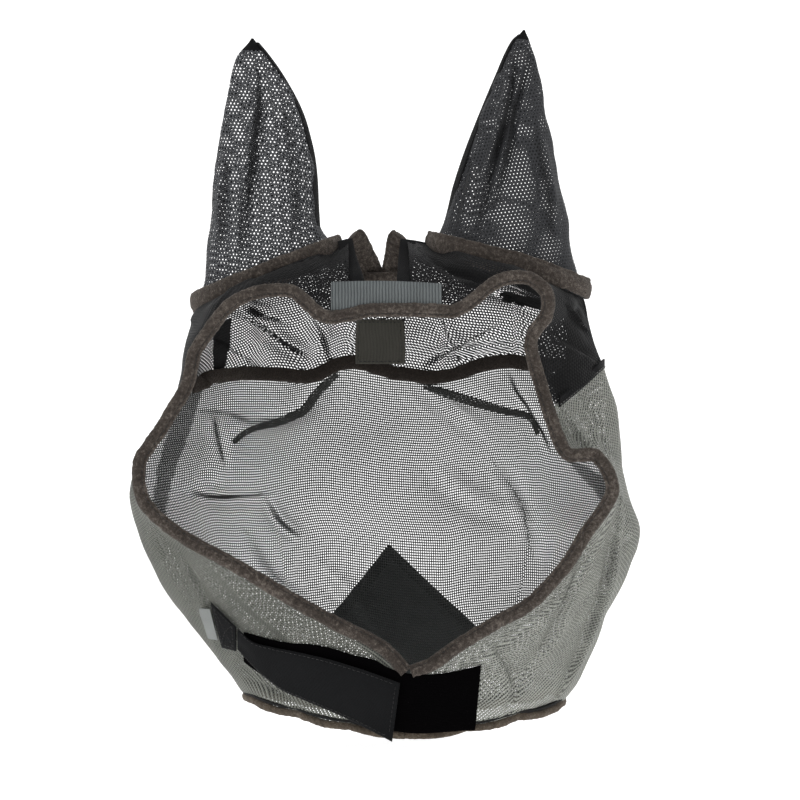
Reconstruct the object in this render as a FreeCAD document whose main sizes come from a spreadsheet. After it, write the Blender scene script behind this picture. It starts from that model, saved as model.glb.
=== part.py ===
import FreeCAD, Part
import math
import os

# Fly mask for a full-size horse: +Z up, the face of the horse towards +Y,
# the throat opening towards -Y, the horse's left at -X, all in millimetres.
# The origin is at the poll, under the middle of the crown.

doc = FreeCAD.newDocument("fly_mask")

sizes = doc.addObject("Spreadsheet::Sheet", "Sizes")
CELLS = [
    ("mesh_thick", 1.2), ("tape_thick", 1.4), ("fleece_thick", 4.0),
    ("rim_thick", 5.0), ("band_thick", 3.2), ("strap_thick", 1.8),
    ("loop_thick", 1.6), ("piping_thick", 2.4),
    ("tab_length", 92.0), ("tab_width", 25.0), ("tab_thick", 1.4),
    ("patch_length", 44.0), ("patch_width", 40.0), ("patch_thick", 1.2),
    ("label_length", 30.0), ("label_width", 11.0), ("label_thick", 0.6),
    ("anchor_length", 40.0), ("anchor_width", 18.0), ("anchor_thick", 1.6),
]
for i, (name, value) in enumerate(CELLS):
    row = i + 1
    sizes.set("A%d" % row, name)
    sizes.set("B%d" % row, "%g" % value)
    sizes.setAlias("B%d" % row, name)
doc.recompute()


def size(name):
    return float(sizes.get(name))


# Points on the middle of each soft piece: rows run along it, columns across.
FACE = [
    [(-171.31, 105, -61.71), (-151.63, 120.44, -55.65), (-131.31, 134, -50.97), (-109.63, 142.31, -51.27), (-87.77, 148, -51.72), (-67.33, 152.56, -46.44), (-46.21, 156, -41.83), (-22.07, 159.25, -44.13), (2.81, 161, -48.02), (26.65, 160, -50.37), (50.1, 157, -50.74), (73.06, 152.5, -46.05), (96.07, 146, -41.08), (120.24, 136.62, -40.39), (143.69, 126, -41.37), (164.46, 115.56, -43.05), (184.26, 105, -45.15)],
    [(-180.37, 107.69, -72.44), (-159.23, 124.05, -69.43), (-137.56, 138.73, -67.07), (-114.97, 148.9, -67.07), (-92.09, 156.34, -67.23), (-69.68, 161.8, -64.92), (-46.87, 165.49, -62.93), (-22.67, 168.01, -63.97), (1.89, 169, -65.7), (25.99, 168.34, -66.72), (49.9, 165.93, -66.8), (73.53, 161.77, -64.58), (97.1, 155.46, -62.08), (121.03, 146.41, -61.29), (144.44, 135.23, -61), (166.38, 121.92, -60.66), (187.64, 107.69, -60.39)],
    [(-189.19, 110, -83.52), (-166.83, 127.49, -83.09), (-143.99, 143.41, -82.74), (-120.57, 155.3, -82.64), (-96.76, 164.31, -82.67), (-72.66, 170.61, -82.75), (-48.36, 174.59, -82.85), (-23.95, 176.59, -82.92), (0.51, 177, -82.94), (24.98, 176.59, -82.92), (49.4, 174.59, -82.78), (73.73, 170.61, -82.47), (97.89, 164.31, -81.91), (121.77, 155.3, -81.03), (145.29, 143.41, -79.74), (168.26, 127.49, -77.81), (190.77, 110, -75.66)],
    [(-197.56, 111.31, -95.49), (-174.64, 130.59, -96.31), (-151.19, 148.18, -97.05), (-127.14, 161.42, -97.49), (-102.63, 171.49, -97.87), (-77.68, 178.5, -98.54), (-52.54, 182.9, -99.07), (-27.45, 185.01, -99.05), (-2.35, 185.38, -98.84), (22.83, 184.96, -98.66), (47.98, 182.84, -98.46), (73.05, 178.5, -98.37), (97.92, 171.62, -98.03), (122.39, 161.78, -97.09), (146.48, 148.68, -95.64), (170.1, 130.9, -93.55), (193.23, 111.31, -91.23)],
    [(-205.11, 112, -108.01), (-181.9, 133.14, -109.43), (-158.07, 152.39, -110.76), (-133.5, 166.77, -111.8), (-108.42, 177.65, -112.61), (-82.96, 185.27, -113.2), (-57.25, 190.09, -113.58), (-31.38, 192.51, -113.78), (-5.45, 193, -113.82), (20.49, 192.51, -113.78), (46.39, 190.09, -113.57), (72.17, 185.27, -113.14), (97.73, 177.65, -112.44), (122.96, 166.77, -111.43), (147.72, 152.39, -110.09), (171.81, 133.14, -108.26), (195.3, 112, -106.26)],
    [(-211.64, 112.25, -121.13), (-188.1, 134.79, -122.78), (-163.89, 155.32, -124.31), (-138.86, 170.65, -125.49), (-113.28, 182.26, -126.42), (-87.28, 190.38, -127.08), (-61.01, 195.52, -127.51), (-34.56, 198.1, -127.73), (-8.04, 198.62, -127.78), (18.49, 198.1, -127.73), (44.98, 195.52, -127.5), (71.33, 190.38, -127.03), (97.46, 182.26, -126.27), (123.22, 170.65, -125.19), (148.49, 155.32, -123.74), (173.02, 134.79, -121.78), (196.91, 112.25, -119.65)],
    [(-216.48, 112, -134.24), (-192.67, 135.75, -135.98), (-168.15, 157.38, -137.61), (-142.74, 173.53, -138.87), (-116.74, 185.76, -139.86), (-90.3, 194.32, -140.56), (-63.55, 199.73, -141.02), (-36.62, 202.44, -141.26), (-9.61, 203, -141.31), (17.41, 202.44, -141.26), (44.39, 199.73, -141.01), (71.23, 194.32, -140.5), (97.82, 185.76, -139.68), (124.02, 173.53, -138.51), (149.7, 157.38, -136.94), (174.6, 135.75, -134.81), (198.8, 112, -132.49)],
    [(-218.84, 111.12, -146.34), (-194.82, 136.02, -148.55), (-170.03, 158.68, -150.59), (-144.32, 175.61, -152.15), (-117.97, 188.43, -153.36), (-91.14, 197.4, -154.21), (-64, 203.08, -154.75), (-36.66, 205.92, -155.03), (-9.24, 206.5, -155.09), (18.19, 205.92, -155.03), (45.57, 203.08, -154.75), (72.81, 197.4, -154.18), (99.79, 188.43, -153.28), (126.35, 175.61, -152), (152.35, 158.68, -150.3), (177.52, 136.02, -148.03), (201.95, 111.12, -145.58)],
    [(-218.89, 110, -158.64), (-194.72, 135.84, -161.26), (-169.75, 159.37, -163.67), (-143.82, 176.94, -165.49), (-117.22, 190.24, -166.88), (-90.13, 199.55, -167.86), (-62.71, 205.45, -168.49), (-35.09, 208.4, -168.8), (-7.38, 209, -168.86), (20.34, 208.4, -168.8), (48, 205.45, -168.49), (75.51, 199.55, -167.86), (102.74, 190.24, -166.88), (129.54, 176.94, -165.49), (155.74, 159.37, -163.67), (181.06, 135.84, -161.26), (205.62, 110, -158.64)],
    [(-216.12, 109.06, -172.46), (-191.85, 135.5, -175.04), (-166.76, 159.58, -177.41), (-140.68, 177.57, -179.22), (-113.93, 191.18, -180.61), (-86.68, 200.71, -181.6), (-59.1, 206.74, -182.23), (-31.32, 209.76, -182.55), (-3.45, 210.38, -182.62), (24.42, 209.76, -182.55), (52.24, 206.74, -182.22), (79.89, 200.71, -181.57), (107.25, 191.18, -180.53), (134.16, 177.57, -179.04), (160.44, 159.58, -177.07), (185.82, 135.5, -174.45), (210.39, 109.06, -171.59)],
    [(-211.7, 108, -186.49), (-187.52, 134.88, -188.96), (-162.5, 159.36, -191.24), (-136.49, 177.64, -193), (-109.82, 191.49, -194.36), (-82.64, 201.17, -195.33), (-55.13, 207.3, -195.96), (-27.42, 210.37, -196.28), (0.37, 211, -196.35), (28.17, 210.37, -196.28), (55.9, 207.3, -195.95), (83.46, 201.17, -195.27), (110.72, 191.49, -194.19), (137.51, 177.64, -192.64), (163.67, 159.36, -190.57), (188.89, 134.88, -187.78), (213.3, 108, -184.74)],
    [(-206.65, 106.5, -199.6), (-182.95, 133.87, -202.26), (-158.42, 158.8, -204.71), (-132.9, 177.41, -206.58), (-106.72, 191.5, -208.01), (-80.04, 201.37, -209.02), (-53.02, 207.61, -209.67), (-25.81, 210.73, -210), (1.48, 211.38, -210.07), (28.78, 210.73, -210), (56.01, 207.61, -209.67), (83.07, 201.37, -208.99), (109.83, 191.5, -207.91), (136.11, 177.41, -206.37), (161.76, 158.8, -204.33), (186.48, 133.87, -201.6), (210.38, 106.5, -198.62)],
    [(-200.94, 105, -212.48), (-177.89, 132.67, -215.38), (-154.02, 157.86, -218.05), (-129.18, 176.67, -220.05), (-103.67, 190.92, -221.58), (-77.68, 200.88, -222.66), (-51.36, 207.19, -223.34), (-24.85, 210.35, -223.68), (1.74, 211, -223.75), (28.34, 210.35, -223.68), (54.87, 207.19, -223.34), (81.23, 200.88, -222.66), (107.3, 190.92, -221.58), (132.9, 176.67, -220.05), (157.87, 157.86, -218.05), (181.92, 132.67, -215.38), (205.18, 105, -212.48)],
    [(-195.28, 103.88, -225.8), (-172.82, 131.39, -228.82), (-149.56, 156.45, -231.59), (-125.36, 175.17, -233.68), (-100.53, 189.34, -235.26), (-75.22, 199.25, -236.37), (-49.59, 205.53, -237.08), (-23.78, 208.67, -237.43), (2.12, 209.31, -237.5), (28.01, 208.67, -237.43), (53.85, 205.53, -237.08), (79.52, 199.25, -236.38), (104.9, 189.34, -235.27), (129.83, 175.17, -233.7), (154.15, 156.45, -231.63), (177.58, 131.39, -228.89), (200.23, 103.88, -225.91)],
    [(-188.56, 103, -238.47), (-166.77, 130.14, -241.66), (-144.22, 154.86, -244.59), (-120.77, 173.32, -246.79), (-96.72, 187.3, -248.47), (-72.2, 197.08, -249.65), (-47.39, 203.27, -250.39), (-22.4, 206.36, -250.77), (2.67, 207, -250.84), (27.74, 206.36, -250.77), (52.75, 203.27, -250.39), (77.6, 197.08, -249.65), (102.17, 187.3, -248.47), (126.32, 173.32, -246.79), (149.88, 154.86, -244.59), (172.59, 130.14, -241.66), (194.55, 103, -238.47)],
    [(-179.26, 102.38, -249.2), (-158.35, 129.06, -252.8), (-136.74, 153.36, -256.1), (-114.29, 171.51, -258.59), (-91.26, 185.25, -260.49), (-67.8, 194.87, -261.82), (-44.07, 200.95, -262.67), (-20.16, 204, -263.1), (3.81, 204.62, -263.19), (27.79, 204, -263.1), (51.71, 200.95, -262.67), (75.48, 194.87, -261.82), (98.98, 185.25, -260.48), (122.09, 171.51, -258.57), (144.64, 153.36, -256.06), (166.38, 129.06, -252.72), (187.43, 102.38, -249.09)],
    [(-169.32, 102, -259.29), (-149.32, 128.1, -263.33), (-128.66, 151.86, -267.06), (-107.22, 169.62, -269.86), (-85.24, 183.05, -271.99), (-62.87, 192.46, -273.49), (-40.23, 198.41, -274.45), (-17.44, 201.39, -274.93), (5.41, 202, -275.02), (28.27, 201.39, -274.93), (51.07, 198.41, -274.45), (73.72, 192.46, -273.49), (96.13, 183.05, -271.99), (118.17, 169.62, -269.86), (139.68, 151.86, -267.06), (160.44, 128.1, -263.33), (180.54, 102, -259.29)],
    [(-160.34, 101.88, -269.83), (-141.05, 127.24, -274.23), (-121.14, 150.34, -278.27), (-100.5, 167.59, -281.29), (-79.38, 180.65, -283.58), (-57.88, 189.79, -285.19), (-36.15, 195.57, -286.2), (-14.27, 198.47, -286.7), (7.66, 199.06, -286.81), (29.59, 198.47, -286.7), (51.48, 195.57, -286.21), (73.22, 189.79, -285.22), (94.73, 180.65, -283.68), (115.89, 167.59, -281.5), (136.56, 150.34, -278.65), (156.51, 127.24, -274.89), (175.85, 101.88, -270.81)],
    [(-151.92, 102, -280.17), (-133.26, 126.53, -284.84), (-114.03, 148.87, -289.13), (-94.13, 165.56, -292.32), (-73.78, 178.19, -294.73), (-53.09, 187.03, -296.4), (-32.18, 192.63, -297.46), (-11.13, 195.43, -297.99), (9.96, 196, -298.09), (31.05, 195.43, -297.99), (52.1, 192.63, -297.48), (73.01, 187.03, -296.47), (93.7, 178.19, -294.9), (114.05, 165.56, -292.68), (133.95, 148.87, -289.8), (153.18, 126.53, -286.02), (171.84, 102, -281.92)],
    [(-144.17, 102.44, -290.23), (-126.14, 126.07, -294.99), (-107.58, 147.6, -299.36), (-88.4, 163.67, -302.63), (-68.8, 175.84, -305.12), (-48.9, 184.36, -306.86), (-28.79, 189.75, -307.96), (-8.56, 192.45, -308.5), (11.72, 193, -308.62), (31.99, 192.45, -308.5), (52.21, 189.75, -307.96), (72.31, 184.36, -306.89), (92.21, 175.84, -305.2), (111.79, 163.67, -302.81), (130.94, 147.6, -299.69), (149.47, 126.07, -295.57), (167.46, 102.44, -291.1)],
    [(-137.19, 103, -299.42), (-119.74, 125.71, -304.28), (-101.8, 146.38, -308.75), (-83.29, 161.83, -312.12), (-64.4, 173.52, -314.68), (-45.22, 181.7, -316.48), (-25.86, 186.88, -317.63), (-6.38, 189.47, -318.2), (13.13, 190, -318.32), (32.64, 189.47, -318.2), (52.1, 186.88, -317.63), (71.45, 181.7, -316.48), (90.61, 173.52, -314.68), (109.47, 161.83, -312.12), (127.93, 146.38, -308.75), (145.82, 125.71, -304.28), (163.2, 103, -299.42)],
    [(-131.07, 103.5, -306.99), (-114.14, 125.29, -312.16), (-96.75, 145.14, -316.9), (-78.84, 159.96, -320.47), (-60.58, 171.18, -323.17), (-42.05, 179.03, -325.06), (-23.35, 184, -326.26), (-4.55, 186.49, -326.86), (14.28, 187, -326.98), (33.11, 186.49, -326.86), (51.9, 184, -326.27), (70.58, 179.03, -325.09), (89.08, 171.18, -323.24), (107.3, 159.96, -320.62), (125.16, 145.14, -317.2), (142.47, 125.29, -312.67), (159.32, 103.5, -307.75)],
    [(-125.93, 104, -313.46), (-109.47, 124.88, -319.02), (-92.58, 143.89, -324.12), (-75.22, 158.09, -327.92), (-57.52, 168.84, -330.8), (-39.58, 176.37, -332.81), (-21.48, 181.13, -334.07), (-3.3, 183.51, -334.7), (14.92, 184, -334.83), (33.14, 183.51, -334.7), (51.32, 181.13, -334.09), (69.4, 176.37, -332.87), (87.3, 168.84, -330.97), (104.95, 158.09, -328.28), (122.26, 143.89, -324.79), (139.06, 124.88, -320.19), (155.43, 104, -315.21)],
    [(-122.21, 104.5, -318.97), (-106.16, 124.47, -324.92), (-89.73, 142.65, -330.38), (-72.85, 156.23, -334.46), (-55.66, 166.51, -337.54), (-38.24, 173.7, -339.7), (-20.68, 178.25, -341.05), (-3.04, 180.53, -341.73), (14.64, 181, -341.87), (32.31, 180.53, -341.73), (49.95, 178.25, -341.07), (67.49, 173.7, -339.76), (84.87, 166.51, -337.72), (102.02, 156.23, -334.84), (118.85, 142.65, -331.09), (135.2, 124.47, -326.16), (151.17, 104.5, -320.82)],
    [(-119.02, 105, -324.03), (-103.38, 124.05, -330.39), (-87.38, 141.4, -336.24), (-70.95, 154.36, -340.6), (-54.25, 164.17, -343.91), (-37.33, 171.03, -346.22), (-20.28, 175.38, -347.67), (-3.15, 177.55, -348.4), (14.01, 178, -348.55), (31.17, 177.55, -348.4), (48.29, 175.38, -347.69), (65.33, 171.03, -346.28), (82.22, 164.17, -344.08), (98.89, 154.36, -340.96), (115.27, 141.4, -336.9), (131.21, 124.05, -331.57), (146.79, 105, -325.77)],
]
CHEEK_LEFT = [
    [(-168.34, 8, -63.04), (-169.07, 18.33, -63.41), (-169.8, 28.67, -63.79), (-170.54, 39, -64.16), (-171.27, 49.33, -64.55), (-172.17, 58.77, -65.2), (-172.72, 70, -65.32), (-172.21, 86.6, -63.8), (-171.31, 105, -61.71)],
    [(-173.88, 7.12, -72.88), (-175.13, 17.65, -73.06), (-176.39, 28.17, -73.23), (-177.64, 38.69, -73.41), (-178.9, 49.21, -73.59), (-180.38, 58.7, -73.88), (-181.43, 70.25, -73.95), (-181.14, 87.94, -73.32), (-180.37, 107.69, -72.44)],
    [(-179.82, 6, -83.03), (-181.48, 16.67, -83.08), (-183.14, 27.33, -83.13), (-184.82, 38, -83.18), (-186.5, 48.67, -83.23), (-188.43, 58.17, -83.28), (-189.88, 70, -83.33), (-189.81, 88.83, -83.42), (-189.19, 110, -83.52)],
    [(-187.12, 4, -93.99), (-188.87, 14.72, -94.13), (-190.62, 25.44, -94.27), (-192.38, 36.16, -94.41), (-194.15, 46.88, -94.55), (-196.15, 56.25, -94.67), (-197.7, 68.31, -94.84), (-197.88, 88.46, -95.14), (-197.56, 111.31, -95.49)],
    [(-194.41, 2, -105.44), (-196.15, 12.67, -105.74), (-197.89, 23.33, -106.05), (-199.63, 34, -106.36), (-201.39, 44.67, -106.66), (-203.35, 53.79, -106.97), (-204.92, 66, -107.28), (-205.25, 87.46, -107.64), (-205.11, 112, -108.01)],
    [(-201.16, 0.94, -117.31), (-202.92, 11.36, -117.76), (-204.69, 21.79, -118.22), (-206.46, 32.22, -118.68), (-208.25, 42.65, -119.14), (-210.26, 51.33, -119.6), (-211.83, 63.5, -120.07), (-212, 86.13, -120.59), (-211.64, 112.25, -121.13)],
    [(-205.84, 0, -129.48), (-207.72, 10.17, -130.03), (-209.61, 20.33, -130.59), (-211.5, 30.5, -131.14), (-213.4, 40.67, -131.7), (-215.59, 48.92, -132.25), (-217.23, 61, -132.83), (-217.18, 84.58, -133.52), (-216.48, 112, -134.24)],
    [(-207.14, -1.44, -141.73), (-209.25, 8.6, -142.22), (-211.37, 18.65, -142.72), (-213.49, 28.69, -143.21), (-215.63, 38.73, -143.71), (-218.11, 46.76, -144.17), (-219.94, 58.81, -144.71), (-219.77, 82.95, -145.49), (-218.84, 111.12, -146.34)],
    [(-203.87, -3, -154.26), (-206.56, 7, -154.65), (-209.26, 17, -155.04), (-211.98, 27, -155.43), (-214.71, 37, -155.81), (-217.88, 44.94, -156.12), (-220.22, 57, -156.59), (-220.03, 81.44, -157.53), (-218.89, 110, -158.64)],
    [(-193.94, -4.5, -167.46), (-197.82, 5.85, -167.75), (-201.73, 16.13, -168.03), (-205.65, 26.23, -168.33), (-209.58, 36.21, -168.62), (-214.1, 44.01, -168.76), (-217.5, 55.94, -169.22), (-217.44, 80.41, -170.67), (-216.12, 109.06, -172.46)],
    [(-178.74, -6, -180.63), (-184.37, 4.17, -180.88), (-190.04, 14.33, -181.12), (-195.76, 24.5, -181.36), (-201.53, 34.67, -181.6), (-208.16, 42.79, -181.59), (-213.2, 55, -182.06), (-213.32, 79.46, -184.02), (-211.7, 108, -186.49)],
    [(-157.88, -7.5, -193.06), (-165.99, 0.54, -193.38), (-174.21, 9.12, -193.7), (-182.63, 19.15, -194.01), (-191.19, 30.04, -194.3), (-201.13, 39.76, -194.26), (-208.73, 53.5, -194.75), (-208.98, 78.15, -196.89), (-206.65, 106.5, -199.6)],
    [(-134.67, -9, -205.27), (-145.56, -3.29, -205.7), (-156.6, 3.54, -206.13), (-167.96, 13.38, -206.55), (-179.58, 25.02, -206.93), (-193.11, 36.54, -206.92), (-203.53, 52, -207.43), (-203.97, 76.87, -209.66), (-200.94, 105, -212.48)],
    [(-112.53, -10.44, -217.57), (-126.03, -5.66, -218.16), (-139.7, 0.45, -218.73), (-153.71, 10.12, -219.25), (-168.04, 22.02, -219.7), (-184.7, 34.45, -219.67), (-197.62, 50.81, -220.21), (-198.53, 75.83, -222.68), (-195.28, 103.88, -225.8)],
    [(-90.72, -12, -229.84), (-106.64, -7.72, -230.58), (-122.71, -1.99, -231.27), (-139.14, 7.55, -231.86), (-155.92, 19.63, -232.34), (-175.39, 32.85, -232.29), (-190.58, 50, -232.8), (-191.96, 75.09, -235.3), (-188.56, 103, -238.47)],
    [(-69.7, -14, -242.42), (-87.56, -10.25, -243.14), (-105.57, -4.89, -243.8), (-123.94, 4.63, -244.31), (-142.68, 17.09, -244.68), (-164.46, 31.51, -244.54), (-181.48, 49.75, -244.83), (-183.03, 74.81, -246.75), (-179.26, 102.38, -249.2)],
    [(-49.34, -16, -254.25), (-68.96, -12.7, -255.02), (-88.73, -7.63, -255.72), (-108.84, 1.9, -256.23), (-129.35, 14.8, -256.56), (-153.23, 30.55, -256.46), (-171.89, 50, -256.59), (-173.53, 74.95, -257.78), (-169.32, 102, -259.29)],
    [(-28.98, -17.56, -263.63), (-50.52, -14.72, -264.84), (-72.2, -9.99, -265.97), (-94.2, -0.52, -266.86), (-116.64, 12.75, -267.56), (-142.78, 29.97, -267.96), (-163.24, 50.75, -268.34), (-165, 75.49, -269.05), (-160.34, 101.88, -269.83)],
    [(-10.6, -19, -272.91), (-33.82, -16.48, -274.52), (-57.16, -11.93, -276.03), (-80.82, -2.42, -277.27), (-104.92, 11.3, -278.29), (-133.03, 29.98, -279.12), (-155.05, 52, -279.72), (-156.94, 76.42, -280.03), (-151.92, 102, -280.17)],
    [(4.67, -21.06, -284.16), (-19.77, -18.46, -285.78), (-44.32, -13.73, -287.28), (-69.19, -3.74, -288.46), (-94.51, 10.7, -289.41), (-124.03, 30.71, -290.15), (-147.2, 53.75, -290.59), (-149.3, 77.74, -290.52), (-144.17, 102.44, -290.23)],
    [(14.89, -22, -296.43), (-10.05, -19.23, -297.76), (-35.11, -14.24, -298.96), (-60.46, -3.78, -299.78), (-86.28, 11.29, -300.33), (-116.37, 32.3, -300.61), (-140.02, 56, -300.56), (-142.27, 79.36, -300.1), (-137.19, 103, -299.42)],
    [(15.82, -19.81, -309.82), (-8.25, -17.02, -310.51), (-32.44, -11.99, -311.02), (-56.91, -1.46, -311.11), (-81.83, 13.72, -310.86), (-110.87, 35.04, -310.21), (-133.7, 58.75, -309.28), (-135.92, 81.14, -308.19), (-131.07, 103.5, -306.99)],
    [(13.25, -16, -323.44), (-9.56, -13.23, -323.23), (-32.48, -8.24, -322.82), (-55.68, 2.22, -321.9), (-79.3, 17.29, -320.56), (-106.83, 38.61, -318.64), (-128.47, 62, -316.57), (-130.54, 83.17, -314.98), (-125.93, 104, -313.46)],
    [(12.08, -11.25, -336.13), (-9.99, -8.51, -334.84), (-32.16, -3.57, -333.31), (-54.6, 6.76, -331.19), (-77.44, 21.67, -328.57), (-104.07, 42.93, -325.05), (-124.97, 65.88, -321.72), (-126.84, 85.54, -320.09), (-122.21, 104.5, -318.97)],
    [(10.79, -6, -348.64), (-10.62, -3.3, -346.17), (-32.12, 1.57, -343.43), (-53.89, 11.75, -340), (-76.05, 26.44, -335.99), (-101.89, 47.58, -330.72), (-122.12, 70, -326.05), (-123.74, 88.04, -324.54), (-119.02, 105, -324.03)],
]
CHEEK_RIGHT = [
    [(184.26, 105, -45.15), (184.77, 88.69, -42.69), (183.53, 74, -42.11), (177.11, 64.19, -47.02), (169.02, 56, -53.72), (161.86, 47, -59.46), (154.74, 38, -65.15), (147.68, 29, -70.8), (140.67, 20, -76.39)],
    [(187.64, 107.69, -60.39), (189.59, 90.02, -58.3), (189.13, 74.19, -57.68), (181.63, 63.85, -61.31), (171.85, 55.35, -66.33), (163.32, 45.94, -70.6), (154.85, 36.52, -74.83), (146.45, 27.1, -79.03), (138.12, 17.69, -83.19)],
    [(190.77, 110, -75.66), (193.74, 90.98, -73.8), (193.84, 74, -73.04), (185.56, 63.15, -75.5), (174.58, 54.33, -79), (165.07, 44.5, -81.94), (155.64, 34.67, -84.85), (146.29, 24.83, -87.74), (137.02, 15, -90.59)],
    [(193.23, 111.31, -91.23), (196.01, 90.94, -89.05), (195.94, 72.81, -87.85), (187.58, 61.42, -89.5), (176.55, 52.27, -92.07), (166.98, 42, -94.15), (157.49, 31.73, -96.21), (148.09, 21.46, -98.25), (138.77, 11.19, -100.26)],
    [(195.3, 112, -106.26), (197.42, 90.27, -103.81), (197.02, 71, -102.21), (189.34, 59.1, -103.09), (179.32, 49.67, -104.76), (170.59, 39, -106.01), (161.94, 28.33, -107.25), (153.36, 17.67, -108.47), (144.87, 7, -109.68)],
    [(196.91, 112.25, -119.65), (198.23, 89.09, -117.6), (197.78, 68.62, -116), (192.25, 56.27, -115.68), (185.09, 46.62, -115.78), (178.83, 35.62, -115.67), (172.62, 24.62, -115.55), (166.47, 13.62, -115.44), (160.38, 2.62, -115.32)],
    [(198.8, 112, -132.49), (199.52, 87.52, -130.99), (199.15, 66, -129.54), (195.71, 53.35, -128.24), (191.27, 43.67, -126.98), (187.38, 32.5, -125.72), (183.52, 21.33, -124.46), (179.68, 10.17, -123.22), (175.88, -1, -121.99)],
    [(201.95, 111.12, -145.58), (202.89, 85.63, -144.4), (202.83, 63.38, -143.15), (199.93, 50.81, -141.7), (196.13, 41.48, -140.19), (192.82, 30.53, -138.72), (189.53, 19.58, -137.27), (186.27, 8.64, -135.82), (183.03, -2.31, -134.39)],
    [(205.62, 110, -158.64), (207.07, 83.77, -157.73), (207.26, 61, -156.74), (203.9, 48.6, -155.52), (199.39, 39.67, -154.23), (195.5, 29, -152.98), (191.64, 18.33, -151.74), (187.81, 7.67, -150.51), (184.01, -3, -149.29)],
    [(210.39, 109.06, -171.59), (212.33, 82.42, -171.06), (212.39, 59.38, -170.44), (207.17, 47.18, -169.61), (200.23, 38.54, -168.72), (194.21, 28, -167.88), (188.23, 17.34, -167.04), (182.28, 6.49, -166.21), (176.39, -4.44, -165.39)],
    [(213.3, 108, -184.74), (215.66, 81.21, -184.34), (215.51, 58, -183.92), (208.2, 45.54, -183.51), (198.56, 36.67, -183.11), (190.2, 26, -182.7), (181.91, 15.33, -182.29), (173.69, 4.67, -181.87), (165.55, -6, -181.46)],
    [(210.38, 106.5, -198.62), (212.98, 79.91, -197.58), (212.76, 56.5, -196.73), (204.41, 42.43, -196.52), (193.49, 31.87, -196.49), (184.07, 20.45, -196.31), (174.82, 9.92, -196.11), (165.76, 0.93, -195.9), (156.81, -7.5, -195.7)],
    [(205.18, 105, -212.48), (207.88, 78.64, -210.7), (207.56, 55, -209.32), (198.52, 39.13, -209.12), (186.76, 26.7, -209.27), (176.69, 14.48, -209.12), (166.86, 4.16, -208.94), (157.35, -3.01, -208.76), (147.98, -9, -208.58)],
    [(200.23, 103.88, -225.91), (202.81, 77.31, -223.82), (202.25, 53.31, -222.14), (192.62, 36.56, -221.69), (180.2, 23.32, -221.59), (169.58, 10.92, -221.13), (159.23, 0.85, -220.61), (149.22, -5.52, -220.05), (139.36, -10.5, -219.47)],
    [(194.55, 103, -238.47), (197.04, 76.27, -236.39), (196.23, 52, -234.64), (185.86, 34.53, -233.96), (172.56, 20.65, -233.53), (161.19, 8.18, -232.75), (150.12, -1.67, -231.85), (139.39, -7.58, -230.86), (128.8, -12, -229.84)],
    [(187.43, 102.38, -249.09), (190.14, 75.95, -247.58), (189.19, 51.69, -246.26), (177.57, 33.25, -245.63), (162.71, 18.33, -245.11), (150.01, 5.6, -244.26), (137.63, -4.12, -243.27), (125.6, -9.6, -242.15), (113.72, -13.44, -240.97)],
    [(180.54, 102, -259.29), (183.7, 76.11, -258.41), (182.62, 52, -257.61), (169.25, 32.43, -257.15), (152.15, 16.26, -256.69), (137.56, 3.18, -255.92), (123.32, -6.51, -254.99), (109.42, -11.65, -253.87), (95.66, -15, -252.69)],
    [(175.85, 101.88, -270.81), (179.74, 76.71, -270), (178.54, 52.81, -269.33), (162.53, 31.77, -269.14), (142.06, 13.96, -268.98), (124.6, 0.4, -268.5), (107.54, -9.27, -267.84), (90.81, -14.11, -266.96), (74.23, -17, -266)],
    [(171.84, 102, -281.92), (176.47, 77.62, -281.27), (175.12, 54, -280.77), (156.38, 31.57, -280.8), (132.4, 12.16, -280.88), (111.96, -1.95, -280.63), (91.95, -11.73, -280.18), (72.27, -16.41, -279.47), (52.73, -19, -278.66)],
    [(167.46, 102.44, -291.1), (172.61, 78.68, -291.36), (171.07, 55.31, -291.49), (150, 31.94, -291.4), (123.07, 11.33, -291.09), (100.08, -3.43, -290.54), (77.54, -13.63, -289.76), (55.35, -18.47, -288.69), (33.27, -21.12, -287.49)],
    [(163.2, 103, -299.42), (168.58, 79.96, -300.66), (166.83, 57, -301.52), (144.24, 33.1, -301.46), (115.4, 11.72, -300.93), (90.75, -3.55, -300.22), (66.57, -14.14, -299.24), (42.72, -19.19, -297.91), (18.99, -22, -296.43)],
    [(159.32, 103.5, -307.75), (164.32, 81.48, -309.45), (162.35, 59.31, -310.83), (140, 35.49, -311.5), (111.54, 13.96, -311.72), (87.18, -1.33, -311.64), (63.28, -11.94, -311.24), (39.69, -17, -310.41), (16.23, -19.81, -309.41)],
    [(155.43, 104, -315.21), (159.92, 83.17, -317.24), (157.79, 62, -319.14), (136.29, 38.61, -320.86), (108.99, 17.29, -322.24), (85.57, 2.22, -323.14), (62.6, -8.24, -323.64), (39.93, -13.23, -323.64), (17.37, -16, -323.44)],
    [(151.17, 104.5, -320.82), (155.43, 84.98, -323.28), (153.28, 64.94, -325.78), (132.32, 42.19, -328.68), (105.7, 21.27, -331.37), (82.84, 6.54, -333.37), (60.4, -3.67, -334.89), (38.25, -8.54, -335.81), (16.2, -11.25, -336.49)],
    [(146.79, 105, -325.77), (150.9, 86.84, -328.67), (148.77, 68, -331.82), (128.33, 45.99, -335.99), (102.37, 25.58, -340.08), (80.05, 11.28, -343.28), (58.13, 1.37, -345.9), (36.48, -3.37, -347.82), (14.93, -6, -349.47)],
]
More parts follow.
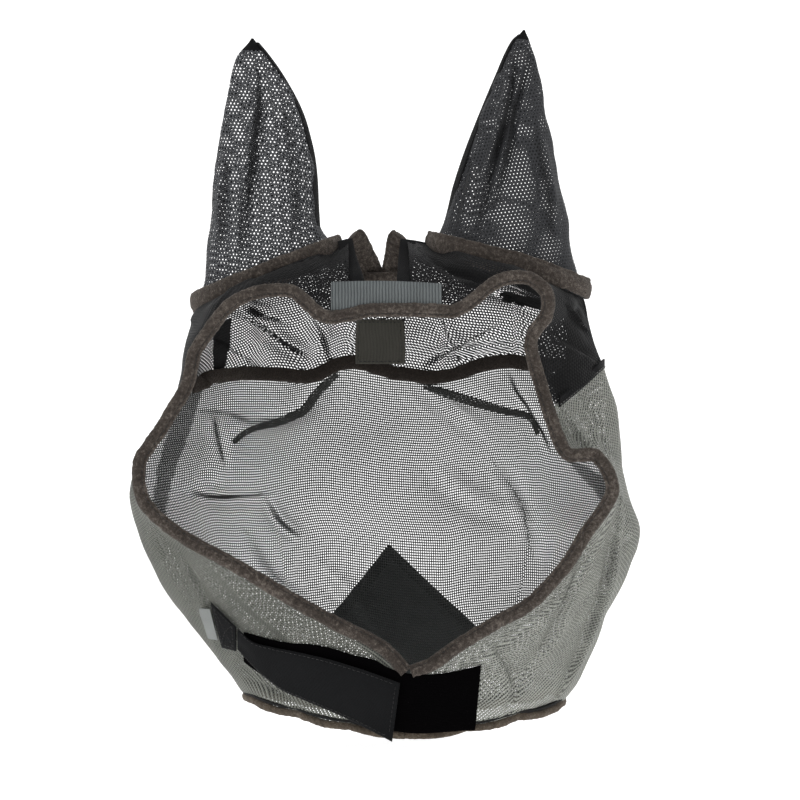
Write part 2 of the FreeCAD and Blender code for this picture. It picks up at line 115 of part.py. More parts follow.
CROWN_LEFT = [
    [(-168.34, 8, -63.04), (-173.68, 22.09, -63.61), (-176.53, 37, -64.18), (-175.87, 53.09, -64.75), (-172.72, 70, -65.32)],
    [(-166.29, 8.5, -55.64), (-172.17, 22.34, -55.33), (-175.57, 37, -55.01), (-175.45, 52.84, -54.71), (-172.84, 69.5, -54.39)],
    [(-164.25, 9, -48.03), (-170.59, 22.59, -46.78), (-174.44, 37, -45.53), (-174.79, 52.59, -44.29), (-172.64, 69, -43.04)],
    [(-162.53, 9.56, -39.63), (-169.1, 22.88, -37.33), (-173.17, 37.01, -35.02), (-173.73, 52.32, -32.69), (-171.79, 68.44, -30.35)],
    [(-160.17, 10, -31.34), (-166.87, 23.09, -27.84), (-171.07, 37, -24.34), (-171.77, 52.09, -20.84), (-169.98, 68, -17.34)],
    [(-156.27, 10.19, -24.41), (-163.07, 23.47, -19.11), (-167.42, 37.6, -13.86), (-168.3, 52.93, -8.69), (-166.74, 69.11, -3.57)],
    [(-150.99, 10, -17.17), (-157.85, 22.95, -10.7), (-162.34, 36.81, -4.4), (-163.49, 51.95, 1.64), (-162.27, 68, 7.51)],
    [(-144.05, 9.12, -7.51), (-151.12, 19.92, -2.27), (-156, 31.74, 2.52), (-157.8, 45.02, 6.67), (-157.4, 59.32, 10.38)],
    [(-135.84, 8, 1.94), (-142.7, 16.3, 5.69), (-147.6, 25.77, 8.66), (-149.7, 36.89, 10.55), (-149.83, 49.19, 11.67)],
    [(-126.66, 7, 9.09), (-132.17, 13.58, 12.91), (-135.9, 21.46, 15.65), (-137.12, 31.18, 16.89), (-136.57, 42.2, 17.06)],
    [(-116.56, 6, 14.36), (-120.23, 11.45, 19.07), (-122.31, 18.32, 22.41), (-122.17, 27.23, 23.83), (-120.45, 37.57, 23.89)],
    [(-105.37, 5, 17.54), (-107.08, 10.11, 23.9), (-107.39, 16.78, 28.59), (-105.76, 25.67, 30.95), (-102.75, 36.12, 31.65)],
    [(-93.99, 4, 18.43), (-93.81, 9.5, 27.04), (-92.45, 16.69, 33.7), (-89.42, 26.28, 37.6), (-85.2, 37.57, 39.55)],
    [(-83.29, 3, 16.57), (-81.54, 9.68, 27.97), (-78.81, 18.19, 37.13), (-74.69, 29.28, 43.1), (-69.58, 42.2, 46.83)],
    [(-73.12, 2, 12.53), (-70.45, 10.45, 26.97), (-66.99, 20.86, 38.86), (-62.41, 34.05, 47.16), (-57.05, 49.19, 52.91)],
    [(-64.1, 0.88, 5.43), (-61.79, 12.07, 23.04), (-58.89, 25.36, 37.81), (-55.15, 41.61, 48.56), (-50.82, 59.95, 56.47)],
    [(-54.78, 0, -0.83), (-53.41, 13.21, 19.46), (-51.64, 28.63, 36.62), (-49.31, 47.21, 49.34), (-46.59, 68, 58.92)],
    [(-43.47, -0.12, -1.3), (-43.09, 12.09, 20.2), (-42.51, 26.65, 38.27), (-41.65, 44.55, 51.49), (-40.6, 64.8, 61.27)],
    [(-31.54, 0, 0), (-32.25, 10.26, 22.22), (-32.97, 23, 40.72), (-33.68, 39.26, 53.94), (-34.39, 58, 63.43)],
]
CROWN_RIGHT = [
    [(140.67, 20, -76.39), (155.63, 32.09, -67.82), (168.1, 45, -59.25), (177.06, 59.09, -50.68), (183.53, 74, -42.11)],
    [(135.99, 20.56, -69.26), (151.22, 32.42, -60.25), (163.98, 45.09, -51.24), (173.21, 58.95, -42.22), (179.96, 73.62, -33.2)],
    [(131.51, 21, -61.3), (147.02, 32.59, -52), (160.05, 45, -42.7), (169.56, 58.59, -33.39), (176.58, 73, -24.09)],
    [(127.33, 21.25, -50.61), (143.19, 32.43, -41.55), (156.55, 44.42, -32.49), (166.39, 57.58, -23.4), (173.73, 71.56, -14.31)],
    [(123.97, 21, -39.51), (140.02, 31.84, -30.74), (153.58, 43.5, -21.97), (163.64, 56.34, -13.2), (171.2, 70, -4.43)],
    [(121.51, 19.94, -30.31), (137.69, 31, -21.15), (151.41, 42.91, -12.04), (161.68, 56.02, -3.01), (169.49, 69.99, 5.97)],
    [(121.3, 18, -21.14), (136.71, 28.95, -11.96), (149.75, 40.81, -2.96), (159.44, 53.95, 5.79), (166.77, 68, 14.36)],
    [(126.38, 14.56, -10.37), (138.96, 23.97, -2.85), (149.37, 34.4, 4.22), (156.66, 46.28, 10.65), (161.78, 59.2, 16.64)],
    [(131.77, 11, 0.38), (140.52, 18.55, 6.07), (147.31, 27.27, 11), (151.3, 37.64, 14.83), (153.32, 49.19, 17.9)],
    [(133.77, 8.69, 10.2), (138.06, 14.85, 15.11), (140.57, 22.3, 18.98), (140.57, 31.6, 21.32), (138.79, 42.2, 22.61)],
    [(131.54, 7, 18.56), (131.62, 12.2, 23.39), (130.12, 18.82, 26.87), (126.39, 27.48, 28.41), (121.08, 37.57, 28.6)],
    [(121.33, 5.81, 25.12), (118.75, 10.72, 30.53), (114.78, 17.19, 34.28), (108.87, 25.87, 35.69), (101.57, 36.12, 35.45)],
    [(108.13, 5, 28.46), (103.66, 10.25, 35.29), (98.01, 17.19, 40.16), (90.69, 26.53, 42.28), (82.18, 37.57, 42.44)],
    [(96.36, 4.62, 26.52), (90.17, 10.9, 35.95), (82.99, 19, 43.14), (74.42, 29.69, 47.15), (64.86, 42.2, 48.9)],
    [(83.97, 4, 20.93), (77.06, 11.95, 33.62), (69.35, 21.86, 43.77), (60.54, 34.55, 50.32), (50.93, 49.19, 54.32)],
    [(70.51, 1.94, 10.82), (65.02, 12.87, 27.35), (58.93, 25.89, 41.05), (52.02, 41.88, 50.73), (44.5, 59.95, 57.56)],
    [(55.61, 0, 1.66), (52.15, 13.21, 21.54), (48.3, 28.63, 38.29), (43.89, 47.21, 50.6), (39.09, 68, 59.78)],
    [(38.22, -0.25, 0.46), (36.05, 12, 21.63), (33.7, 26.59, 39.37), (31.05, 44.52, 52.26), (28.22, 64.8, 61.72)],
    [(19.92, 0, 1.66), (18.92, 10.26, 23.47), (17.93, 23, 41.55), (16.93, 39.26, 54.35), (15.93, 58, 63.43)],
]
CROWN_FRONT = [
    [(-172.72, 70, -65.32), (-172.37, 85.82, -61.59), (-172.01, 97.5, -59.52), (-171.66, 103.32, -59.78), (-171.31, 105, -61.71)],
    [(-172.84, 69.5, -54.39), (-171.8, 86.78, -52.47), (-170.76, 99.43, -52.63), (-169.73, 105.51, -55.75), (-168.69, 106.96, -60.96)],
    [(-172.64, 69, -43.04), (-171, 87.73, -43.04), (-169.36, 101.34, -45.55), (-167.73, 107.7, -51.62), (-166.09, 108.94, -60.2)],
    [(-171.79, 68.44, -30.35), (-169.72, 88.6, -32.63), (-167.66, 103.18, -37.83), (-165.6, 109.86, -47.15), (-163.53, 110.96, -59.39)],
    [(-169.98, 68, -17.34), (-167.73, 89.53, -22.01), (-165.49, 105.04, -29.98), (-163.24, 112.03, -42.62), (-161, 113, -58.57)],
    [(-166.37, 66.94, -3.56), (-164.4, 89.96, -10.84), (-162.44, 106.53, -21.79), (-160.48, 113.99, -37.93), (-158.52, 115.01, -57.75)],
    [(-162.27, 68, 7.51), (-160.69, 91.96, -1.72), (-159.11, 109.08, -14.98), (-157.53, 116.51, -33.93), (-155.95, 117.1, -56.91)],
    [(-159.81, 75.27, 10.47), (-158.22, 98.59, 1.28), (-156.62, 114.67, -12.27), (-155.03, 120.53, -31.98), (-153.44, 119.16, -56.06)],
    [(-155.74, 84, 11.57), (-154.34, 106.4, 2.9), (-152.93, 121.2, -10.45), (-151.53, 125.26, -30.41), (-150.13, 121.73, -55.05)],
    [(-146.87, 90.59, 15.99), (-146.6, 112.83, 7.11), (-146.32, 127.12, -6.74), (-146.05, 130.2, -27.63), (-145.78, 125.34, -53.5)],
    [(-135.18, 95.71, 21.55), (-136.05, 118.35, 12.12), (-136.92, 132.73, -2.57), (-137.79, 135.43, -24.7), (-138.65, 129.87, -52.09)],
    [(-121.21, 98.85, 27.99), (-122.35, 122.74, 17.53), (-123.49, 138.06, 1.53), (-124.64, 141.26, -22.27), (-125.77, 135.91, -51.61)],
    [(-106.12, 100, 34.78), (-107.25, 125.58, 23.1), (-108.38, 142.31, 5.64), (-109.51, 146.52, -19.99), (-110.64, 141.89, -51.39)],
    [(-90.91, 98.86, 41.46), (-92.05, 126.26, 28.52), (-93.19, 144.55, 9.57), (-94.33, 149.95, -17.88), (-95.47, 146.24, -51.33)],
    [(-76.61, 95.71, 47.59), (-77.73, 125.16, 33.67), (-78.85, 145.26, 13.54), (-79.97, 152.12, -15.4), (-81.09, 149.62, -50.56)],
    [(-64.38, 90.59, 52.65), (-65.52, 122.34, 38.58), (-66.65, 144.51, 18.09), (-67.78, 153.13, -11.48), (-68.91, 152.16, -47.46)],
    [(-54.82, 84, 56.42), (-55.96, 118.19, 42.52), (-57.1, 142.59, 22.02), (-58.25, 153.14, -7.81), (-59.39, 153.91, -44.24)],
    [(-50.05, 75.77, 57.88), (-51.18, 112.54, 44.21), (-52.31, 139.34, 23.78), (-53.45, 152.03, -6.21), (-54.58, 154.75, -42.96)],
    [(-46.59, 68, 58.92), (-47.71, 107.13, 45.38), (-48.83, 136.11, 24.94), (-49.95, 150.76, -5.27), (-51.07, 155.26, -42.39)],
    [(-40.9, 62.75, 62.23), (-42.03, 103.66, 48.21), (-43.16, 134.27, 27.15), (-44.28, 150.35, -3.86), (-45.41, 156.12, -41.91)],
    [(-35.29, 60, 64.41), (-36.4, 102.02, 50.07), (-37.51, 133.63, 28.59), (-38.62, 150.51, -3.01), (-39.73, 156.96, -41.75)],
    [(-31.51, 60.88, 62.17), (-32.52, 103.02, 48.5), (-33.52, 134.64, 27.6), (-34.52, 151.38, -3.56), (-35.53, 157.58, -41.95)],
    [(-27.67, 64, 57.82), (-28.56, 105.66, 45.24), (-29.44, 136.71, 25.34), (-30.33, 152.75, -4.91), (-31.22, 158.18, -42.48)],
    [(-21.91, 68.94, 52.06), (-22.74, 109.67, 40.79), (-23.57, 139.73, 22.14), (-24.4, 154.68, -6.95), (-25.23, 158.94, -43.42)],
    [(-15.82, 74, 46.4), (-16.62, 113.74, 36.35), (-17.42, 142.74, 18.87), (-18.21, 156.57, -9.1), (-19.01, 159.67, -44.5)],
    [(-10.48, 77.44, 42.5), (-11.28, 116.5, 33.21), (-12.08, 144.79, 16.48), (-12.88, 157.87, -10.78), (-13.67, 160.19, -45.5)],
    [(-5.54, 79, 40.64), (-6.33, 117.78, 31.6), (-7.11, 145.78, 15.11), (-7.9, 158.56, -11.93), (-8.68, 160.57, -46.42)],
    [(-1.12, 77.44, 42.02), (-1.81, 116.65, 32.43), (-2.51, 145.11, 15.4), (-3.2, 158.35, -12.17), (-3.89, 160.83, -47.18)],
    [(3.09, 74, 45.54), (2.52, 114.06, 34.87), (1.94, 143.39, 16.78), (1.37, 157.55, -11.81), (0.8, 160.98, -47.82)],
    [(7.55, 68.94, 51.14), (7.1, 110.19, 38.87), (6.64, 140.75, 19.22), (6.19, 156.21, -10.87), (5.75, 160.99, -48.33)],
    [(11.67, 64, 56.96), (11.34, 106.35, 43.02), (11, 138.08, 21.77), (10.67, 154.81, -9.84), (10.34, 160.92, -48.76)],
    [(13.85, 60.88, 61.2), (13.61, 103.85, 46), (13.37, 136.3, 23.55), (13.14, 153.87, -9.14), (12.9, 160.91, -49.07)],
    [(17.64, 60, 63.55), (17.48, 102.94, 47.5), (17.32, 135.47, 24.31), (17.17, 153.27, -9), (17.01, 160.65, -49.45)],
    [(28.19, 62.75, 62.21), (28.08, 104.55, 46.1), (27.98, 136.06, 22.96), (27.88, 153.03, -10.14), (27.78, 159.7, -50.28)],
    [(39.09, 68, 59.78), (39.04, 107.97, 43.88), (39, 137.79, 21.07), (38.95, 153.28, -11.51), (38.9, 158.62, -51)],
    [(43.35, 75.77, 58.98), (43.39, 113.38, 42.96), (43.44, 141.02, 20.16), (43.47, 154.55, -12.19), (43.51, 158.11, -51.3)],
    [(47.92, 84, 57.69), (48.04, 119.03, 41.82), (48.16, 144.27, 19.35), (48.27, 155.66, -12.45), (48.39, 157.27, -50.85)],
    [(58.38, 90.59, 54.4), (58.54, 123.16, 39.52), (58.7, 146.15, 18.22), (58.86, 155.59, -12.16), (59.02, 155.44, -48.95)],
    [(71.79, 95.71, 49.97), (71.95, 125.91, 36.51), (72.1, 146.75, 16.84), (72.26, 154.36, -11.64), (72.41, 152.61, -46.33)],
    [(87.53, 98.85, 44.58), (87.58, 126.82, 32.91), (87.62, 145.67, 15.25), (87.68, 151.63, -10.91), (87.72, 148.48, -43.08)],
    [(104.3, 100, 38.69), (104.22, 125.92, 28.76), (104.14, 142.99, 13.06), (104.07, 147.54, -10.81), (103.99, 143.25, -40.45)],
    [(120.98, 98.86, 32.69), (120.84, 122.91, 23.89), (120.7, 138.4, 9.57), (120.57, 141.77, -12.57), (120.43, 136.59, -40.23)],
    [(136.45, 95.71, 26.98), (136.27, 118.32, 18.98), (136.09, 132.66, 5.72), (135.9, 135.33, -14.98), (135.72, 129.73, -40.94)],
    [(149.42, 90.59, 22.02), (149.16, 112.42, 14.6), (148.89, 126.31, 2.19), (148.62, 128.99, -17.25), (148.36, 123.71, -41.68)],
    [(159.31, 84, 18.07), (159, 105.67, 10.92), (158.7, 119.75, -0.9), (158.39, 123.09, -19.34), (158.09, 118.83, -42.46)],
    [(164.19, 75.14, 16.83), (163.98, 97.73, 9.33), (163.76, 113.09, -2.53), (163.56, 118.22, -20.55), (163.35, 116.12, -42.94)],
    [(166.77, 68, 14.36), (166.71, 91.29, 6.81), (166.65, 107.72, -4.76), (166.6, 114.48, -22.02), (166.54, 114.38, -43.31)],
    [(169.12, 67.81, 5.96), (169.25, 90.05, -0.17), (169.38, 105.83, -9.97), (169.52, 112.5, -24.97), (169.64, 112.73, -43.64)],
    [(171.2, 70, -4.43), (171.51, 90.59, -8.67), (171.82, 105.16, -16.21), (172.13, 111.21, -28.42), (172.43, 111.24, -43.94)],
    [(173.73, 71.56, -14.31), (174.15, 90.62, -16.82), (174.56, 104.09, -22.24), (174.97, 109.67, -31.78), (175.38, 109.67, -44.26)],
    [(176.58, 73, -24.09), (177.02, 90.52, -24.92), (177.46, 102.92, -28.26), (177.9, 108.07, -35.15), (178.34, 108.1, -44.57)],
    [(179.96, 73.62, -33.2), (180.29, 89.77, -32.55), (180.63, 101.28, -33.99), (180.96, 106.23, -38.38), (181.3, 106.55, -44.86)],
    [(183.53, 74, -42.11), (183.71, 88.82, -40.04), (183.89, 99.5, -39.63), (184.08, 104.32, -41.56), (184.26, 105, -45.15)],
]
RIM = [
    [(19.28, -22, -292.72), (14.89, -22, -296.44), (10.5, -22, -300.15)],
    [(10.01, -20.65, -281.93), (5.9, -20.65, -285.96), (1.79, -20.65, -289.98)],
    [(-1.07, -19.42, -272.26), (-4.51, -19.42, -276.87), (-7.96, -19.42, -281.48)],
    [(-13.58, -18.37, -264.54), (-16.35, -18.37, -269.59), (-19.12, -18.37, -274.64)],
    [(-26.47, -17.48, -258.48), (-28.96, -17.48, -263.67), (-31.46, -17.48, -268.86)],
    [(-38.94, -16.43, -252.51), (-41.54, -16.43, -257.65), (-44.14, -16.43, -262.8)],
    [(-51.21, -15.2, -246.2), (-53.94, -15.2, -251.28), (-56.66, -15.2, -256.37)],
    [(-63.41, -13.95, -239.64), (-66.23, -13.95, -244.68), (-69.05, -13.95, -249.71)],
    [(-75.49, -12.89, -232.84), (-78.41, -12.89, -237.82), (-81.33, -12.89, -242.8)],
    [(-87.47, -12.37, -225.71), (-90.45, -12.37, -230.66), (-93.43, -12.37, -235.6)],
    [(-99.49, -11.55, -218.53), (-102.47, -11.55, -223.47), (-105.46, -11.55, -228.42)],
    [(-111.6, -10.3, -211.36), (-114.53, -10.3, -216.34), (-117.46, -10.3, -221.32)],
    [(-123.89, -9.58, -204.36), (-126.73, -9.58, -209.4), (-129.57, -9.58, -214.43)],
    [(-136.34, -8.98, -197.55), (-139.06, -8.98, -202.66), (-141.77, -8.98, -207.77)],
    [(-148.87, -7.65, -191.25), (-151.61, -7.65, -196.35), (-154.35, -7.65, -201.45)],
    [(-160.95, -6.58, -184.58), (-163.93, -6.58, -189.55), (-166.91, -6.58, -194.52)],
    [(-172.53, -5.77, -177.27), (-175.83, -5.77, -182.04), (-179.13, -5.77, -186.8)],
    [(-183.38, -4.79, -169.28), (-187.16, -4.79, -173.68), (-190.94, -4.79, -178.07)],
    [(-192.66, -3.9, -160.3), (-197.24, -3.9, -163.87), (-201.81, -3.9, -167.44)],
    [(-198.95, -2.81, -149.96), (-204.43, -2.81, -151.88), (-209.9, -2.81, -153.79)],
    [(-200.79, -0.97, -137.86), (-206.59, -0.97, -138.12), (-212.39, -0.97, -138.37)],
    [(-200.37, -0.04, -125.85), (-205.93, -0.04, -124.16), (-211.49, -0.04, -122.47)],
    [(-194.07, 1.73, -115.37), (-198.96, 1.73, -112.22), (-203.85, 1.73, -109.08)],
    [(-186.29, 3.26, -103.91), (-191.12, 3.26, -100.68), (-195.96, 3.26, -97.45)],
    [(-178.67, 4.69, -91.94), (-183.62, 4.69, -88.87), (-188.57, 4.69, -85.8)],
    [(-171.57, 6.17, -79.82), (-176.54, 6.17, -76.78), (-181.51, 6.17, -73.74)],
    [(-163.9, 7.8, -67.31), (-169.19, 7.8, -64.87), (-174.49, 7.8, -62.42)],
    [(-159.38, 8.79, -52.86), (-165.03, 8.79, -51.41), (-170.69, 8.79, -49.97)],
    [(-156.85, 9.76, -39.43), (-162.37, 9.76, -37.54), (-167.89, 9.76, -35.65)],
    [(-151.09, 10.1, -27.99), (-156.09, 10.1, -24.98), (-161.1, 10.1, -21.98)],
    [(-143.15, 9.36, -16.86), (-147.88, 9.36, -13.44), (-152.61, 9.36, -10.02)],
    [(-135.01, 8.43, -5.94), (-139.41, 8.43, -2.1), (-143.8, 8.43, 1.74)],
    [(-125.77, 6.81, 2.94), (-129.22, 6.81, 7.63), (-132.68, 6.81, 12.32)],
    [(-114.69, 5.44, 8.87), (-116.82, 5.44, 14.29), (-118.95, 5.44, 19.72)],
    [(-102.26, 4.71, 12), (-103.12, 4.71, 17.76), (-103.97, 4.71, 23.52)],
    [(-89.61, 3.83, 12.56), (-89, 3.83, 18.34), (-88.38, 3.83, 24.13)],
    [(-78.32, 2.45, 9.63), (-75.56, 2.45, 14.75), (-72.81, 2.45, 19.87)],
    [(-68.61, 0.57, 0.82), (-65.02, 0.57, 5.38), (-61.42, 0.57, 9.95)],
    [(-55.56, -0.05, -8.06), (-53.56, -0.05, -2.61), (-51.56, -0.05, 2.85)],
    [(-39.36, 0, -9.7), (-39.73, 0, -3.9), (-40.09, 0, 1.9)],
    [(-24.86, 0, -6.55), (-25.96, 0, -0.84), (-27.07, 0, 4.86)],
    [(-11.54, 0, -4.34), (-12.1, 0, 1.44), (-12.66, 0, 7.22)],
    [(2.06, 0, -3.94), (2, 0, 1.87), (1.93, 0, 7.68)],
    [(15.94, 0, -4.06), (16.1, 0, 1.75), (16.26, 0, 7.56)],
    [(29.85, -0.1, -4.71), (30.18, -0.1, 1.09), (30.5, -0.1, 6.89)],
    [(44.55, -0.23, -5.61), (44.23, -0.23, 0.19), (43.92, -0.23, 5.99)],
    [(60.03, 0.55, -2.86), (58.09, 0.55, 2.61), (56.15, 0.55, 8.09)],
    [(73.62, 2.5, 4.74), (70.28, 2.5, 9.5), (66.93, 2.5, 14.26)],
    [(84.42, 3.72, 14.07), (80.96, 3.72, 18.75), (77.5, 3.72, 23.43)],
    [(95.13, 4.76, 20.87), (92.91, 4.76, 26.25), (90.68, 4.76, 31.63)],
    [(106.74, 4.94, 23.56), (106.6, 4.94, 29.38), (106.47, 4.94, 35.21)],
    [(117.85, 5.81, 21.73), (120.43, 5.81, 26.95), (123.01, 5.81, 32.17)],
    [(125.59, 7.03, 14.84), (130.71, 7.03, 17.62), (135.83, 7.03, 20.4)],
    [(127.32, 9.84, 4.84), (133.12, 9.84, 4.18), (138.92, 9.84, 3.53)],
    [(122.96, 13.84, -5.53), (128.15, 13.84, -8.22), (133.34, 13.84, -10.92)],
    [(115.55, 18.42, -17.78), (121.13, 18.42, -19.56), (126.72, 18.42, -21.34)],
    [(114.67, 21.44, -33.77), (120.52, 21.44, -33.23), (126.36, 21.44, -32.69)],
    [(118.26, 22.58, -48.61), (123.91, 22.58, -47.02), (129.56, 22.58, -45.43)],
    [(122.64, 21.98, -62.32), (128.25, 21.98, -60.57), (133.85, 21.98, -58.82)],
    [(126.56, 19.48, -75.79), (132.17, 19.48, -74.06), (137.77, 19.48, -72.33)],
    [(130.56, 15.59, -89.06), (136.12, 15.59, -87.23), (141.69, 15.59, -85.41)],
    [(134.78, 11.05, -102.2), (140.24, 11.05, -100.14), (145.7, 11.05, -98.08)],
    [(140.79, 6.81, -116.43), (145.22, 6.81, -112.65), (149.66, 6.81, -108.87)],
    [(154.7, 2.94, -124.82), (156.04, 2.94, -119.16), (157.38, 2.94, -113.5)],
    [(167.76, 0.25, -123.91), (169.7, 0.25, -118.44), (171.65, 0.25, -112.96)],
    [(174.98, -1.42, -130.95), (179.73, -1.42, -127.61), (184.48, -1.42, -124.27)],
    [(179.35, -2.27, -141.51), (185.06, -2.27, -140.5), (190.78, -2.27, -139.48)],
    [(178.77, -3.29, -152.49), (184.31, -3.29, -154.22), (189.85, -3.29, -155.95)],
    [(172.05, -4.16, -162.9), (176.87, -4.16, -166.13), (181.68, -4.16, -169.37)],
    [(163.78, -5.19, -174.07), (168.5, -5.19, -177.43), (173.22, -5.19, -180.79)],
    [(155.55, -6.53, -185.75), (160.43, -6.53, -188.87), (165.3, -6.53, -191.99)],
    [(148.34, -8.28, -197.66), (153.2, -8.28, -200.81), (158.06, -8.28, -203.96)],
    [(140.45, -9.69, -208.57), (145.01, -9.69, -212.12), (149.58, -9.69, -215.67)],
    [(131.58, -10.76, -218.87), (135.89, -10.76, -222.72), (140.2, -10.76, -226.57)],
    [(122.21, -11.85, -228.69), (126.23, -11.85, -232.84), (130.26, -11.85, -236.99)],
    [(112.31, -12.98, -237.33), (115.7, -12.98, -242), (119.1, -12.98, -246.67)],
    [(100.78, -14.26, -243.96), (103.62, -14.26, -248.99), (106.46, -14.26, -254.01)],
    [(88.52, -15.52, -250.46), (91.29, -15.52, -255.52), (94.06, -15.52, -260.58)],
    [(76.17, -16.7, -257.2), (79.05, -16.7, -262.19), (81.92, -16.7, -267.19)],
    [(63.99, -17.83, -264.35), (67.03, -17.83, -269.25), (70.06, -17.83, -274.14)],
    [(51.96, -18.87, -271.97), (55.27, -18.87, -276.69), (58.57, -18.87, -281.41)],
    [(40.96, -19.57, -280.27), (44.14, -19.57, -285.06), (47.33, -19.57, -289.86)],
    [(29.68, -20.56, -286.66), (32.09, -20.56, -291.88), (34.51, -20.56, -297.11)],
    [(17.05, -22, -291.02), (19, -22, -296.44), (20.94, -22, -301.85)],
]
BROW_BAND = [
    [(-171.31, 103.8, -55.21), (-171.31, 103.8, -61.21), (-171.31, 103.8, -67.21)],
    [(-157.36, 114.75, -50.87), (-157.36, 114.75, -56.87), (-157.36, 114.75, -62.87)],
    [(-143.29, 125.6, -46.64), (-143.29, 125.6, -52.64), (-143.29, 125.6, -58.64)],
    [(-127.61, 134.53, -44.21), (-127.61, 134.53, -50.21), (-127.61, 134.53, -56.21)],
    [(-110.47, 140.74, -44.9), (-110.47, 140.74, -50.9), (-110.47, 140.74, -56.9)],
    [(-92.86, 145.51, -45.59), (-92.86, 145.51, -51.59), (-92.86, 145.51, -57.59)],
    [(-75.39, 149.68, -42.57), (-75.39, 149.68, -48.57), (-75.39, 149.68, -54.57)],
    [(-58.17, 152.91, -37.41), (-58.17, 152.91, -43.41), (-58.17, 152.91, -49.41)],
    [(-40.32, 155.68, -35.23), (-40.32, 155.68, -41.23), (-40.32, 155.68, -47.23)],
    [(-22.36, 158.1, -37.38), (-22.36, 158.1, -43.38), (-22.36, 158.1, -49.38)],
    [(-4.45, 159.61, -40.62), (-4.45, 159.61, -46.62), (-4.45, 159.61, -52.62)],
    [(13.7, 159.6, -42.61), (13.7, 159.6, -48.61), (13.7, 159.6, -54.61)],
    [(31.83, 158.25, -44.21), (31.83, 158.25, -50.21), (31.83, 158.25, -56.21)],
    [(49.92, 155.83, -44.25), (49.92, 155.83, -50.25), (49.92, 155.83, -56.25)],
    [(67.58, 152.51, -41.1), (67.58, 152.51, -47.1), (67.58, 152.51, -53.1)],
    [(84.75, 148.23, -36.61), (84.75, 148.23, -42.61), (84.75, 148.23, -48.61)],
    [(101.97, 142.78, -34.07), (101.97, 142.78, -40.07), (101.97, 142.78, -46.07)],
    [(118.95, 136.07, -33.75), (118.95, 136.07, -39.75), (118.95, 136.07, -45.75)],
    [(135.6, 128.59, -34.44), (135.6, 128.59, -40.44), (135.6, 128.59, -46.44)],
    [(152.05, 120.72, -35.43), (152.05, 120.72, -41.43), (152.05, 120.72, -47.43)],
    [(168.18, 112.31, -36.99), (168.18, 112.31, -42.99), (168.18, 112.31, -48.99)],
    [(184.26, 103.8, -38.65), (184.26, 103.8, -44.65), (184.26, 103.8, -50.65)],
]
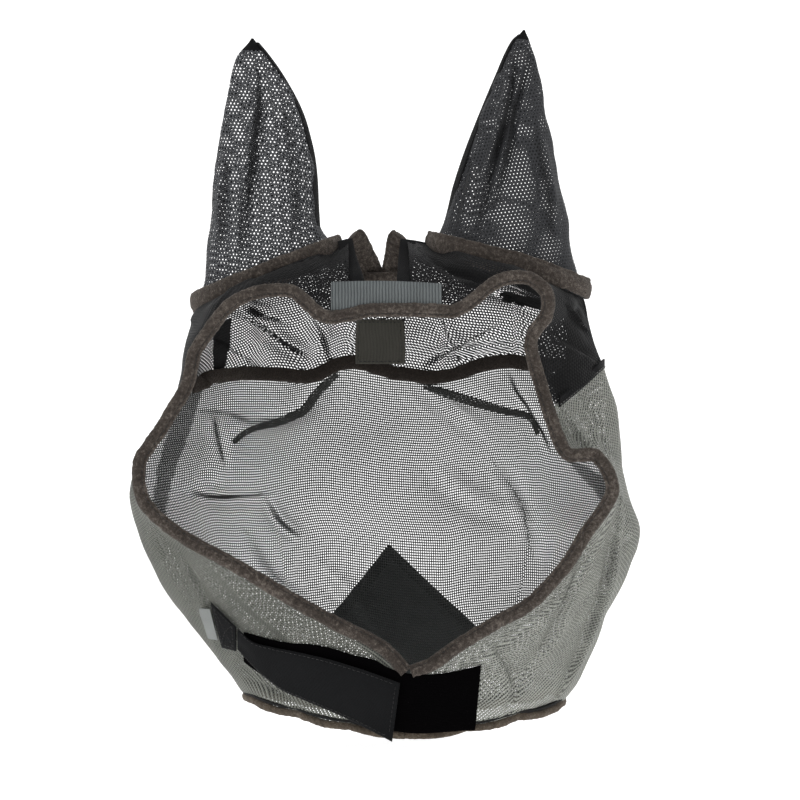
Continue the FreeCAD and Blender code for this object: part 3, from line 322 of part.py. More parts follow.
NOSE_HEM = [
    [(10.79, -6, -345.64), (10.79, -6, -350.64), (10.79, -6, -355.64)],
    [(-5.62, -3.71, -343.72), (-5.62, -3.71, -348.72), (-5.62, -3.71, -353.72)],
    [(-22, -1.16, -341.78), (-22, -1.16, -346.78), (-22, -1.16, -351.78)],
    [(-37.78, 3.72, -339.6), (-37.78, 3.72, -344.6), (-37.78, 3.72, -349.6)],
    [(-52.57, 11.04, -337.23), (-52.57, 11.04, -342.23), (-52.57, 11.04, -347.23)],
    [(-66.55, 19.8, -334.75), (-66.55, 19.8, -339.75), (-66.55, 19.8, -344.75)],
    [(-80.07, 29.24, -332.23), (-80.07, 29.24, -337.23), (-80.07, 29.24, -342.23)],
    [(-93.78, 38.39, -329.59), (-93.78, 38.39, -334.59), (-93.78, 38.39, -339.59)],
    [(-106.96, 48.25, -326.91), (-106.96, 48.25, -331.91), (-106.96, 48.25, -336.91)],
    [(-118.01, 60.41, -324.36), (-118.01, 60.41, -329.36), (-118.01, 60.41, -334.36)],
    [(-123, 76.01, -322.41), (-123, 76.01, -327.41), (-123, 76.01, -332.41)],
    [(-122.16, 92.58, -321.01), (-122.16, 92.58, -326.01), (-122.16, 92.58, -331.01)],
    [(-117.55, 108.54, -321.44), (-117.55, 108.54, -326.44), (-117.55, 108.54, -331.44)],
    [(-108.41, 121.92, -325.1), (-108.41, 121.92, -330.1), (-108.41, 121.92, -335.1)],
    [(-96.98, 133.08, -329.89), (-96.98, 133.08, -334.89), (-96.98, 133.08, -339.89)],
    [(-84.75, 143.65, -334), (-84.75, 143.65, -339), (-84.75, 143.65, -344)],
    [(-71.84, 153.67, -337.37), (-71.84, 153.67, -342.37), (-71.84, 153.67, -347.37)],
    [(-57.89, 162.32, -340.29), (-57.89, 162.32, -345.29), (-57.89, 162.32, -350.29)],
    [(-42.8, 169.04, -342.54), (-42.8, 169.04, -347.54), (-42.8, 169.04, -352.54)],
    [(-26.93, 173.91, -344.18), (-26.93, 173.91, -349.18), (-26.93, 173.91, -354.18)],
    [(-10.55, 176.87, -345.17), (-10.55, 176.87, -350.17), (-10.55, 176.87, -355.17)],
    [(6.09, 177.91, -345.52), (6.09, 177.91, -350.52), (6.09, 177.91, -355.52)],
    [(22.78, 177.89, -345.52), (22.78, 177.89, -350.52), (22.78, 177.89, -355.52)],
    [(39.41, 176.77, -345.14), (39.41, 176.77, -350.14), (39.41, 176.77, -355.14)],
    [(55.77, 173.7, -344.14), (55.77, 173.7, -349.14), (55.77, 173.7, -354.14)],
    [(71.61, 168.73, -342.54), (71.61, 168.73, -347.54), (71.61, 168.73, -352.54)],
    [(86.66, 161.89, -340.35), (86.66, 161.89, -345.35), (86.66, 161.89, -350.35)],
    [(100.56, 153.11, -337.57), (100.56, 153.11, -342.57), (100.56, 153.11, -347.57)],
    [(113.43, 142.99, -334.39), (113.43, 142.99, -339.39), (113.43, 142.99, -344.39)],
    [(125.64, 132.35, -330.39), (125.64, 132.35, -335.39), (125.64, 132.35, -340.39)],
    [(136.99, 121.03, -325.79), (136.99, 121.03, -330.79), (136.99, 121.03, -335.79)],
    [(145.88, 107.33, -322.86), (145.88, 107.33, -327.86), (145.88, 107.33, -332.86)],
    [(149.89, 91.28, -324.17), (149.89, 91.28, -329.17), (149.89, 91.28, -334.17)],
    [(150.08, 74.96, -327.47), (150.08, 74.96, -332.47), (150.08, 74.96, -337.47)],
    [(144.9, 59.52, -330.31), (144.9, 59.52, -335.31), (144.9, 59.52, -340.31)],
    [(133.79, 47.36, -332.59), (133.79, 47.36, -337.59), (133.79, 47.36, -342.59)],
    [(120.48, 37.51, -334.55), (120.48, 37.51, -339.55), (120.48, 37.51, -344.55)],
    [(106.6, 28.44, -336.46), (106.6, 28.44, -341.46), (106.6, 28.44, -346.46)],
    [(92.88, 19.16, -338.48), (92.88, 19.16, -343.48), (92.88, 19.16, -348.48)],
    [(78.71, 10.59, -340.46), (78.71, 10.59, -345.46), (78.71, 10.59, -350.46)],
    [(63.75, 3.44, -342.29), (63.75, 3.44, -347.29), (63.75, 3.44, -352.29)],
    [(47.86, -1.31, -343.87), (47.86, -1.31, -348.87), (47.86, -1.31, -353.87)],
    [(31.42, -3.78, -345.18), (31.42, -3.78, -350.18), (31.42, -3.78, -355.18)],
    [(14.93, -6, -346.47), (14.93, -6, -351.47), (14.93, -6, -356.47)],
]
NOSE_PIPING = [
    [(10.79, -6, -342.44), (10.79, -6, -343.94), (10.79, -6, -345.44)],
    [(-5.62, -3.71, -340.52), (-5.62, -3.71, -342.02), (-5.62, -3.71, -343.52)],
    [(-22, -1.16, -338.58), (-22, -1.16, -340.08), (-22, -1.16, -341.58)],
    [(-37.78, 3.72, -336.4), (-37.78, 3.72, -337.9), (-37.78, 3.72, -339.4)],
    [(-52.57, 11.04, -334.03), (-52.57, 11.04, -335.53), (-52.57, 11.04, -337.03)],
    [(-66.55, 19.8, -331.55), (-66.55, 19.8, -333.05), (-66.55, 19.8, -334.55)],
    [(-80.07, 29.24, -329.03), (-80.07, 29.24, -330.53), (-80.07, 29.24, -332.03)],
    [(-93.78, 38.39, -326.39), (-93.78, 38.39, -327.89), (-93.78, 38.39, -329.39)],
    [(-106.96, 48.25, -323.71), (-106.96, 48.25, -325.21), (-106.96, 48.25, -326.71)],
    [(-118.01, 60.41, -321.16), (-118.01, 60.41, -322.66), (-118.01, 60.41, -324.16)],
    [(-123, 76.01, -319.21), (-123, 76.01, -320.71), (-123, 76.01, -322.21)],
    [(-122.16, 92.58, -317.81), (-122.16, 92.58, -319.31), (-122.16, 92.58, -320.81)],
    [(-117.55, 108.54, -318.24), (-117.55, 108.54, -319.74), (-117.55, 108.54, -321.24)],
    [(-108.41, 121.92, -321.9), (-108.41, 121.92, -323.4), (-108.41, 121.92, -324.9)],
    [(-96.98, 133.08, -326.69), (-96.98, 133.08, -328.19), (-96.98, 133.08, -329.69)],
    [(-84.75, 143.65, -330.8), (-84.75, 143.65, -332.3), (-84.75, 143.65, -333.8)],
    [(-71.84, 153.67, -334.17), (-71.84, 153.67, -335.67), (-71.84, 153.67, -337.17)],
    [(-57.89, 162.32, -337.09), (-57.89, 162.32, -338.59), (-57.89, 162.32, -340.09)],
    [(-42.8, 169.04, -339.34), (-42.8, 169.04, -340.84), (-42.8, 169.04, -342.34)],
    [(-26.93, 173.91, -340.98), (-26.93, 173.91, -342.48), (-26.93, 173.91, -343.98)],
    [(-10.55, 176.87, -341.97), (-10.55, 176.87, -343.47), (-10.55, 176.87, -344.97)],
    [(6.09, 177.91, -342.32), (6.09, 177.91, -343.82), (6.09, 177.91, -345.32)],
    [(22.78, 177.89, -342.32), (22.78, 177.89, -343.82), (22.78, 177.89, -345.32)],
    [(39.41, 176.77, -341.94), (39.41, 176.77, -343.44), (39.41, 176.77, -344.94)],
    [(55.77, 173.7, -340.94), (55.77, 173.7, -342.44), (55.77, 173.7, -343.94)],
    [(71.61, 168.73, -339.34), (71.61, 168.73, -340.84), (71.61, 168.73, -342.34)],
    [(86.66, 161.89, -337.15), (86.66, 161.89, -338.65), (86.66, 161.89, -340.15)],
    [(100.56, 153.11, -334.37), (100.56, 153.11, -335.87), (100.56, 153.11, -337.37)],
    [(113.43, 142.99, -331.19), (113.43, 142.99, -332.69), (113.43, 142.99, -334.19)],
    [(125.64, 132.35, -327.19), (125.64, 132.35, -328.69), (125.64, 132.35, -330.19)],
    [(136.99, 121.03, -322.59), (136.99, 121.03, -324.09), (136.99, 121.03, -325.59)],
    [(145.88, 107.33, -319.66), (145.88, 107.33, -321.16), (145.88, 107.33, -322.66)],
    [(149.89, 91.28, -320.97), (149.89, 91.28, -322.47), (149.89, 91.28, -323.97)],
    [(150.08, 74.96, -324.27), (150.08, 74.96, -325.77), (150.08, 74.96, -327.27)],
    [(144.9, 59.52, -327.11), (144.9, 59.52, -328.61), (144.9, 59.52, -330.11)],
    [(133.79, 47.36, -329.39), (133.79, 47.36, -330.89), (133.79, 47.36, -332.39)],
    [(120.48, 37.51, -331.35), (120.48, 37.51, -332.85), (120.48, 37.51, -334.35)],
    [(106.6, 28.44, -333.26), (106.6, 28.44, -334.76), (106.6, 28.44, -336.26)],
    [(92.88, 19.16, -335.28), (92.88, 19.16, -336.78), (92.88, 19.16, -338.28)],
    [(78.71, 10.59, -337.26), (78.71, 10.59, -338.76), (78.71, 10.59, -340.26)],
    [(63.75, 3.44, -339.09), (63.75, 3.44, -340.59), (63.75, 3.44, -342.09)],
    [(47.86, -1.31, -340.67), (47.86, -1.31, -342.17), (47.86, -1.31, -343.67)],
    [(31.42, -3.78, -341.98), (31.42, -3.78, -343.48), (31.42, -3.78, -344.98)],
    [(14.93, -6, -343.27), (14.93, -6, -344.77), (14.93, -6, -346.27)],
]
EAR_BAND_LEFT = [
    [(-46.62, 67.04, 52.05), (-46.62, 67.04, 58.91), (-46.62, 67.06, 65.76)],
    [(-55.08, 51.31, 48.29), (-55.08, 51.31, 55.15), (-55.08, 51.57, 62)],
    [(-76.52, 39.97, 38.76), (-76.52, 39.97, 45.62), (-76.52, 40.41, 52.47)],
    [(-105.3, 36, 25.97), (-105.3, 36, 32.83), (-105.3, 36.5, 39.68)],
    [(-133.85, 40.45, 13.28), (-133.85, 40.45, 20.14), (-133.85, 40.88, 26.99)],
    [(-154.66, 52.14, 4.03), (-154.66, 52.14, 10.89), (-154.66, 52.39, 17.74)],
    [(-162.27, 68, 0.65), (-162.27, 68, 7.51), (-162.27, 68, 14.36)],
    [(-154.66, 83.86, 4.03), (-154.66, 83.86, 10.89), (-154.66, 83.61, 17.74)],
    [(-133.85, 95.55, 13.28), (-133.85, 95.55, 20.14), (-133.85, 95.12, 26.99)],
    [(-105.3, 100, 25.97), (-105.3, 100, 32.83), (-105.3, 99.5, 39.68)],
    [(-76.52, 96.03, 38.76), (-76.52, 96.03, 45.62), (-76.52, 95.59, 52.47)],
    [(-55.08, 84.69, 48.29), (-55.08, 84.69, 55.15), (-55.08, 84.43, 62)],
    [(-46.62, 68.96, 52.05), (-46.62, 68.96, 58.91), (-46.62, 68.94, 65.76)],
]
EAR_BAND_RIGHT = [
    [(39.12, 67.04, 52.91), (39.12, 67.04, 59.77), (39.12, 67.06, 66.62)],
    [(48.46, 51.31, 49.59), (48.46, 51.31, 56.45), (48.46, 51.57, 63.3)],
    [(72.12, 39.97, 41.17), (72.12, 39.97, 48.03), (72.12, 40.41, 54.88)],
    [(103.89, 36, 29.87), (103.89, 36, 36.73), (103.89, 36.5, 43.58)],
    [(135.4, 40.45, 18.67), (135.4, 40.45, 25.52), (135.4, 40.88, 32.38)],
    [(158.38, 52.14, 10.5), (158.38, 52.14, 17.35), (158.38, 52.39, 24.21)],
    [(166.77, 68, 7.51), (166.77, 68, 14.36), (166.77, 68, 21.22)],
    [(158.38, 83.86, 10.5), (158.38, 83.86, 17.35), (158.38, 83.61, 24.21)],
    [(135.4, 95.55, 18.67), (135.4, 95.55, 25.52), (135.4, 95.12, 32.38)],
    [(103.89, 100, 29.87), (103.89, 100, 36.73), (103.89, 99.5, 43.58)],
    [(72.12, 96.03, 41.17), (72.12, 96.03, 48.03), (72.12, 95.59, 54.88)],
    [(48.46, 84.69, 49.59), (48.46, 84.69, 56.45), (48.46, 84.43, 63.3)],
    [(39.12, 68.96, 52.91), (39.12, 68.96, 59.77), (39.12, 68.94, 66.62)],
]
CUFF_LEFT = [
    [(-46.62, 67.04, 58.91), (-55.08, 51.31, 55.15), (-76.52, 39.97, 45.62), (-105.3, 36, 32.83), (-133.85, 40.45, 20.14), (-154.66, 52.14, 10.89), (-162.27, 68, 7.51), (-154.66, 83.86, 10.89), (-133.85, 95.55, 20.14), (-105.3, 100, 32.83), (-76.52, 96.03, 45.62), (-55.08, 84.69, 55.15), (-46.62, 68.96, 58.91)],
    [(-49.81, 67.8, 62.72), (-57.95, 52.42, 59.06), (-78.57, 41.33, 49.78), (-106.24, 37.45, 37.32), (-133.7, 41.8, 24.97), (-153.71, 53.23, 15.96), (-161.03, 68.74, 12.67), (-153.71, 84.25, 15.96), (-133.7, 95.68, 24.97), (-106.24, 100.03, 37.32), (-78.57, 96.15, 49.78), (-57.95, 85.06, 59.06), (-49.81, 69.68, 62.72)],
    [(-54.32, 68.89, 68.26), (-62, 54.01, 64.74), (-81.45, 43.28, 55.82), (-107.57, 39.52, 43.85), (-133.48, 43.73, 31.97), (-152.36, 54.8, 23.31), (-159.26, 69.8, 20.15), (-152.36, 84.8, 23.31), (-133.48, 95.86, 31.97), (-107.57, 100.07, 43.85), (-81.45, 96.32, 55.82), (-62, 85.58, 64.74), (-54.32, 70.71, 68.26)],
    [(-58.14, 69.94, 74.74), (-65.42, 55.58, 71.37), (-83.87, 45.22, 62.86), (-108.63, 41.6, 51.42), (-133.19, 45.66, 40.08), (-151.09, 56.34, 31.82), (-157.64, 70.81, 28.8), (-151.09, 85.29, 31.82), (-133.19, 95.97, 40.08), (-108.63, 100.03, 51.42), (-83.87, 96.4, 62.86), (-65.42, 86.05, 71.37), (-58.14, 71.69, 74.74)],
]
CUFF_RIGHT = [
    [(39.12, 67.04, 59.77), (48.46, 51.31, 56.45), (72.12, 39.97, 48.03), (103.89, 36, 36.73), (135.4, 40.45, 25.52), (158.38, 52.14, 17.35), (166.77, 68, 14.36), (158.38, 83.86, 17.35), (135.4, 95.55, 25.52), (103.89, 100, 36.73), (72.12, 96.03, 48.03), (48.46, 84.69, 56.45), (39.12, 68.96, 59.77)],
    [(41.21, 67.8, 64.28), (50.24, 52.42, 61.22), (73.13, 41.33, 53.46), (103.86, 37.45, 43.05), (134.34, 41.8, 32.72), (156.56, 53.23, 25.19), (164.68, 68.74, 22.44), (156.56, 84.25, 25.19), (134.34, 95.68, 32.72), (103.86, 100.03, 43.05), (73.13, 96.15, 53.46), (50.24, 85.06, 61.22), (41.21, 69.68, 64.28)],
    [(44.2, 68.89, 70.79), (52.8, 54.01, 68.1), (74.58, 43.28, 61.3), (103.83, 39.52, 52.15), (132.84, 43.73, 43.07), (153.98, 54.8, 36.46), (161.71, 69.8, 34.04), (153.98, 84.8, 36.46), (132.84, 95.86, 43.07), (103.83, 100.07, 52.15), (74.58, 96.32, 61.3), (52.8, 85.58, 68.1), (44.2, 70.71, 70.79)],
    [(47.16, 69.94, 78.07), (55.34, 55.58, 75.74), (76.06, 45.22, 69.85), (103.86, 41.6, 61.93), (131.45, 45.66, 54.07), (151.55, 56.34, 48.35), (158.9, 70.81, 46.26), (151.55, 85.29, 48.35), (131.45, 95.97, 54.07), (103.86, 100.03, 61.93), (76.06, 96.4, 69.85), (55.34, 86.05, 75.74), (47.16, 71.69, 78.07)],
]
COVER_LEFT = [
    [(-58.7, 70.13, 76.25), (-65.92, 55.88, 72.92), (-84.21, 45.6, 64.5), (-108.76, 42, 53.18), (-133.12, 46.03, 41.96), (-150.87, 56.63, 33.78), (-157.36, 71, 30.79), (-150.87, 85.37, 33.78), (-133.12, 95.97, 41.96), (-108.76, 100, 53.18), (-84.21, 96.4, 64.5), (-65.92, 86.12, 72.92), (-58.7, 71.87, 76.25)],
    [(-60.29, 71.77, 96.23), (-67.26, 58.63, 93.34), (-84.9, 49.16, 86), (-108.59, 45.84, 76.15), (-132.1, 49.55, 66.38), (-149.23, 59.32, 59.25), (-155.49, 72.57, 56.66), (-149.23, 85.83, 59.25), (-132.1, 95.6, 66.38), (-108.59, 99.31, 76.15), (-84.9, 95.99, 86), (-67.26, 86.52, 93.34), (-60.29, 73.38, 96.23)],
    [(-61.3, 73.46, 116.81), (-68.03, 61.75, 114.38), (-85.06, 53.31, 108.2), (-107.91, 50.35, 99.92), (-130.59, 53.66, 91.69), (-147.12, 62.37, 85.69), (-153.16, 74.18, 83.5), (-147.12, 85.99, 85.69), (-130.59, 94.7, 91.69), (-107.91, 98.01, 99.92), (-85.06, 95.05, 108.2), (-68.03, 86.61, 114.38), (-61.3, 74.89, 116.81)],
    [(-63.43, 74.79, 135.82), (-69.81, 64.63, 133.97), (-85.98, 57.3, 129.25), (-107.67, 54.74, 122.92), (-129.21, 57.61, 116.64), (-144.9, 65.17, 112.06), (-150.63, 75.41, 110.38), (-144.9, 85.65, 112.06), (-129.21, 93.2, 116.64), (-107.67, 96.07, 122.92), (-85.98, 93.51, 129.25), (-69.81, 86.18, 133.97), (-63.43, 76.03, 135.82)],
    [(-67.23, 75.58, 153.12), (-73.12, 66.95, 151.96), (-88.04, 60.73, 149.01), (-108.08, 58.56, 145.06), (-127.96, 60.99, 141.15), (-142.45, 67.41, 138.28), (-147.74, 76.11, 137.24), (-142.45, 84.81, 138.28), (-127.96, 91.23, 141.15), (-108.08, 93.67, 145.06), (-88.04, 91.49, 149.01), (-73.12, 85.27, 151.96), (-67.23, 76.64, 153.12)],
    [(-72.51, 76.46, 171.26), (-77.66, 69.36, 170.76), (-90.73, 64.24, 169.47), (-108.27, 62.44, 167.75), (-125.66, 64.46, 166.05), (-138.34, 69.73, 164.8), (-142.98, 76.89, 164.35), (-138.34, 84.05, 164.8), (-125.66, 89.32, 166.05), (-108.27, 91.33, 167.75), (-90.73, 89.54, 169.47), (-77.66, 84.42, 170.76), (-72.51, 77.32, 171.26)],
    [(-81.12, 77.37, 190.14), (-85.31, 71.79, 189.9), (-96.02, 67.75, 189.28), (-110.43, 66.33, 188.46), (-124.73, 67.9, 187.64), (-135.16, 72.04, 187.05), (-138.97, 77.67, 186.83), (-135.16, 83.29, 187.05), (-124.73, 87.43, 187.64), (-110.43, 89, 188.46), (-96.02, 87.58, 189.28), (-85.31, 83.55, 189.9), (-81.12, 77.97, 190.14)],
    [(-92.51, 78.01, 208.73), (-95.87, 74.07, 208.6), (-103.81, 71.27, 208.3), (-114.31, 70.34, 207.9), (-124.65, 71.51, 207.51), (-132.15, 74.48, 207.22), (-134.89, 78.5, 207.12), (-132.15, 82.52, 207.22), (-124.65, 85.49, 207.51), (-114.31, 86.66, 207.9), (-103.81, 85.73, 208.3), (-95.87, 82.93, 208.6), (-92.51, 78.99, 208.73)],
    [(-104.39, 78.38, 224.55), (-106.69, 75.99, 224.48), (-111.45, 74.34, 224.33), (-117.5, 73.87, 224.15), (-123.35, 74.68, 223.98), (-127.55, 76.56, 223.85), (-129.08, 79.07, 223.81), (-127.55, 81.58, 223.85), (-123.35, 83.46, 223.98), (-117.5, 84.27, 224.15), (-111.45, 83.79, 224.33), (-106.69, 82.15, 224.48), (-104.39, 79.75, 224.55)],
    [(-113.23, 78.64, 234.42), (-113.93, 77.25, 234.34), (-115.41, 76.29, 234.17), (-117.31, 76.01, 233.96), (-119.15, 76.46, 233.76), (-120.47, 77.55, 233.61), (-120.95, 79, 233.56), (-120.47, 80.45, 233.61), (-119.15, 81.54, 233.76), (-117.31, 81.99, 233.96), (-115.41, 81.71, 234.17), (-113.93, 80.75, 234.34), (-113.23, 79.36, 234.42)],
]
COVER_RIGHT = [
    [(47.73, 70.13, 79.69), (55.83, 55.88, 77.43), (76.35, 45.6, 71.71), (103.89, 42, 64.02), (131.21, 46.03, 56.39), (151.12, 56.63, 50.83), (158.4, 71, 48.8), (151.12, 85.37, 50.83), (131.21, 95.97, 56.39), (103.89, 100, 64.02), (76.35, 96.4, 71.71), (55.83, 86.12, 77.43), (47.73, 71.87, 79.69)],
    [(53.02, 71.77, 99.61), (60.45, 58.63, 97.96), (79.27, 49.16, 93.8), (104.54, 45.84, 88.21), (129.6, 49.55, 82.66), (147.88, 59.32, 78.61), (154.56, 72.57, 77.14), (147.88, 85.83, 78.61), (129.6, 95.6, 82.66), (104.54, 99.31, 88.21), (79.27, 95.99, 93.8), (60.45, 86.52, 97.96), (53.02, 73.38, 99.61)],
    [(59.23, 73.46, 120.88), (65.85, 61.75, 119.6), (82.61, 53.31, 116.39), (105.13, 50.35, 112.07), (127.45, 53.66, 107.79), (143.74, 62.37, 104.66), (149.68, 74.18, 103.52), (143.74, 85.99, 104.66), (127.45, 94.7, 107.79), (105.13, 98.01, 112.07), (82.61, 95.05, 116.39), (65.85, 86.61, 119.6), (59.23, 74.89, 120.88)],
    [(66.57, 74.79, 142.48), (72.28, 64.63, 141.43), (86.74, 57.3, 138.8), (106.16, 54.74, 135.26), (125.42, 57.61, 131.74), (139.47, 65.17, 129.19), (144.6, 75.41, 128.25), (139.47, 85.65, 129.19), (125.42, 93.2, 131.74), (106.16, 96.07, 135.26), (86.74, 93.51, 138.8), (72.28, 86.18, 141.43), (66.57, 76.03, 142.48)],
    [(74.83, 75.58, 163.98), (79.59, 66.95, 163.13), (91.69, 60.73, 160.98), (107.91, 58.56, 158.09), (124, 60.99, 155.23), (135.74, 67.41, 153.14), (140.02, 76.11, 152.38), (135.74, 84.81, 153.14), (124, 91.23, 155.23), (107.91, 93.67, 158.09), (91.69, 91.49, 160.98), (79.59, 85.27, 163.13), (74.83, 76.64, 163.98)],
    [(83.62, 76.46, 185.61), (87.4, 69.36, 185.01), (96.99, 64.24, 183.49), (109.86, 62.44, 181.45), (122.63, 64.46, 179.43), (131.94, 69.73, 177.96), (135.35, 76.89, 177.42), (131.94, 84.05, 177.96), (122.63, 89.32, 179.43), (109.86, 91.33, 181.45), (96.99, 89.54, 183.49), (87.4, 84.42, 185.01), (83.62, 77.32, 185.61)],
    [(91.83, 77.37, 205.13), (94.7, 71.79, 204.73), (102.01, 67.75, 203.74), (111.85, 66.33, 202.41), (121.62, 67.9, 201.09), (128.75, 72.04, 200.12), (131.35, 77.67, 199.77), (128.75, 83.29, 200.12), (121.62, 87.43, 201.09), (111.85, 89, 202.41), (102.01, 87.58, 203.74), (94.7, 83.55, 204.73), (91.83, 77.97, 205.13)],
    [(99.55, 78.01, 222.53), (101.71, 74.07, 222.29), (106.83, 71.27, 221.72), (113.6, 70.34, 220.96), (120.27, 71.51, 220.22), (125.12, 74.48, 219.68), (126.88, 78.5, 219.48), (125.12, 82.52, 219.68), (120.27, 85.49, 220.22), (113.6, 86.66, 220.96), (106.83, 85.73, 221.72), (101.71, 82.93, 222.29), (99.55, 78.99, 222.53)],
    [(106.9, 78.38, 235.52), (108.36, 75.99, 235.41), (111.41, 74.34, 235.17), (115.26, 73.87, 234.87), (118.99, 74.68, 234.57), (121.66, 76.56, 234.36), (122.64, 79.07, 234.29), (121.66, 81.58, 234.36), (118.99, 83.46, 234.57), (115.26, 84.27, 234.87), (111.41, 83.79, 235.17), (108.36, 82.15, 235.41), (106.9, 79.75, 235.52)],
    [(113.33, 78.64, 241.31), (113.96, 77.25, 241.31), (115.28, 76.29, 241.31), (116.96, 76.01, 241.31), (118.6, 76.46, 241.31), (119.77, 77.55, 241.31), (120.2, 79, 241.31), (119.77, 80.45, 241.31), (118.6, 81.54, 241.31), (116.96, 81.99, 241.31), (115.28, 81.71, 241.31), (113.96, 80.75, 241.31), (113.33, 79.36, 241.31)],
]
SEAM_LEFT = [
    [(-60.46, 64, 76.25), (-57.3, 71, 76.25), (-60.46, 78, 76.25)],
    [(-61.92, 66.02, 96.23), (-58.89, 72.57, 96.23), (-61.92, 79.12, 96.23)],
    [(-62.81, 68.08, 116.81), (-59.9, 74.17, 116.81), (-62.81, 80.27, 116.81)],
    [(-64.81, 69.76, 135.82), (-62.03, 75.41, 135.82), (-64.81, 81.06, 135.82)],
    [(-68.49, 70.91, 153.12), (-65.83, 76.11, 153.12), (-68.49, 81.31, 153.12)],
    [(-73.64, 72.14, 171.26), (-71.11, 76.89, 171.26), (-73.64, 81.64, 171.26)],
    [(-82.12, 73.37, 190.14), (-79.72, 77.67, 190.14), (-82.12, 81.97, 190.14)],
    [(-93.39, 74.65, 208.73), (-91.11, 78.5, 208.73), (-93.39, 82.35, 208.73)],
    [(-105.14, 75.66, 224.55), (-102.99, 79.06, 224.55), (-105.14, 82.47, 224.55)],
    [(-113.86, 76.05, 234.42), (-111.83, 79, 234.42), (-113.86, 81.95, 234.42)],
]
SEAM_RIGHT = [
    [(49.49, 64, 79.69), (46.33, 71, 79.69), (49.49, 78, 79.69)],
    [(54.65, 66.02, 99.61), (51.62, 72.57, 99.61), (54.65, 79.12, 99.61)],
    [(60.74, 68.08, 120.88), (57.83, 74.17, 120.88), (60.74, 80.27, 120.88)],
    [(67.95, 69.76, 142.48), (65.17, 75.41, 142.48), (67.95, 81.06, 142.48)],
    [(76.09, 70.91, 163.98), (73.43, 76.11, 163.98), (76.09, 81.31, 163.98)],
    [(84.75, 72.14, 185.61), (82.22, 76.89, 185.61), (84.75, 81.64, 185.61)],
    [(92.83, 73.37, 205.13), (90.43, 77.67, 205.13), (92.83, 81.97, 205.13)],
    [(100.43, 74.65, 222.53), (98.15, 78.5, 222.53), (100.43, 82.35, 222.53)],
    [(107.65, 75.66, 235.52), (105.5, 79.06, 235.52), (107.65, 82.47, 235.52)],
    [(113.96, 76.05, 241.31), (111.93, 79, 241.31), (113.96, 81.95, 241.31)],
]
LOBE_LEFT = [
    [(-37.51, 60, 58.4), (-35.29, 60, 64.41), (-33.07, 60, 70.41)],
    [(-31.96, 63.67, 56.78), (-28.26, 63.67, 62.02), (-24.55, 63.67, 67.25)],
    [(-28.25, 67.41, 52.14), (-23.38, 67.41, 56.33), (-18.5, 67.41, 60.52)],
    [(-23.09, 71.38, 46.47), (-18.37, 71.38, 50.84), (-13.64, 71.38, 55.21)],
    [(-17.52, 75.28, 40.87), (-13.08, 75.28, 45.55), (-8.64, 75.28, 50.22)],
    [(-11.51, 79, 35.77), (-7.26, 79, 40.64), (-3.02, 79, 45.51)],
]
LOBE_RIGHT = [
    [(16, 60, 70.6), (17.64, 60, 64.41), (19.29, 60, 58.22)],
    [(6.92, 62.17, 67.96), (10.5, 62.17, 62.64), (14.09, 62.17, 57.33)],
    [(1.19, 66.48, 60.7), (6.72, 66.48, 57.44), (12.25, 66.48, 54.17)],
    [(-2, 70.82, 54.64), (3.71, 70.82, 51.66), (9.41, 70.82, 48.69)],
    [(-4.97, 75, 49.44), (0.43, 75, 45.91), (5.83, 75, 42.39)],
    [(-8.94, 79, 44.58), (-3.82, 79, 40.64), (1.3, 79, 36.7)],
]
CROSS = [
    [(-24.28, 66, 28.41), (-24.28, 66, 32.26), (-24.28, 66, 36.11)],
    [(-15.48, 69.69, 28.58), (-15.48, 69.69, 32.44), (-15.48, 69.69, 36.3)],
    [(-6.35, 72, 28.69), (-6.35, 72, 32.55), (-6.35, 72, 36.41)],
    [(2.82, 69.69, 28.58), (2.82, 69.69, 32.44), (2.82, 69.69, 36.3)],
    [(11.67, 66, 28.41), (11.67, 66, 32.26), (11.67, 66, 36.11)],
]
SIDE_TAPE_LEFT = [
    [(-40.66, 56, 62.51), (-36.91, 56, 63.3), (-33.16, 56, 64.09)],
    [(-38.09, 45.1, 50.87), (-34.39, 45.1, 51.8), (-30.69, 45.1, 52.72)],
    [(-34.96, 32.71, 40.55), (-31.36, 32.71, 41.72), (-27.75, 32.71, 42.9)],
    [(-31.63, 19.69, 31.28), (-28.04, 19.69, 32.41), (-24.44, 19.69, 33.55)],
    [(-28.64, 8, 20.92), (-25.03, 8, 21.94), (-21.42, 8, 22.96)],
]
SIDE_TAPE_RIGHT = [
    [(12.97, 56, 63.74), (16.78, 56, 63.3), (20.59, 56, 62.86)],
    [(11.72, 45.19, 52.27), (15.52, 45.19, 51.88), (19.31, 45.19, 51.49)],
    [(10.85, 32.8, 42.09), (14.63, 32.8, 41.79), (18.41, 32.8, 41.49)],
    [(10.26, 19.71, 32.69), (14.02, 19.71, 32.43), (17.78, 19.71, 32.17)],
    [(9.55, 8, 22.21), (13.29, 8, 21.94), (17.03, 8, 21.67)],
]
FACING_LEFT = [
    [(-157.58, 53.03, 8.75), (-157.54, 54.17, 9.04), (-157.51, 55.32, 9.34)],
    [(-149.44, 42.27, 11.2), (-149.45, 43.92, 11.35), (-149.47, 45.58, 11.5)],
    [(-136.17, 34.72, 17.29), (-136.05, 36.81, 17.32), (-135.93, 38.89, 17.36)],
    [(-120.52, 29.49, 24.39), (-120.08, 32.03, 24.42), (-119.63, 34.56, 24.44)],
    [(-103.75, 27, 31.71), (-102.81, 30.16, 31.96), (-101.87, 33.32, 32.21)],
    [(-87.54, 26.77, 38.31), (-86, 30.85, 39.08), (-84.46, 34.93, 39.85)],
    [(-73.27, 28.85, 43.08), (-71.25, 34.1, 44.96), (-69.14, 39.54, 46.61)],
    [(-62.07, 32.49, 45.57), (-59.82, 39.38, 48.97), (-57.41, 46.68, 51.82)],
    [(-55.09, 37.38, 45.15), (-53.18, 46.5, 50.36), (-51.1, 56.29, 54.65)],
]
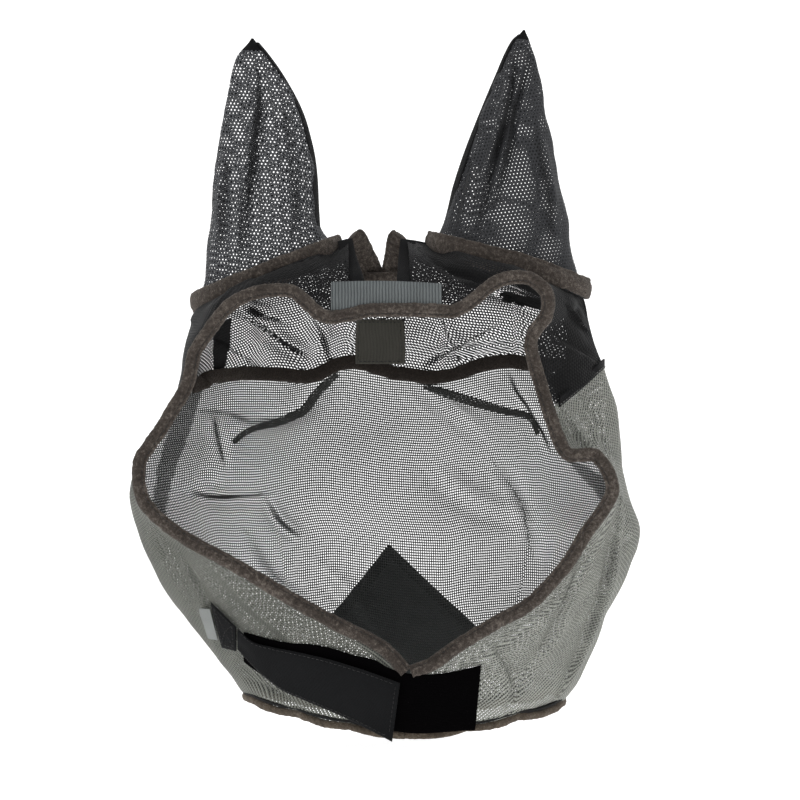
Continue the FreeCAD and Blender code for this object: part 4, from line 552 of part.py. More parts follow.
FACING_RIGHT = [
    [(144.72, 40.16, 19.85), (144.7, 41.04, 20.01), (144.67, 41.92, 20.17)],
    [(133.07, 34.52, 24.7), (132.62, 35.92, 24.81), (132.18, 37.32, 24.93)],
    [(120.04, 30.52, 30.26), (118.93, 32.45, 30.27), (117.83, 34.37, 30.29)],
    [(105.81, 28.29, 36.14), (104, 30.82, 36.08), (102.19, 33.34, 36.03)],
    [(91.5, 27.78, 41.64), (88.98, 31.07, 41.67), (86.47, 34.36, 41.71)],
    [(78.8, 28.94, 45.82), (75.51, 33.24, 46.29), (72.22, 37.54, 46.76)],
    [(67.66, 31.18, 48.35), (63.81, 36.6, 49.82), (59.88, 42.21, 51.04)],
    [(59.05, 34.37, 48.85), (55.09, 41.36, 51.76), (50.99, 48.77, 54.12)],
    [(52.45, 37.66, 47.44), (49, 46.67, 52.16), (45.37, 56.35, 55.96)],
]
CROWN_HEM_LEFT = [
    [(-166.84, 10, -58.53), (-166.84, 10, -63.03), (-166.84, 10, -67.53)],
    [(-169, 21.72, -59.58), (-169, 21.72, -64.08), (-169, 21.72, -68.58)],
    [(-171.07, 33.47, -60.57), (-171.07, 33.47, -65.07), (-171.07, 33.47, -69.57)],
    [(-172.32, 45.31, -61.1), (-172.32, 45.31, -65.6), (-172.32, 45.31, -70.1)],
    [(-172.77, 57.17, -61.21), (-172.77, 57.17, -65.71), (-172.77, 57.17, -70.21)],
    [(-172.74, 68.98, -60.87), (-172.74, 68.98, -65.37), (-172.74, 68.98, -69.87)],
    [(-172.3, 80.7, -60), (-172.3, 80.7, -64.5), (-172.3, 80.7, -69)],
    [(-171.71, 92.36, -58.74), (-171.71, 92.36, -63.24), (-171.71, 92.36, -67.74)],
    [(-171.23, 104, -57.22), (-171.23, 104, -61.72), (-171.23, 104, -66.22)],
]
CROWN_HEM_RIGHT = [
    [(142.41, 21, -70.22), (142.41, 21, -74.72), (142.41, 21, -79.22)],
    [(149.77, 30.05, -64.73), (149.77, 30.05, -69.23), (149.77, 30.05, -73.73)],
    [(157.17, 39.12, -59.19), (157.17, 39.12, -63.69), (157.17, 39.12, -68.19)],
    [(164.48, 48.23, -53.48), (164.48, 48.23, -57.98), (164.48, 48.23, -62.48)],
    [(172.13, 56.11, -46.92), (172.13, 56.11, -51.42), (172.13, 56.11, -55.92)],
    [(179.47, 64.72, -40.58), (179.47, 64.72, -45.08), (179.47, 64.72, -49.58)],
    [(184.07, 77.01, -37.43), (184.07, 77.01, -41.93), (184.07, 77.01, -46.43)],
    [(184.81, 90.69, -38.32), (184.81, 90.69, -42.82), (184.81, 90.69, -47.32)],
    [(184.18, 104, -40.66), (184.18, 104, -45.16), (184.18, 104, -49.66)],
]
DART_LEFT = [
    [(-46.86, 159.8, -48.11), (-45.42, 159.8, -49.81), (-43.98, 159.8, -51.52)],
    [(-58.95, 161.78, -56.5), (-56.46, 161.78, -59.07), (-53.97, 161.78, -61.64)],
    [(-69.25, 164.22, -67.18), (-66.12, 164.22, -69.71), (-62.99, 164.22, -72.24)],
    [(-77.17, 167.83, -78.12), (-74.51, 167.83, -81.15), (-71.85, 167.83, -84.18)],
    [(-88.86, 170.47, -84.31), (-87.16, 170.47, -87.97), (-85.46, 170.47, -91.64)],
    [(-101.6, 168.61, -89.78), (-100.52, 168.61, -93.19), (-99.43, 168.61, -96.61)],
    [(-115.32, 166.43, -93.65), (-114.36, 166.43, -96.64), (-113.41, 166.43, -99.63)],
    [(-128.52, 162.5, -99.43), (-127.18, 162.5, -101.75), (-125.84, 162.5, -104.08)],
    [(-139.98, 164.37, -108.87), (-138.6, 164.37, -110.63), (-137.23, 164.37, -112.39)],
]
DART_RIGHT = [
    [(29.86, 164.56, -62.64), (30.55, 164.56, -60.51), (31.23, 164.56, -58.38)],
    [(45.24, 166.33, -69), (46.34, 166.33, -65.59), (47.43, 166.33, -62.18)],
    [(60.97, 165.6, -74.48), (62.17, 165.6, -70.64), (63.38, 165.6, -66.79)],
    [(76.93, 165.99, -79.43), (78.08, 165.99, -75.57), (79.22, 165.99, -71.71)],
    [(92.93, 163.52, -83.48), (93.87, 163.52, -80.03), (94.81, 163.52, -76.58)],
    [(108.9, 161.06, -87.25), (109.69, 161.06, -84.22), (110.49, 161.06, -81.2)],
    [(122.98, 155.84, -90.28), (124.66, 155.84, -88.19), (126.33, 155.84, -86.11)],
    [(130.31, 159.24, -103.54), (132.29, 159.24, -102.5), (134.27, 159.24, -101.47)],
]
NOSE_PATCH = [
    [(-0.09, 211.23, -204.58), (-10.68, 210.83, -217.71), (-21.26, 209.45, -230.77), (-31.8, 206.71, -243.71), (-42.28, 202.85, -256.53), (-52.67, 196.42, -269.09)],
    [(15.62, 210.83, -219.54), (4.77, 209.88, -232.33), (-6.06, 207.71, -245.02), (-16.86, 205.05, -257.65), (-27.63, 201.43, -270.17), (-38.33, 196.71, -282.55)],
    [(31.31, 208.48, -234.35), (20.21, 207.04, -246.8), (9.12, 205.47, -259.22), (-1.94, 202.32, -271.49), (-12.98, 199.15, -283.72), (-23.96, 194.62, -295.78)],
    [(46.94, 204.24, -248.99), (35.6, 203.45, -261.17), (24.26, 202.01, -273.28), (12.94, 199.45, -285.27), (1.65, 195.81, -297.13), (-9.61, 192.45, -308.98)],
    [(62.44, 197.42, -263.36), (50.91, 198.41, -275.36), (39.34, 197.02, -287.15), (27.78, 195.52, -298.92), (16.23, 192.31, -310.49), (4.71, 188.54, -321.96)],
    [(77.84, 189.84, -277.58), (66.09, 190.59, -289.23), (54.32, 190.56, -300.82), (42.54, 189.93, -312.34), (30.76, 187.77, -323.69), (18.99, 183.92, -334.82)],
]
LOOP = [
    [(-120.25, 11.81, -266.68), (-120.38, 13.99, -275.24), (-120.54, 16.61, -283.85), (-120.74, 19.82, -292.55)],
    [(-101.93, 3.41, -270.93), (-103.02, 6.21, -281.62), (-104.08, 9.16, -292.27), (-105.19, 13.04, -303.04)],
    [(-83.5, -4.34, -274), (-85.32, -1.42, -286.71), (-87.14, 1.83, -299.45), (-89.04, 6.19, -312.4)],
    [(-64.9, -10.87, -274.52), (-67.24, -8.34, -289.56), (-69.64, -4.95, -304.76), (-72.09, -0.42, -320.16)],
    [(-46.78, -15.89, -277.4), (-49.42, -13.96, -293.74), (-52.1, -10.63, -310.28), (-54.81, -6.18, -326.96)],
    [(-29.25, -19.53, -282.51), (-31.9, -18.07, -299.14), (-34.6, -14.93, -316.04), (-37.34, -10.65, -333.16)],
    [(-11.46, -22.02, -286.48), (-14.24, -20.69, -303.84), (-17.04, -17.75, -321.43), (-19.87, -13.76, -339.28)],
    [(4.75, -23.36, -294.64), (2.5, -21.9, -311.01), (0.24, -19.08, -327.53), (-2.03, -15.48, -344.18)],
    [(22.54, -23.36, -298.34), (20.43, -21.71, -314.55), (18.33, -18.9, -330.94), (16.22, -15.59, -347.37)],
    [(40.76, -22.01, -297.98), (38.75, -20.14, -314.47), (36.74, -17.19, -331.07), (34.74, -13.92, -347.82)],
    [(58.85, -19.74, -295.43), (56.98, -17.44, -312.36), (55.15, -14.13, -329.48), (53.31, -10.75, -346.68)],
    [(76.64, -17.11, -291.2), (75.09, -14.14, -309.37), (73.56, -10.28, -327.7), (72.01, -6.74, -346.06)],
]
HOOK = [
    [(-125.11, 9.54, -263.97), (-125.18, 10.57, -269.91), (-125.33, 12.93, -275.97), (-125.42, 14.32, -281.95)],
    [(-112.83, 4.31, -274.04), (-113.07, 6.39, -280.63), (-113.25, 8.8, -287.13), (-113.54, 11.15, -293.83)],
    [(-97.18, -1.67, -277.77), (-98.45, 1.11, -286.75), (-99.73, 3.83, -295.78), (-100.96, 6.96, -304.72)],
    [(-81.26, -8.11, -280.29), (-83.32, -5.13, -291.61), (-85.34, -1.99, -302.84), (-87.47, 1.66, -314.38)],
    [(-65.54, -14.12, -282.98), (-67.68, -11.34, -295.42), (-69.92, -7.97, -308.14), (-72.11, -4.08, -320.77)],
    [(-49.96, -19.08, -285.97), (-52.16, -16.66, -299.45), (-54.37, -13.41, -313), (-56.62, -9.43, -326.71)],
    [(-34.7, -22.81, -289.89), (-36.84, -20.7, -304), (-39.01, -17.74, -318.25), (-41.22, -13.82, -332.72)],
    [(-19.64, -25.38, -294.34), (-21.77, -23.46, -309.17), (-23.91, -20.58, -324.08), (-26.09, -17.03, -339.26)],
    [(-4.79, -27.02, -299.39), (-6.95, -25.14, -314.99), (-9.12, -22.02, -330.77), (-11.31, -19.24, -346.58)],
    [(9.96, -28.15, -304.78), (7.77, -26.19, -321.12), (5.58, -22.63, -337.69), (3.39, -20.89, -354.08)],
]
ANCHOR = [
    [(-148.4, 15.5, -241.5), (-143.95, 21.25, -261.5), (-139.5, 27, -281.5)],
    [(-137.8, 13.15, -251.85), (-135.57, 17.73, -267.15), (-133.35, 22.3, -282.45)],
    [(-127.2, 10.8, -262.2), (-127.2, 14.2, -272.8), (-127.2, 17.6, -283.4)],
]
LABEL_BASE = (-149.2, 19.8, -248.0)
LABEL_ACROSS = (-10.52, 6.51, 0.4)
LABEL_DOWN = (5.0, 9.5, -23.0)
BAND_SIGN = 1.0


HEAD = (0.0, 85.0, -110.0)


def cross(a, b):
    return (a[1] * b[2] - a[2] * b[1], a[2] * b[0] - a[0] * b[2], a[0] * b[1] - a[1] * b[0])


def normals(grid):
    rows, cols = len(grid), len(grid[0])
    found = []
    for i in range(rows):
        line = []
        for j in range(cols):
            a, b = grid[max(0, i - 1)][j], grid[min(rows - 1, i + 1)][j]
            c, d = grid[i][max(0, j - 1)], grid[i][min(cols - 1, j + 1)]
            n = cross([b[k] - a[k] for k in range(3)], [d[k] - c[k] for k in range(3)])
            length = math.sqrt(sum(k * k for k in n)) or 1.0
            line.append([k / length for k in n])
        found.append(line)
    # one sign for the whole piece, so that the normals point away from the head
    total = 0.0
    for i in range(rows):
        for j in range(cols):
            total += sum(found[i][j][k] * (grid[i][j][k] - HEAD[k]) for k in range(3))
    if total < 0:
        found = [[[-k for k in n] for n in line] for line in found]
    return found


def moved(grid, nrm, distance):
    return [[FreeCAD.Vector(*[p[k] + n[k] * distance for k in range(3)])
             for p, n in zip(line, nline)] for line, nline in zip(grid, nrm)]


def skin(points):
    surface = Part.BSplineSurface()
    surface.interpolate(points)
    return surface


def soft_sheet(grid, low, high):
    """Closed solid between the piece's middle moved by low and by high."""
    nrm = normals(grid)
    one, two = skin(moved(grid, nrm, low)), skin(moved(grid, nrm, high))
    faces = [one.toShape(), two.toShape()]
    a0, a1, b0, b1 = one.bounds()
    c0, c1, d0, d1 = two.bounds()
    for first, second in ((one.uIso(a0), two.uIso(c0)), (one.uIso(a1), two.uIso(c1)),
                          (one.vIso(b0), two.vIso(d0)), (one.vIso(b1), two.vIso(d1))):
        faces.append(Part.makeRuledSurface(first.toShape(), second.toShape()))
    shell = Part.makeCompound(faces)
    shell.sewShape(1e-4)
    solid = Part.makeSolid(shell.Shells[0])
    if solid.Volume < 0:
        solid.reverse()
    return solid


def soft(label, grid, low, high):
    piece = doc.addObject("Part::Feature", label)
    piece.Label = label
    piece.Shape = soft_sheet(grid, low, high)
    piece.Placement = FreeCAD.Placement()
    return piece


def turned(u, v):
    """Rotation whose local X lies along u and local Y nearest to v."""
    u = FreeCAD.Vector(*u)
    v = FreeCAD.Vector(*v)
    w = u.cross(v)
    return FreeCAD.Rotation(u, w.cross(u), w, "XYZ")


def flat(label, length, width, thick, base, u, v):
    """A cut rectangle of cloth: length along u from the base point, width along v."""
    body = doc.addObject("PartDesign::Body", label + "_body")
    body.Label = label
    sketch = body.newObject("Sketcher::SketchObject", label + "_sketch")
    plane = [f for f in body.Origin.OriginFeatures if f.Role == "XY_Plane"][0]
    sketch.AttachmentSupport = [(plane, "")]
    sketch.MapMode = "FlatFace"
    wide, tall = size(length), size(width)
    corners = [(0, 0), (wide, 0), (wide, tall), (0, tall)]
    import Sketcher
    for k in range(4):
        a, b = corners[k], corners[(k + 1) % 4]
        sketch.addGeometry(Part.LineSegment(FreeCAD.Vector(a[0], a[1], 0), FreeCAD.Vector(b[0], b[1], 0)), False)
    for k in range(4):
        sketch.addConstraint(Sketcher.Constraint("Coincident", k, 2, (k + 1) % 4, 1))
    sketch.addConstraint(Sketcher.Constraint("Coincident", 0, 1, -1, 1))
    sketch.addConstraint(Sketcher.Constraint("Horizontal", 0))
    sketch.addConstraint(Sketcher.Constraint("Horizontal", 2))
    sketch.addConstraint(Sketcher.Constraint("Vertical", 1))
    sketch.addConstraint(Sketcher.Constraint("Vertical", 3))
    n = sketch.addConstraint(Sketcher.Constraint("DistanceX", 0, 1, 0, 2, wide))
    sketch.setExpression("Constraints[%d]" % n, "<<Sizes>>." + length)
    n = sketch.addConstraint(Sketcher.Constraint("DistanceY", 1, 1, 1, 2, tall))
    sketch.setExpression("Constraints[%d]" % n, "<<Sizes>>." + width)
    pad = body.newObject("PartDesign::Pad", label + "_pad")
    pad.Profile = sketch
    pad.Length = size(thick)
    pad.setExpression("Length", "<<Sizes>>." + thick)
    body.Tip = pad
    body.Placement = FreeCAD.Placement(FreeCAD.Vector(*base), turned(u, v))
    return body


half = size("mesh_thick") / 2
tape = size("tape_thick")
fleece = size("fleece_thick")
gap = 0.1
out0 = half + gap
pieces = []

# mesh panels
pieces.append(soft("face_mesh", FACE, -half, half))
pieces.append(soft("cheek_mesh_left", CHEEK_LEFT, -half, half))
pieces.append(soft("cheek_mesh_right", CHEEK_RIGHT, -half, half))
pieces.append(soft("crown_mesh_left", CROWN_LEFT, -half, half))
pieces.append(soft("crown_mesh_right", CROWN_RIGHT, -half, half))
pieces.append(soft("crown_mesh_front", CROWN_FRONT, -half, half))

# fleece that binds the edges
pieces.append(soft("rim_fleece_binding", RIM, -size("rim_thick") / 2, size("rim_thick") / 2))
pieces.append(soft("brow_fleece_band", BROW_BAND, -out0 - size("band_thick"), -out0))
pieces.append(soft("nose_hem_fleece", NOSE_HEM, -fleece / 2, fleece / 2))
pieces.append(soft("nose_hem_piping", NOSE_PIPING, -size("piping_thick") / 2, size("piping_thick") / 2))
pieces.append(soft("left_ear_fleece_band", EAR_BAND_LEFT, BAND_SIGN * (half + gap), BAND_SIGN * (half + gap + fleece)))
pieces.append(soft("right_ear_fleece_band", EAR_BAND_RIGHT, BAND_SIGN * (half + gap), BAND_SIGN * (half + gap + fleece)))
pieces.append(soft("forelock_fleece_left", LOBE_LEFT, -fleece / 2, fleece / 2))
pieces.append(soft("forelock_fleece_right", LOBE_RIGHT, -fleece / 2, fleece / 2))
pieces.append(soft("forelock_fleece_cross", CROSS, -fleece / 2, fleece / 2))

# ear covers: a short cuff sewn to the crown and the cover above it
pieces.append(soft("left_ear_cuff", CUFF_LEFT, -half, half))
pieces.append(soft("right_ear_cuff", CUFF_RIGHT, -half, half))
pieces.append(soft("left_ear_cover", COVER_LEFT, -half, half))
pieces.append(soft("right_ear_cover", COVER_RIGHT, -half, half))
pieces.append(soft("left_ear_seam_tape", SEAM_LEFT, -tape / 2, tape / 2))
pieces.append(soft("right_ear_seam_tape", SEAM_RIGHT, -tape / 2, tape / 2))

# tapes, facings and patches
pieces.append(soft("crown_side_tape_left", SIDE_TAPE_LEFT, -tape / 2, tape / 2))
pieces.append(soft("crown_side_tape_right", SIDE_TAPE_RIGHT, -tape / 2, tape / 2))
pieces.append(soft("crown_facing_left", FACING_LEFT, out0, out0 + tape))
pieces.append(soft("crown_facing_right", FACING_RIGHT, out0, out0 + tape))
pieces.append(soft("crown_hem_tape_left", CROWN_HEM_LEFT, out0, out0 + tape))
pieces.append(soft("crown_hem_tape_right", CROWN_HEM_RIGHT, out0, out0 + tape))
pieces.append(soft("eye_dart_tape_left", DART_LEFT, -out0 - tape - 0.6, -out0 - 0.6))
pieces.append(soft("eye_dart_tape_right", DART_RIGHT, -out0 - tape - 0.6, -out0 - 0.6))
pieces.append(soft("nose_patch", NOSE_PATCH, out0 + 0.6, out0 + 0.6 + tape))
pieces.append(soft("loop_tape", LOOP, -size("loop_thick") / 2, size("loop_thick") / 2))
pieces.append(soft("hook_strap", HOOK, -size("strap_thick") / 2, size("strap_thick") / 2))
pieces.append(soft("strap_anchor_patch", ANCHOR, -size("anchor_thick") / 2, size("anchor_thick") / 2))

# flat cut pieces
pieces.append(flat("poll_webbing_tab", "tab_length", "tab_width", "tab_thick",
                   (-47.4, -3.4, 1.0), (1, 0, 0), (0, 0.30, 0.954)))
pieces.append(flat("forelock_patch", "patch_length", "patch_width", "patch_thick",
                   (-29.6, 153.6, -41.0), (1, 0, 0), (0, -0.04, 1)))
pieces.append(flat("care_label", "label_width", "label_length", "label_thick",
                   LABEL_BASE, LABEL_ACROSS, LABEL_DOWN))

doc.recompute()
os.makedirs("parts", exist_ok=True)
for obj in doc.Objects:
    state = list(obj.State)
    if "Invalid" in state or "Error" in state:
        raise RuntimeError("%s is %s" % (obj.Label, state))
bad = []
for piece in pieces:
    shape = piece.Shape
    if shape.isNull() or not shape.isValid():
        bad.append(piece.Label)
    shape.exportStep("parts/%s.step" % piece.Label)
    print("%-26s %9.1f mm3" % (piece.Label, shape.Volume))
print(len(pieces), "pieces")
if bad:
    raise RuntimeError("bad shapes: " + ", ".join(bad))
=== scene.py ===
import bpy
import bmesh
import math
import numpy as np
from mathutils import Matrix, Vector, noise as mnoise


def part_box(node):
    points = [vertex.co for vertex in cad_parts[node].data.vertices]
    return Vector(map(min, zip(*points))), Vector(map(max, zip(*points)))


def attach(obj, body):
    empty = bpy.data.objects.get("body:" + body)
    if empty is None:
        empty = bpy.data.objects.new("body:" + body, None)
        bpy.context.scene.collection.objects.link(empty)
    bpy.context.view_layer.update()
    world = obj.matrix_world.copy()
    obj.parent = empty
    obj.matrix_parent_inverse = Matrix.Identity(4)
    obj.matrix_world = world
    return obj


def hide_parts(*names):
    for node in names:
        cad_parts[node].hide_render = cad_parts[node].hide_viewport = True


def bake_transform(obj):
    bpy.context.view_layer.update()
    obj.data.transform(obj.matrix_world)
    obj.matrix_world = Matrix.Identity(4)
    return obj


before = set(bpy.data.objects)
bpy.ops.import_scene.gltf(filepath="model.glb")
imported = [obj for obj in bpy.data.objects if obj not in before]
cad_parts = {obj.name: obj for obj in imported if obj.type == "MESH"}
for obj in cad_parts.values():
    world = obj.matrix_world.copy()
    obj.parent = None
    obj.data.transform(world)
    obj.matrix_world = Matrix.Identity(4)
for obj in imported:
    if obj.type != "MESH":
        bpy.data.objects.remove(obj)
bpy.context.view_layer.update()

# Middle lines and middle surfaces of the mask's cloth, in millimetres, in the
# frame of the CAD model (rows run along a piece, columns across it).
FACE = [
    [(-171.31, 105, -61.71), (-151.63, 120.44, -55.65), (-131.31, 134, -50.97), (-109.63, 142.31, -51.27), (-87.77, 148, -51.72), (-67.33, 152.56, -46.44), (-46.21, 156, -41.83), (-22.07, 159.25, -44.13), (2.81, 161, -48.02), (26.65, 160, -50.37), (50.1, 157, -50.74), (73.06, 152.5, -46.05), (96.07, 146, -41.08), (120.24, 136.62, -40.39), (143.69, 126, -41.37), (164.46, 115.56, -43.05), (184.26, 105, -45.15)],
    [(-180.37, 107.69, -72.44), (-159.23, 124.05, -69.43), (-137.56, 138.73, -67.07), (-114.97, 148.9, -67.07), (-92.09, 156.34, -67.23), (-69.68, 161.8, -64.92), (-46.87, 165.49, -62.93), (-22.67, 168.01, -63.97), (1.89, 169, -65.7), (25.99, 168.34, -66.72), (49.9, 165.93, -66.8), (73.53, 161.77, -64.58), (97.1, 155.46, -62.08), (121.03, 146.41, -61.29), (144.44, 135.23, -61), (166.38, 121.92, -60.66), (187.64, 107.69, -60.39)],
    [(-189.19, 110, -83.52), (-166.83, 127.49, -83.09), (-143.99, 143.41, -82.74), (-120.57, 155.3, -82.64), (-96.76, 164.31, -82.67), (-72.66, 170.61, -82.75), (-48.36, 174.59, -82.85), (-23.95, 176.59, -82.92), (0.51, 177, -82.94), (24.98, 176.59, -82.92), (49.4, 174.59, -82.78), (73.73, 170.61, -82.47), (97.89, 164.31, -81.91), (121.77, 155.3, -81.03), (145.29, 143.41, -79.74), (168.26, 127.49, -77.81), (190.77, 110, -75.66)],
    [(-197.56, 111.31, -95.49), (-174.64, 130.59, -96.31), (-151.19, 148.18, -97.05), (-127.14, 161.42, -97.49), (-102.63, 171.49, -97.87), (-77.68, 178.5, -98.54), (-52.54, 182.9, -99.07), (-27.45, 185.01, -99.05), (-2.35, 185.38, -98.84), (22.83, 184.96, -98.66), (47.98, 182.84, -98.46), (73.05, 178.5, -98.37), (97.92, 171.62, -98.03), (122.39, 161.78, -97.09), (146.48, 148.68, -95.64), (170.1, 130.9, -93.55), (193.23, 111.31, -91.23)],
    [(-205.11, 112, -108.01), (-181.9, 133.14, -109.43), (-158.07, 152.39, -110.76), (-133.5, 166.77, -111.8), (-108.42, 177.65, -112.61), (-82.96, 185.27, -113.2), (-57.25, 190.09, -113.58), (-31.38, 192.51, -113.78), (-5.45, 193, -113.82), (20.49, 192.51, -113.78), (46.39, 190.09, -113.57), (72.17, 185.27, -113.14), (97.73, 177.65, -112.44), (122.96, 166.77, -111.43), (147.72, 152.39, -110.09), (171.81, 133.14, -108.26), (195.3, 112, -106.26)],
    [(-211.64, 112.25, -121.13), (-188.1, 134.79, -122.78), (-163.89, 155.32, -124.31), (-138.86, 170.65, -125.49), (-113.28, 182.26, -126.42), (-87.28, 190.38, -127.08), (-61.01, 195.52, -127.51), (-34.56, 198.1, -127.73), (-8.04, 198.62, -127.78), (18.49, 198.1, -127.73), (44.98, 195.52, -127.5), (71.33, 190.38, -127.03), (97.46, 182.26, -126.27), (123.22, 170.65, -125.19), (148.49, 155.32, -123.74), (173.02, 134.79, -121.78), (196.91, 112.25, -119.65)],
    [(-216.48, 112, -134.24), (-192.67, 135.75, -135.98), (-168.15, 157.38, -137.61), (-142.74, 173.53, -138.87), (-116.74, 185.76, -139.86), (-90.3, 194.32, -140.56), (-63.55, 199.73, -141.02), (-36.62, 202.44, -141.26), (-9.61, 203, -141.31), (17.41, 202.44, -141.26), (44.39, 199.73, -141.01), (71.23, 194.32, -140.5), (97.82, 185.76, -139.68), (124.02, 173.53, -138.51), (149.7, 157.38, -136.94), (174.6, 135.75, -134.81), (198.8, 112, -132.49)],
    [(-218.84, 111.12, -146.34), (-194.82, 136.02, -148.55), (-170.03, 158.68, -150.59), (-144.32, 175.61, -152.15), (-117.97, 188.43, -153.36), (-91.14, 197.4, -154.21), (-64, 203.08, -154.75), (-36.66, 205.92, -155.03), (-9.24, 206.5, -155.09), (18.19, 205.92, -155.03), (45.57, 203.08, -154.75), (72.81, 197.4, -154.18), (99.79, 188.43, -153.28), (126.35, 175.61, -152), (152.35, 158.68, -150.3), (177.52, 136.02, -148.03), (201.95, 111.12, -145.58)],
    [(-218.89, 110, -158.64), (-194.72, 135.84, -161.26), (-169.75, 159.37, -163.67), (-143.82, 176.94, -165.49), (-117.22, 190.24, -166.88), (-90.13, 199.55, -167.86), (-62.71, 205.45, -168.49), (-35.09, 208.4, -168.8), (-7.38, 209, -168.86), (20.34, 208.4, -168.8), (48, 205.45, -168.49), (75.51, 199.55, -167.86), (102.74, 190.24, -166.88), (129.54, 176.94, -165.49), (155.74, 159.37, -163.67), (181.06, 135.84, -161.26), (205.62, 110, -158.64)],
    [(-216.12, 109.06, -172.46), (-191.85, 135.5, -175.04), (-166.76, 159.58, -177.41), (-140.68, 177.57, -179.22), (-113.93, 191.18, -180.61), (-86.68, 200.71, -181.6), (-59.1, 206.74, -182.23), (-31.32, 209.76, -182.55), (-3.45, 210.38, -182.62), (24.42, 209.76, -182.55), (52.24, 206.74, -182.22), (79.89, 200.71, -181.57), (107.25, 191.18, -180.53), (134.16, 177.57, -179.04), (160.44, 159.58, -177.07), (185.82, 135.5, -174.45), (210.39, 109.06, -171.59)],
    [(-211.7, 108, -186.49), (-187.52, 134.88, -188.96), (-162.5, 159.36, -191.24), (-136.49, 177.64, -193), (-109.82, 191.49, -194.36), (-82.64, 201.17, -195.33), (-55.13, 207.3, -195.96), (-27.42, 210.37, -196.28), (0.37, 211, -196.35), (28.17, 210.37, -196.28), (55.9, 207.3, -195.95), (83.46, 201.17, -195.27), (110.72, 191.49, -194.19), (137.51, 177.64, -192.64), (163.67, 159.36, -190.57), (188.89, 134.88, -187.78), (213.3, 108, -184.74)],
    [(-206.65, 106.5, -199.6), (-182.95, 133.87, -202.26), (-158.42, 158.8, -204.71), (-132.9, 177.41, -206.58), (-106.72, 191.5, -208.01), (-80.04, 201.37, -209.02), (-53.02, 207.61, -209.67), (-25.81, 210.73, -210), (1.48, 211.38, -210.07), (28.78, 210.73, -210), (56.01, 207.61, -209.67), (83.07, 201.37, -208.99), (109.83, 191.5, -207.91), (136.11, 177.41, -206.37), (161.76, 158.8, -204.33), (186.48, 133.87, -201.6), (210.38, 106.5, -198.62)],
    [(-200.94, 105, -212.48), (-177.89, 132.67, -215.38), (-154.02, 157.86, -218.05), (-129.18, 176.67, -220.05), (-103.67, 190.92, -221.58), (-77.68, 200.88, -222.66), (-51.36, 207.19, -223.34), (-24.85, 210.35, -223.68), (1.74, 211, -223.75), (28.34, 210.35, -223.68), (54.87, 207.19, -223.34), (81.23, 200.88, -222.66), (107.3, 190.92, -221.58), (132.9, 176.67, -220.05), (157.87, 157.86, -218.05), (181.92, 132.67, -215.38), (205.18, 105, -212.48)],
    [(-195.28, 103.88, -225.8), (-172.82, 131.39, -228.82), (-149.56, 156.45, -231.59), (-125.36, 175.17, -233.68), (-100.53, 189.34, -235.26), (-75.22, 199.25, -236.37), (-49.59, 205.53, -237.08), (-23.78, 208.67, -237.43), (2.12, 209.31, -237.5), (28.01, 208.67, -237.43), (53.85, 205.53, -237.08), (79.52, 199.25, -236.38), (104.9, 189.34, -235.27), (129.83, 175.17, -233.7), (154.15, 156.45, -231.63), (177.58, 131.39, -228.89), (200.23, 103.88, -225.91)],
    [(-188.56, 103, -238.47), (-166.77, 130.14, -241.66), (-144.22, 154.86, -244.59), (-120.77, 173.32, -246.79), (-96.72, 187.3, -248.47), (-72.2, 197.08, -249.65), (-47.39, 203.27, -250.39), (-22.4, 206.36, -250.77), (2.67, 207, -250.84), (27.74, 206.36, -250.77), (52.75, 203.27, -250.39), (77.6, 197.08, -249.65), (102.17, 187.3, -248.47), (126.32, 173.32, -246.79), (149.88, 154.86, -244.59), (172.59, 130.14, -241.66), (194.55, 103, -238.47)],
    [(-179.26, 102.38, -249.2), (-158.35, 129.06, -252.8), (-136.74, 153.36, -256.1), (-114.29, 171.51, -258.59), (-91.26, 185.25, -260.49), (-67.8, 194.87, -261.82), (-44.07, 200.95, -262.67), (-20.16, 204, -263.1), (3.81, 204.62, -263.19), (27.79, 204, -263.1), (51.71, 200.95, -262.67), (75.48, 194.87, -261.82), (98.98, 185.25, -260.48), (122.09, 171.51, -258.57), (144.64, 153.36, -256.06), (166.38, 129.06, -252.72), (187.43, 102.38, -249.09)],
    [(-169.32, 102, -259.29), (-149.32, 128.1, -263.33), (-128.66, 151.86, -267.06), (-107.22, 169.62, -269.86), (-85.24, 183.05, -271.99), (-62.87, 192.46, -273.49), (-40.23, 198.41, -274.45), (-17.44, 201.39, -274.93), (5.41, 202, -275.02), (28.27, 201.39, -274.93), (51.07, 198.41, -274.45), (73.72, 192.46, -273.49), (96.13, 183.05, -271.99), (118.17, 169.62, -269.86), (139.68, 151.86, -267.06), (160.44, 128.1, -263.33), (180.54, 102, -259.29)],
    [(-160.34, 101.88, -269.83), (-141.05, 127.24, -274.23), (-121.14, 150.34, -278.27), (-100.5, 167.59, -281.29), (-79.38, 180.65, -283.58), (-57.88, 189.79, -285.19), (-36.15, 195.57, -286.2), (-14.27, 198.47, -286.7), (7.66, 199.06, -286.81), (29.59, 198.47, -286.7), (51.48, 195.57, -286.21), (73.22, 189.79, -285.22), (94.73, 180.65, -283.68), (115.89, 167.59, -281.5), (136.56, 150.34, -278.65), (156.51, 127.24, -274.89), (175.85, 101.88, -270.81)],
    [(-151.92, 102, -280.17), (-133.26, 126.53, -284.84), (-114.03, 148.87, -289.13), (-94.13, 165.56, -292.32), (-73.78, 178.19, -294.73), (-53.09, 187.03, -296.4), (-32.18, 192.63, -297.46), (-11.13, 195.43, -297.99), (9.96, 196, -298.09), (31.05, 195.43, -297.99), (52.1, 192.63, -297.48), (73.01, 187.03, -296.47), (93.7, 178.19, -294.9), (114.05, 165.56, -292.68), (133.95, 148.87, -289.8), (153.18, 126.53, -286.02), (171.84, 102, -281.92)],
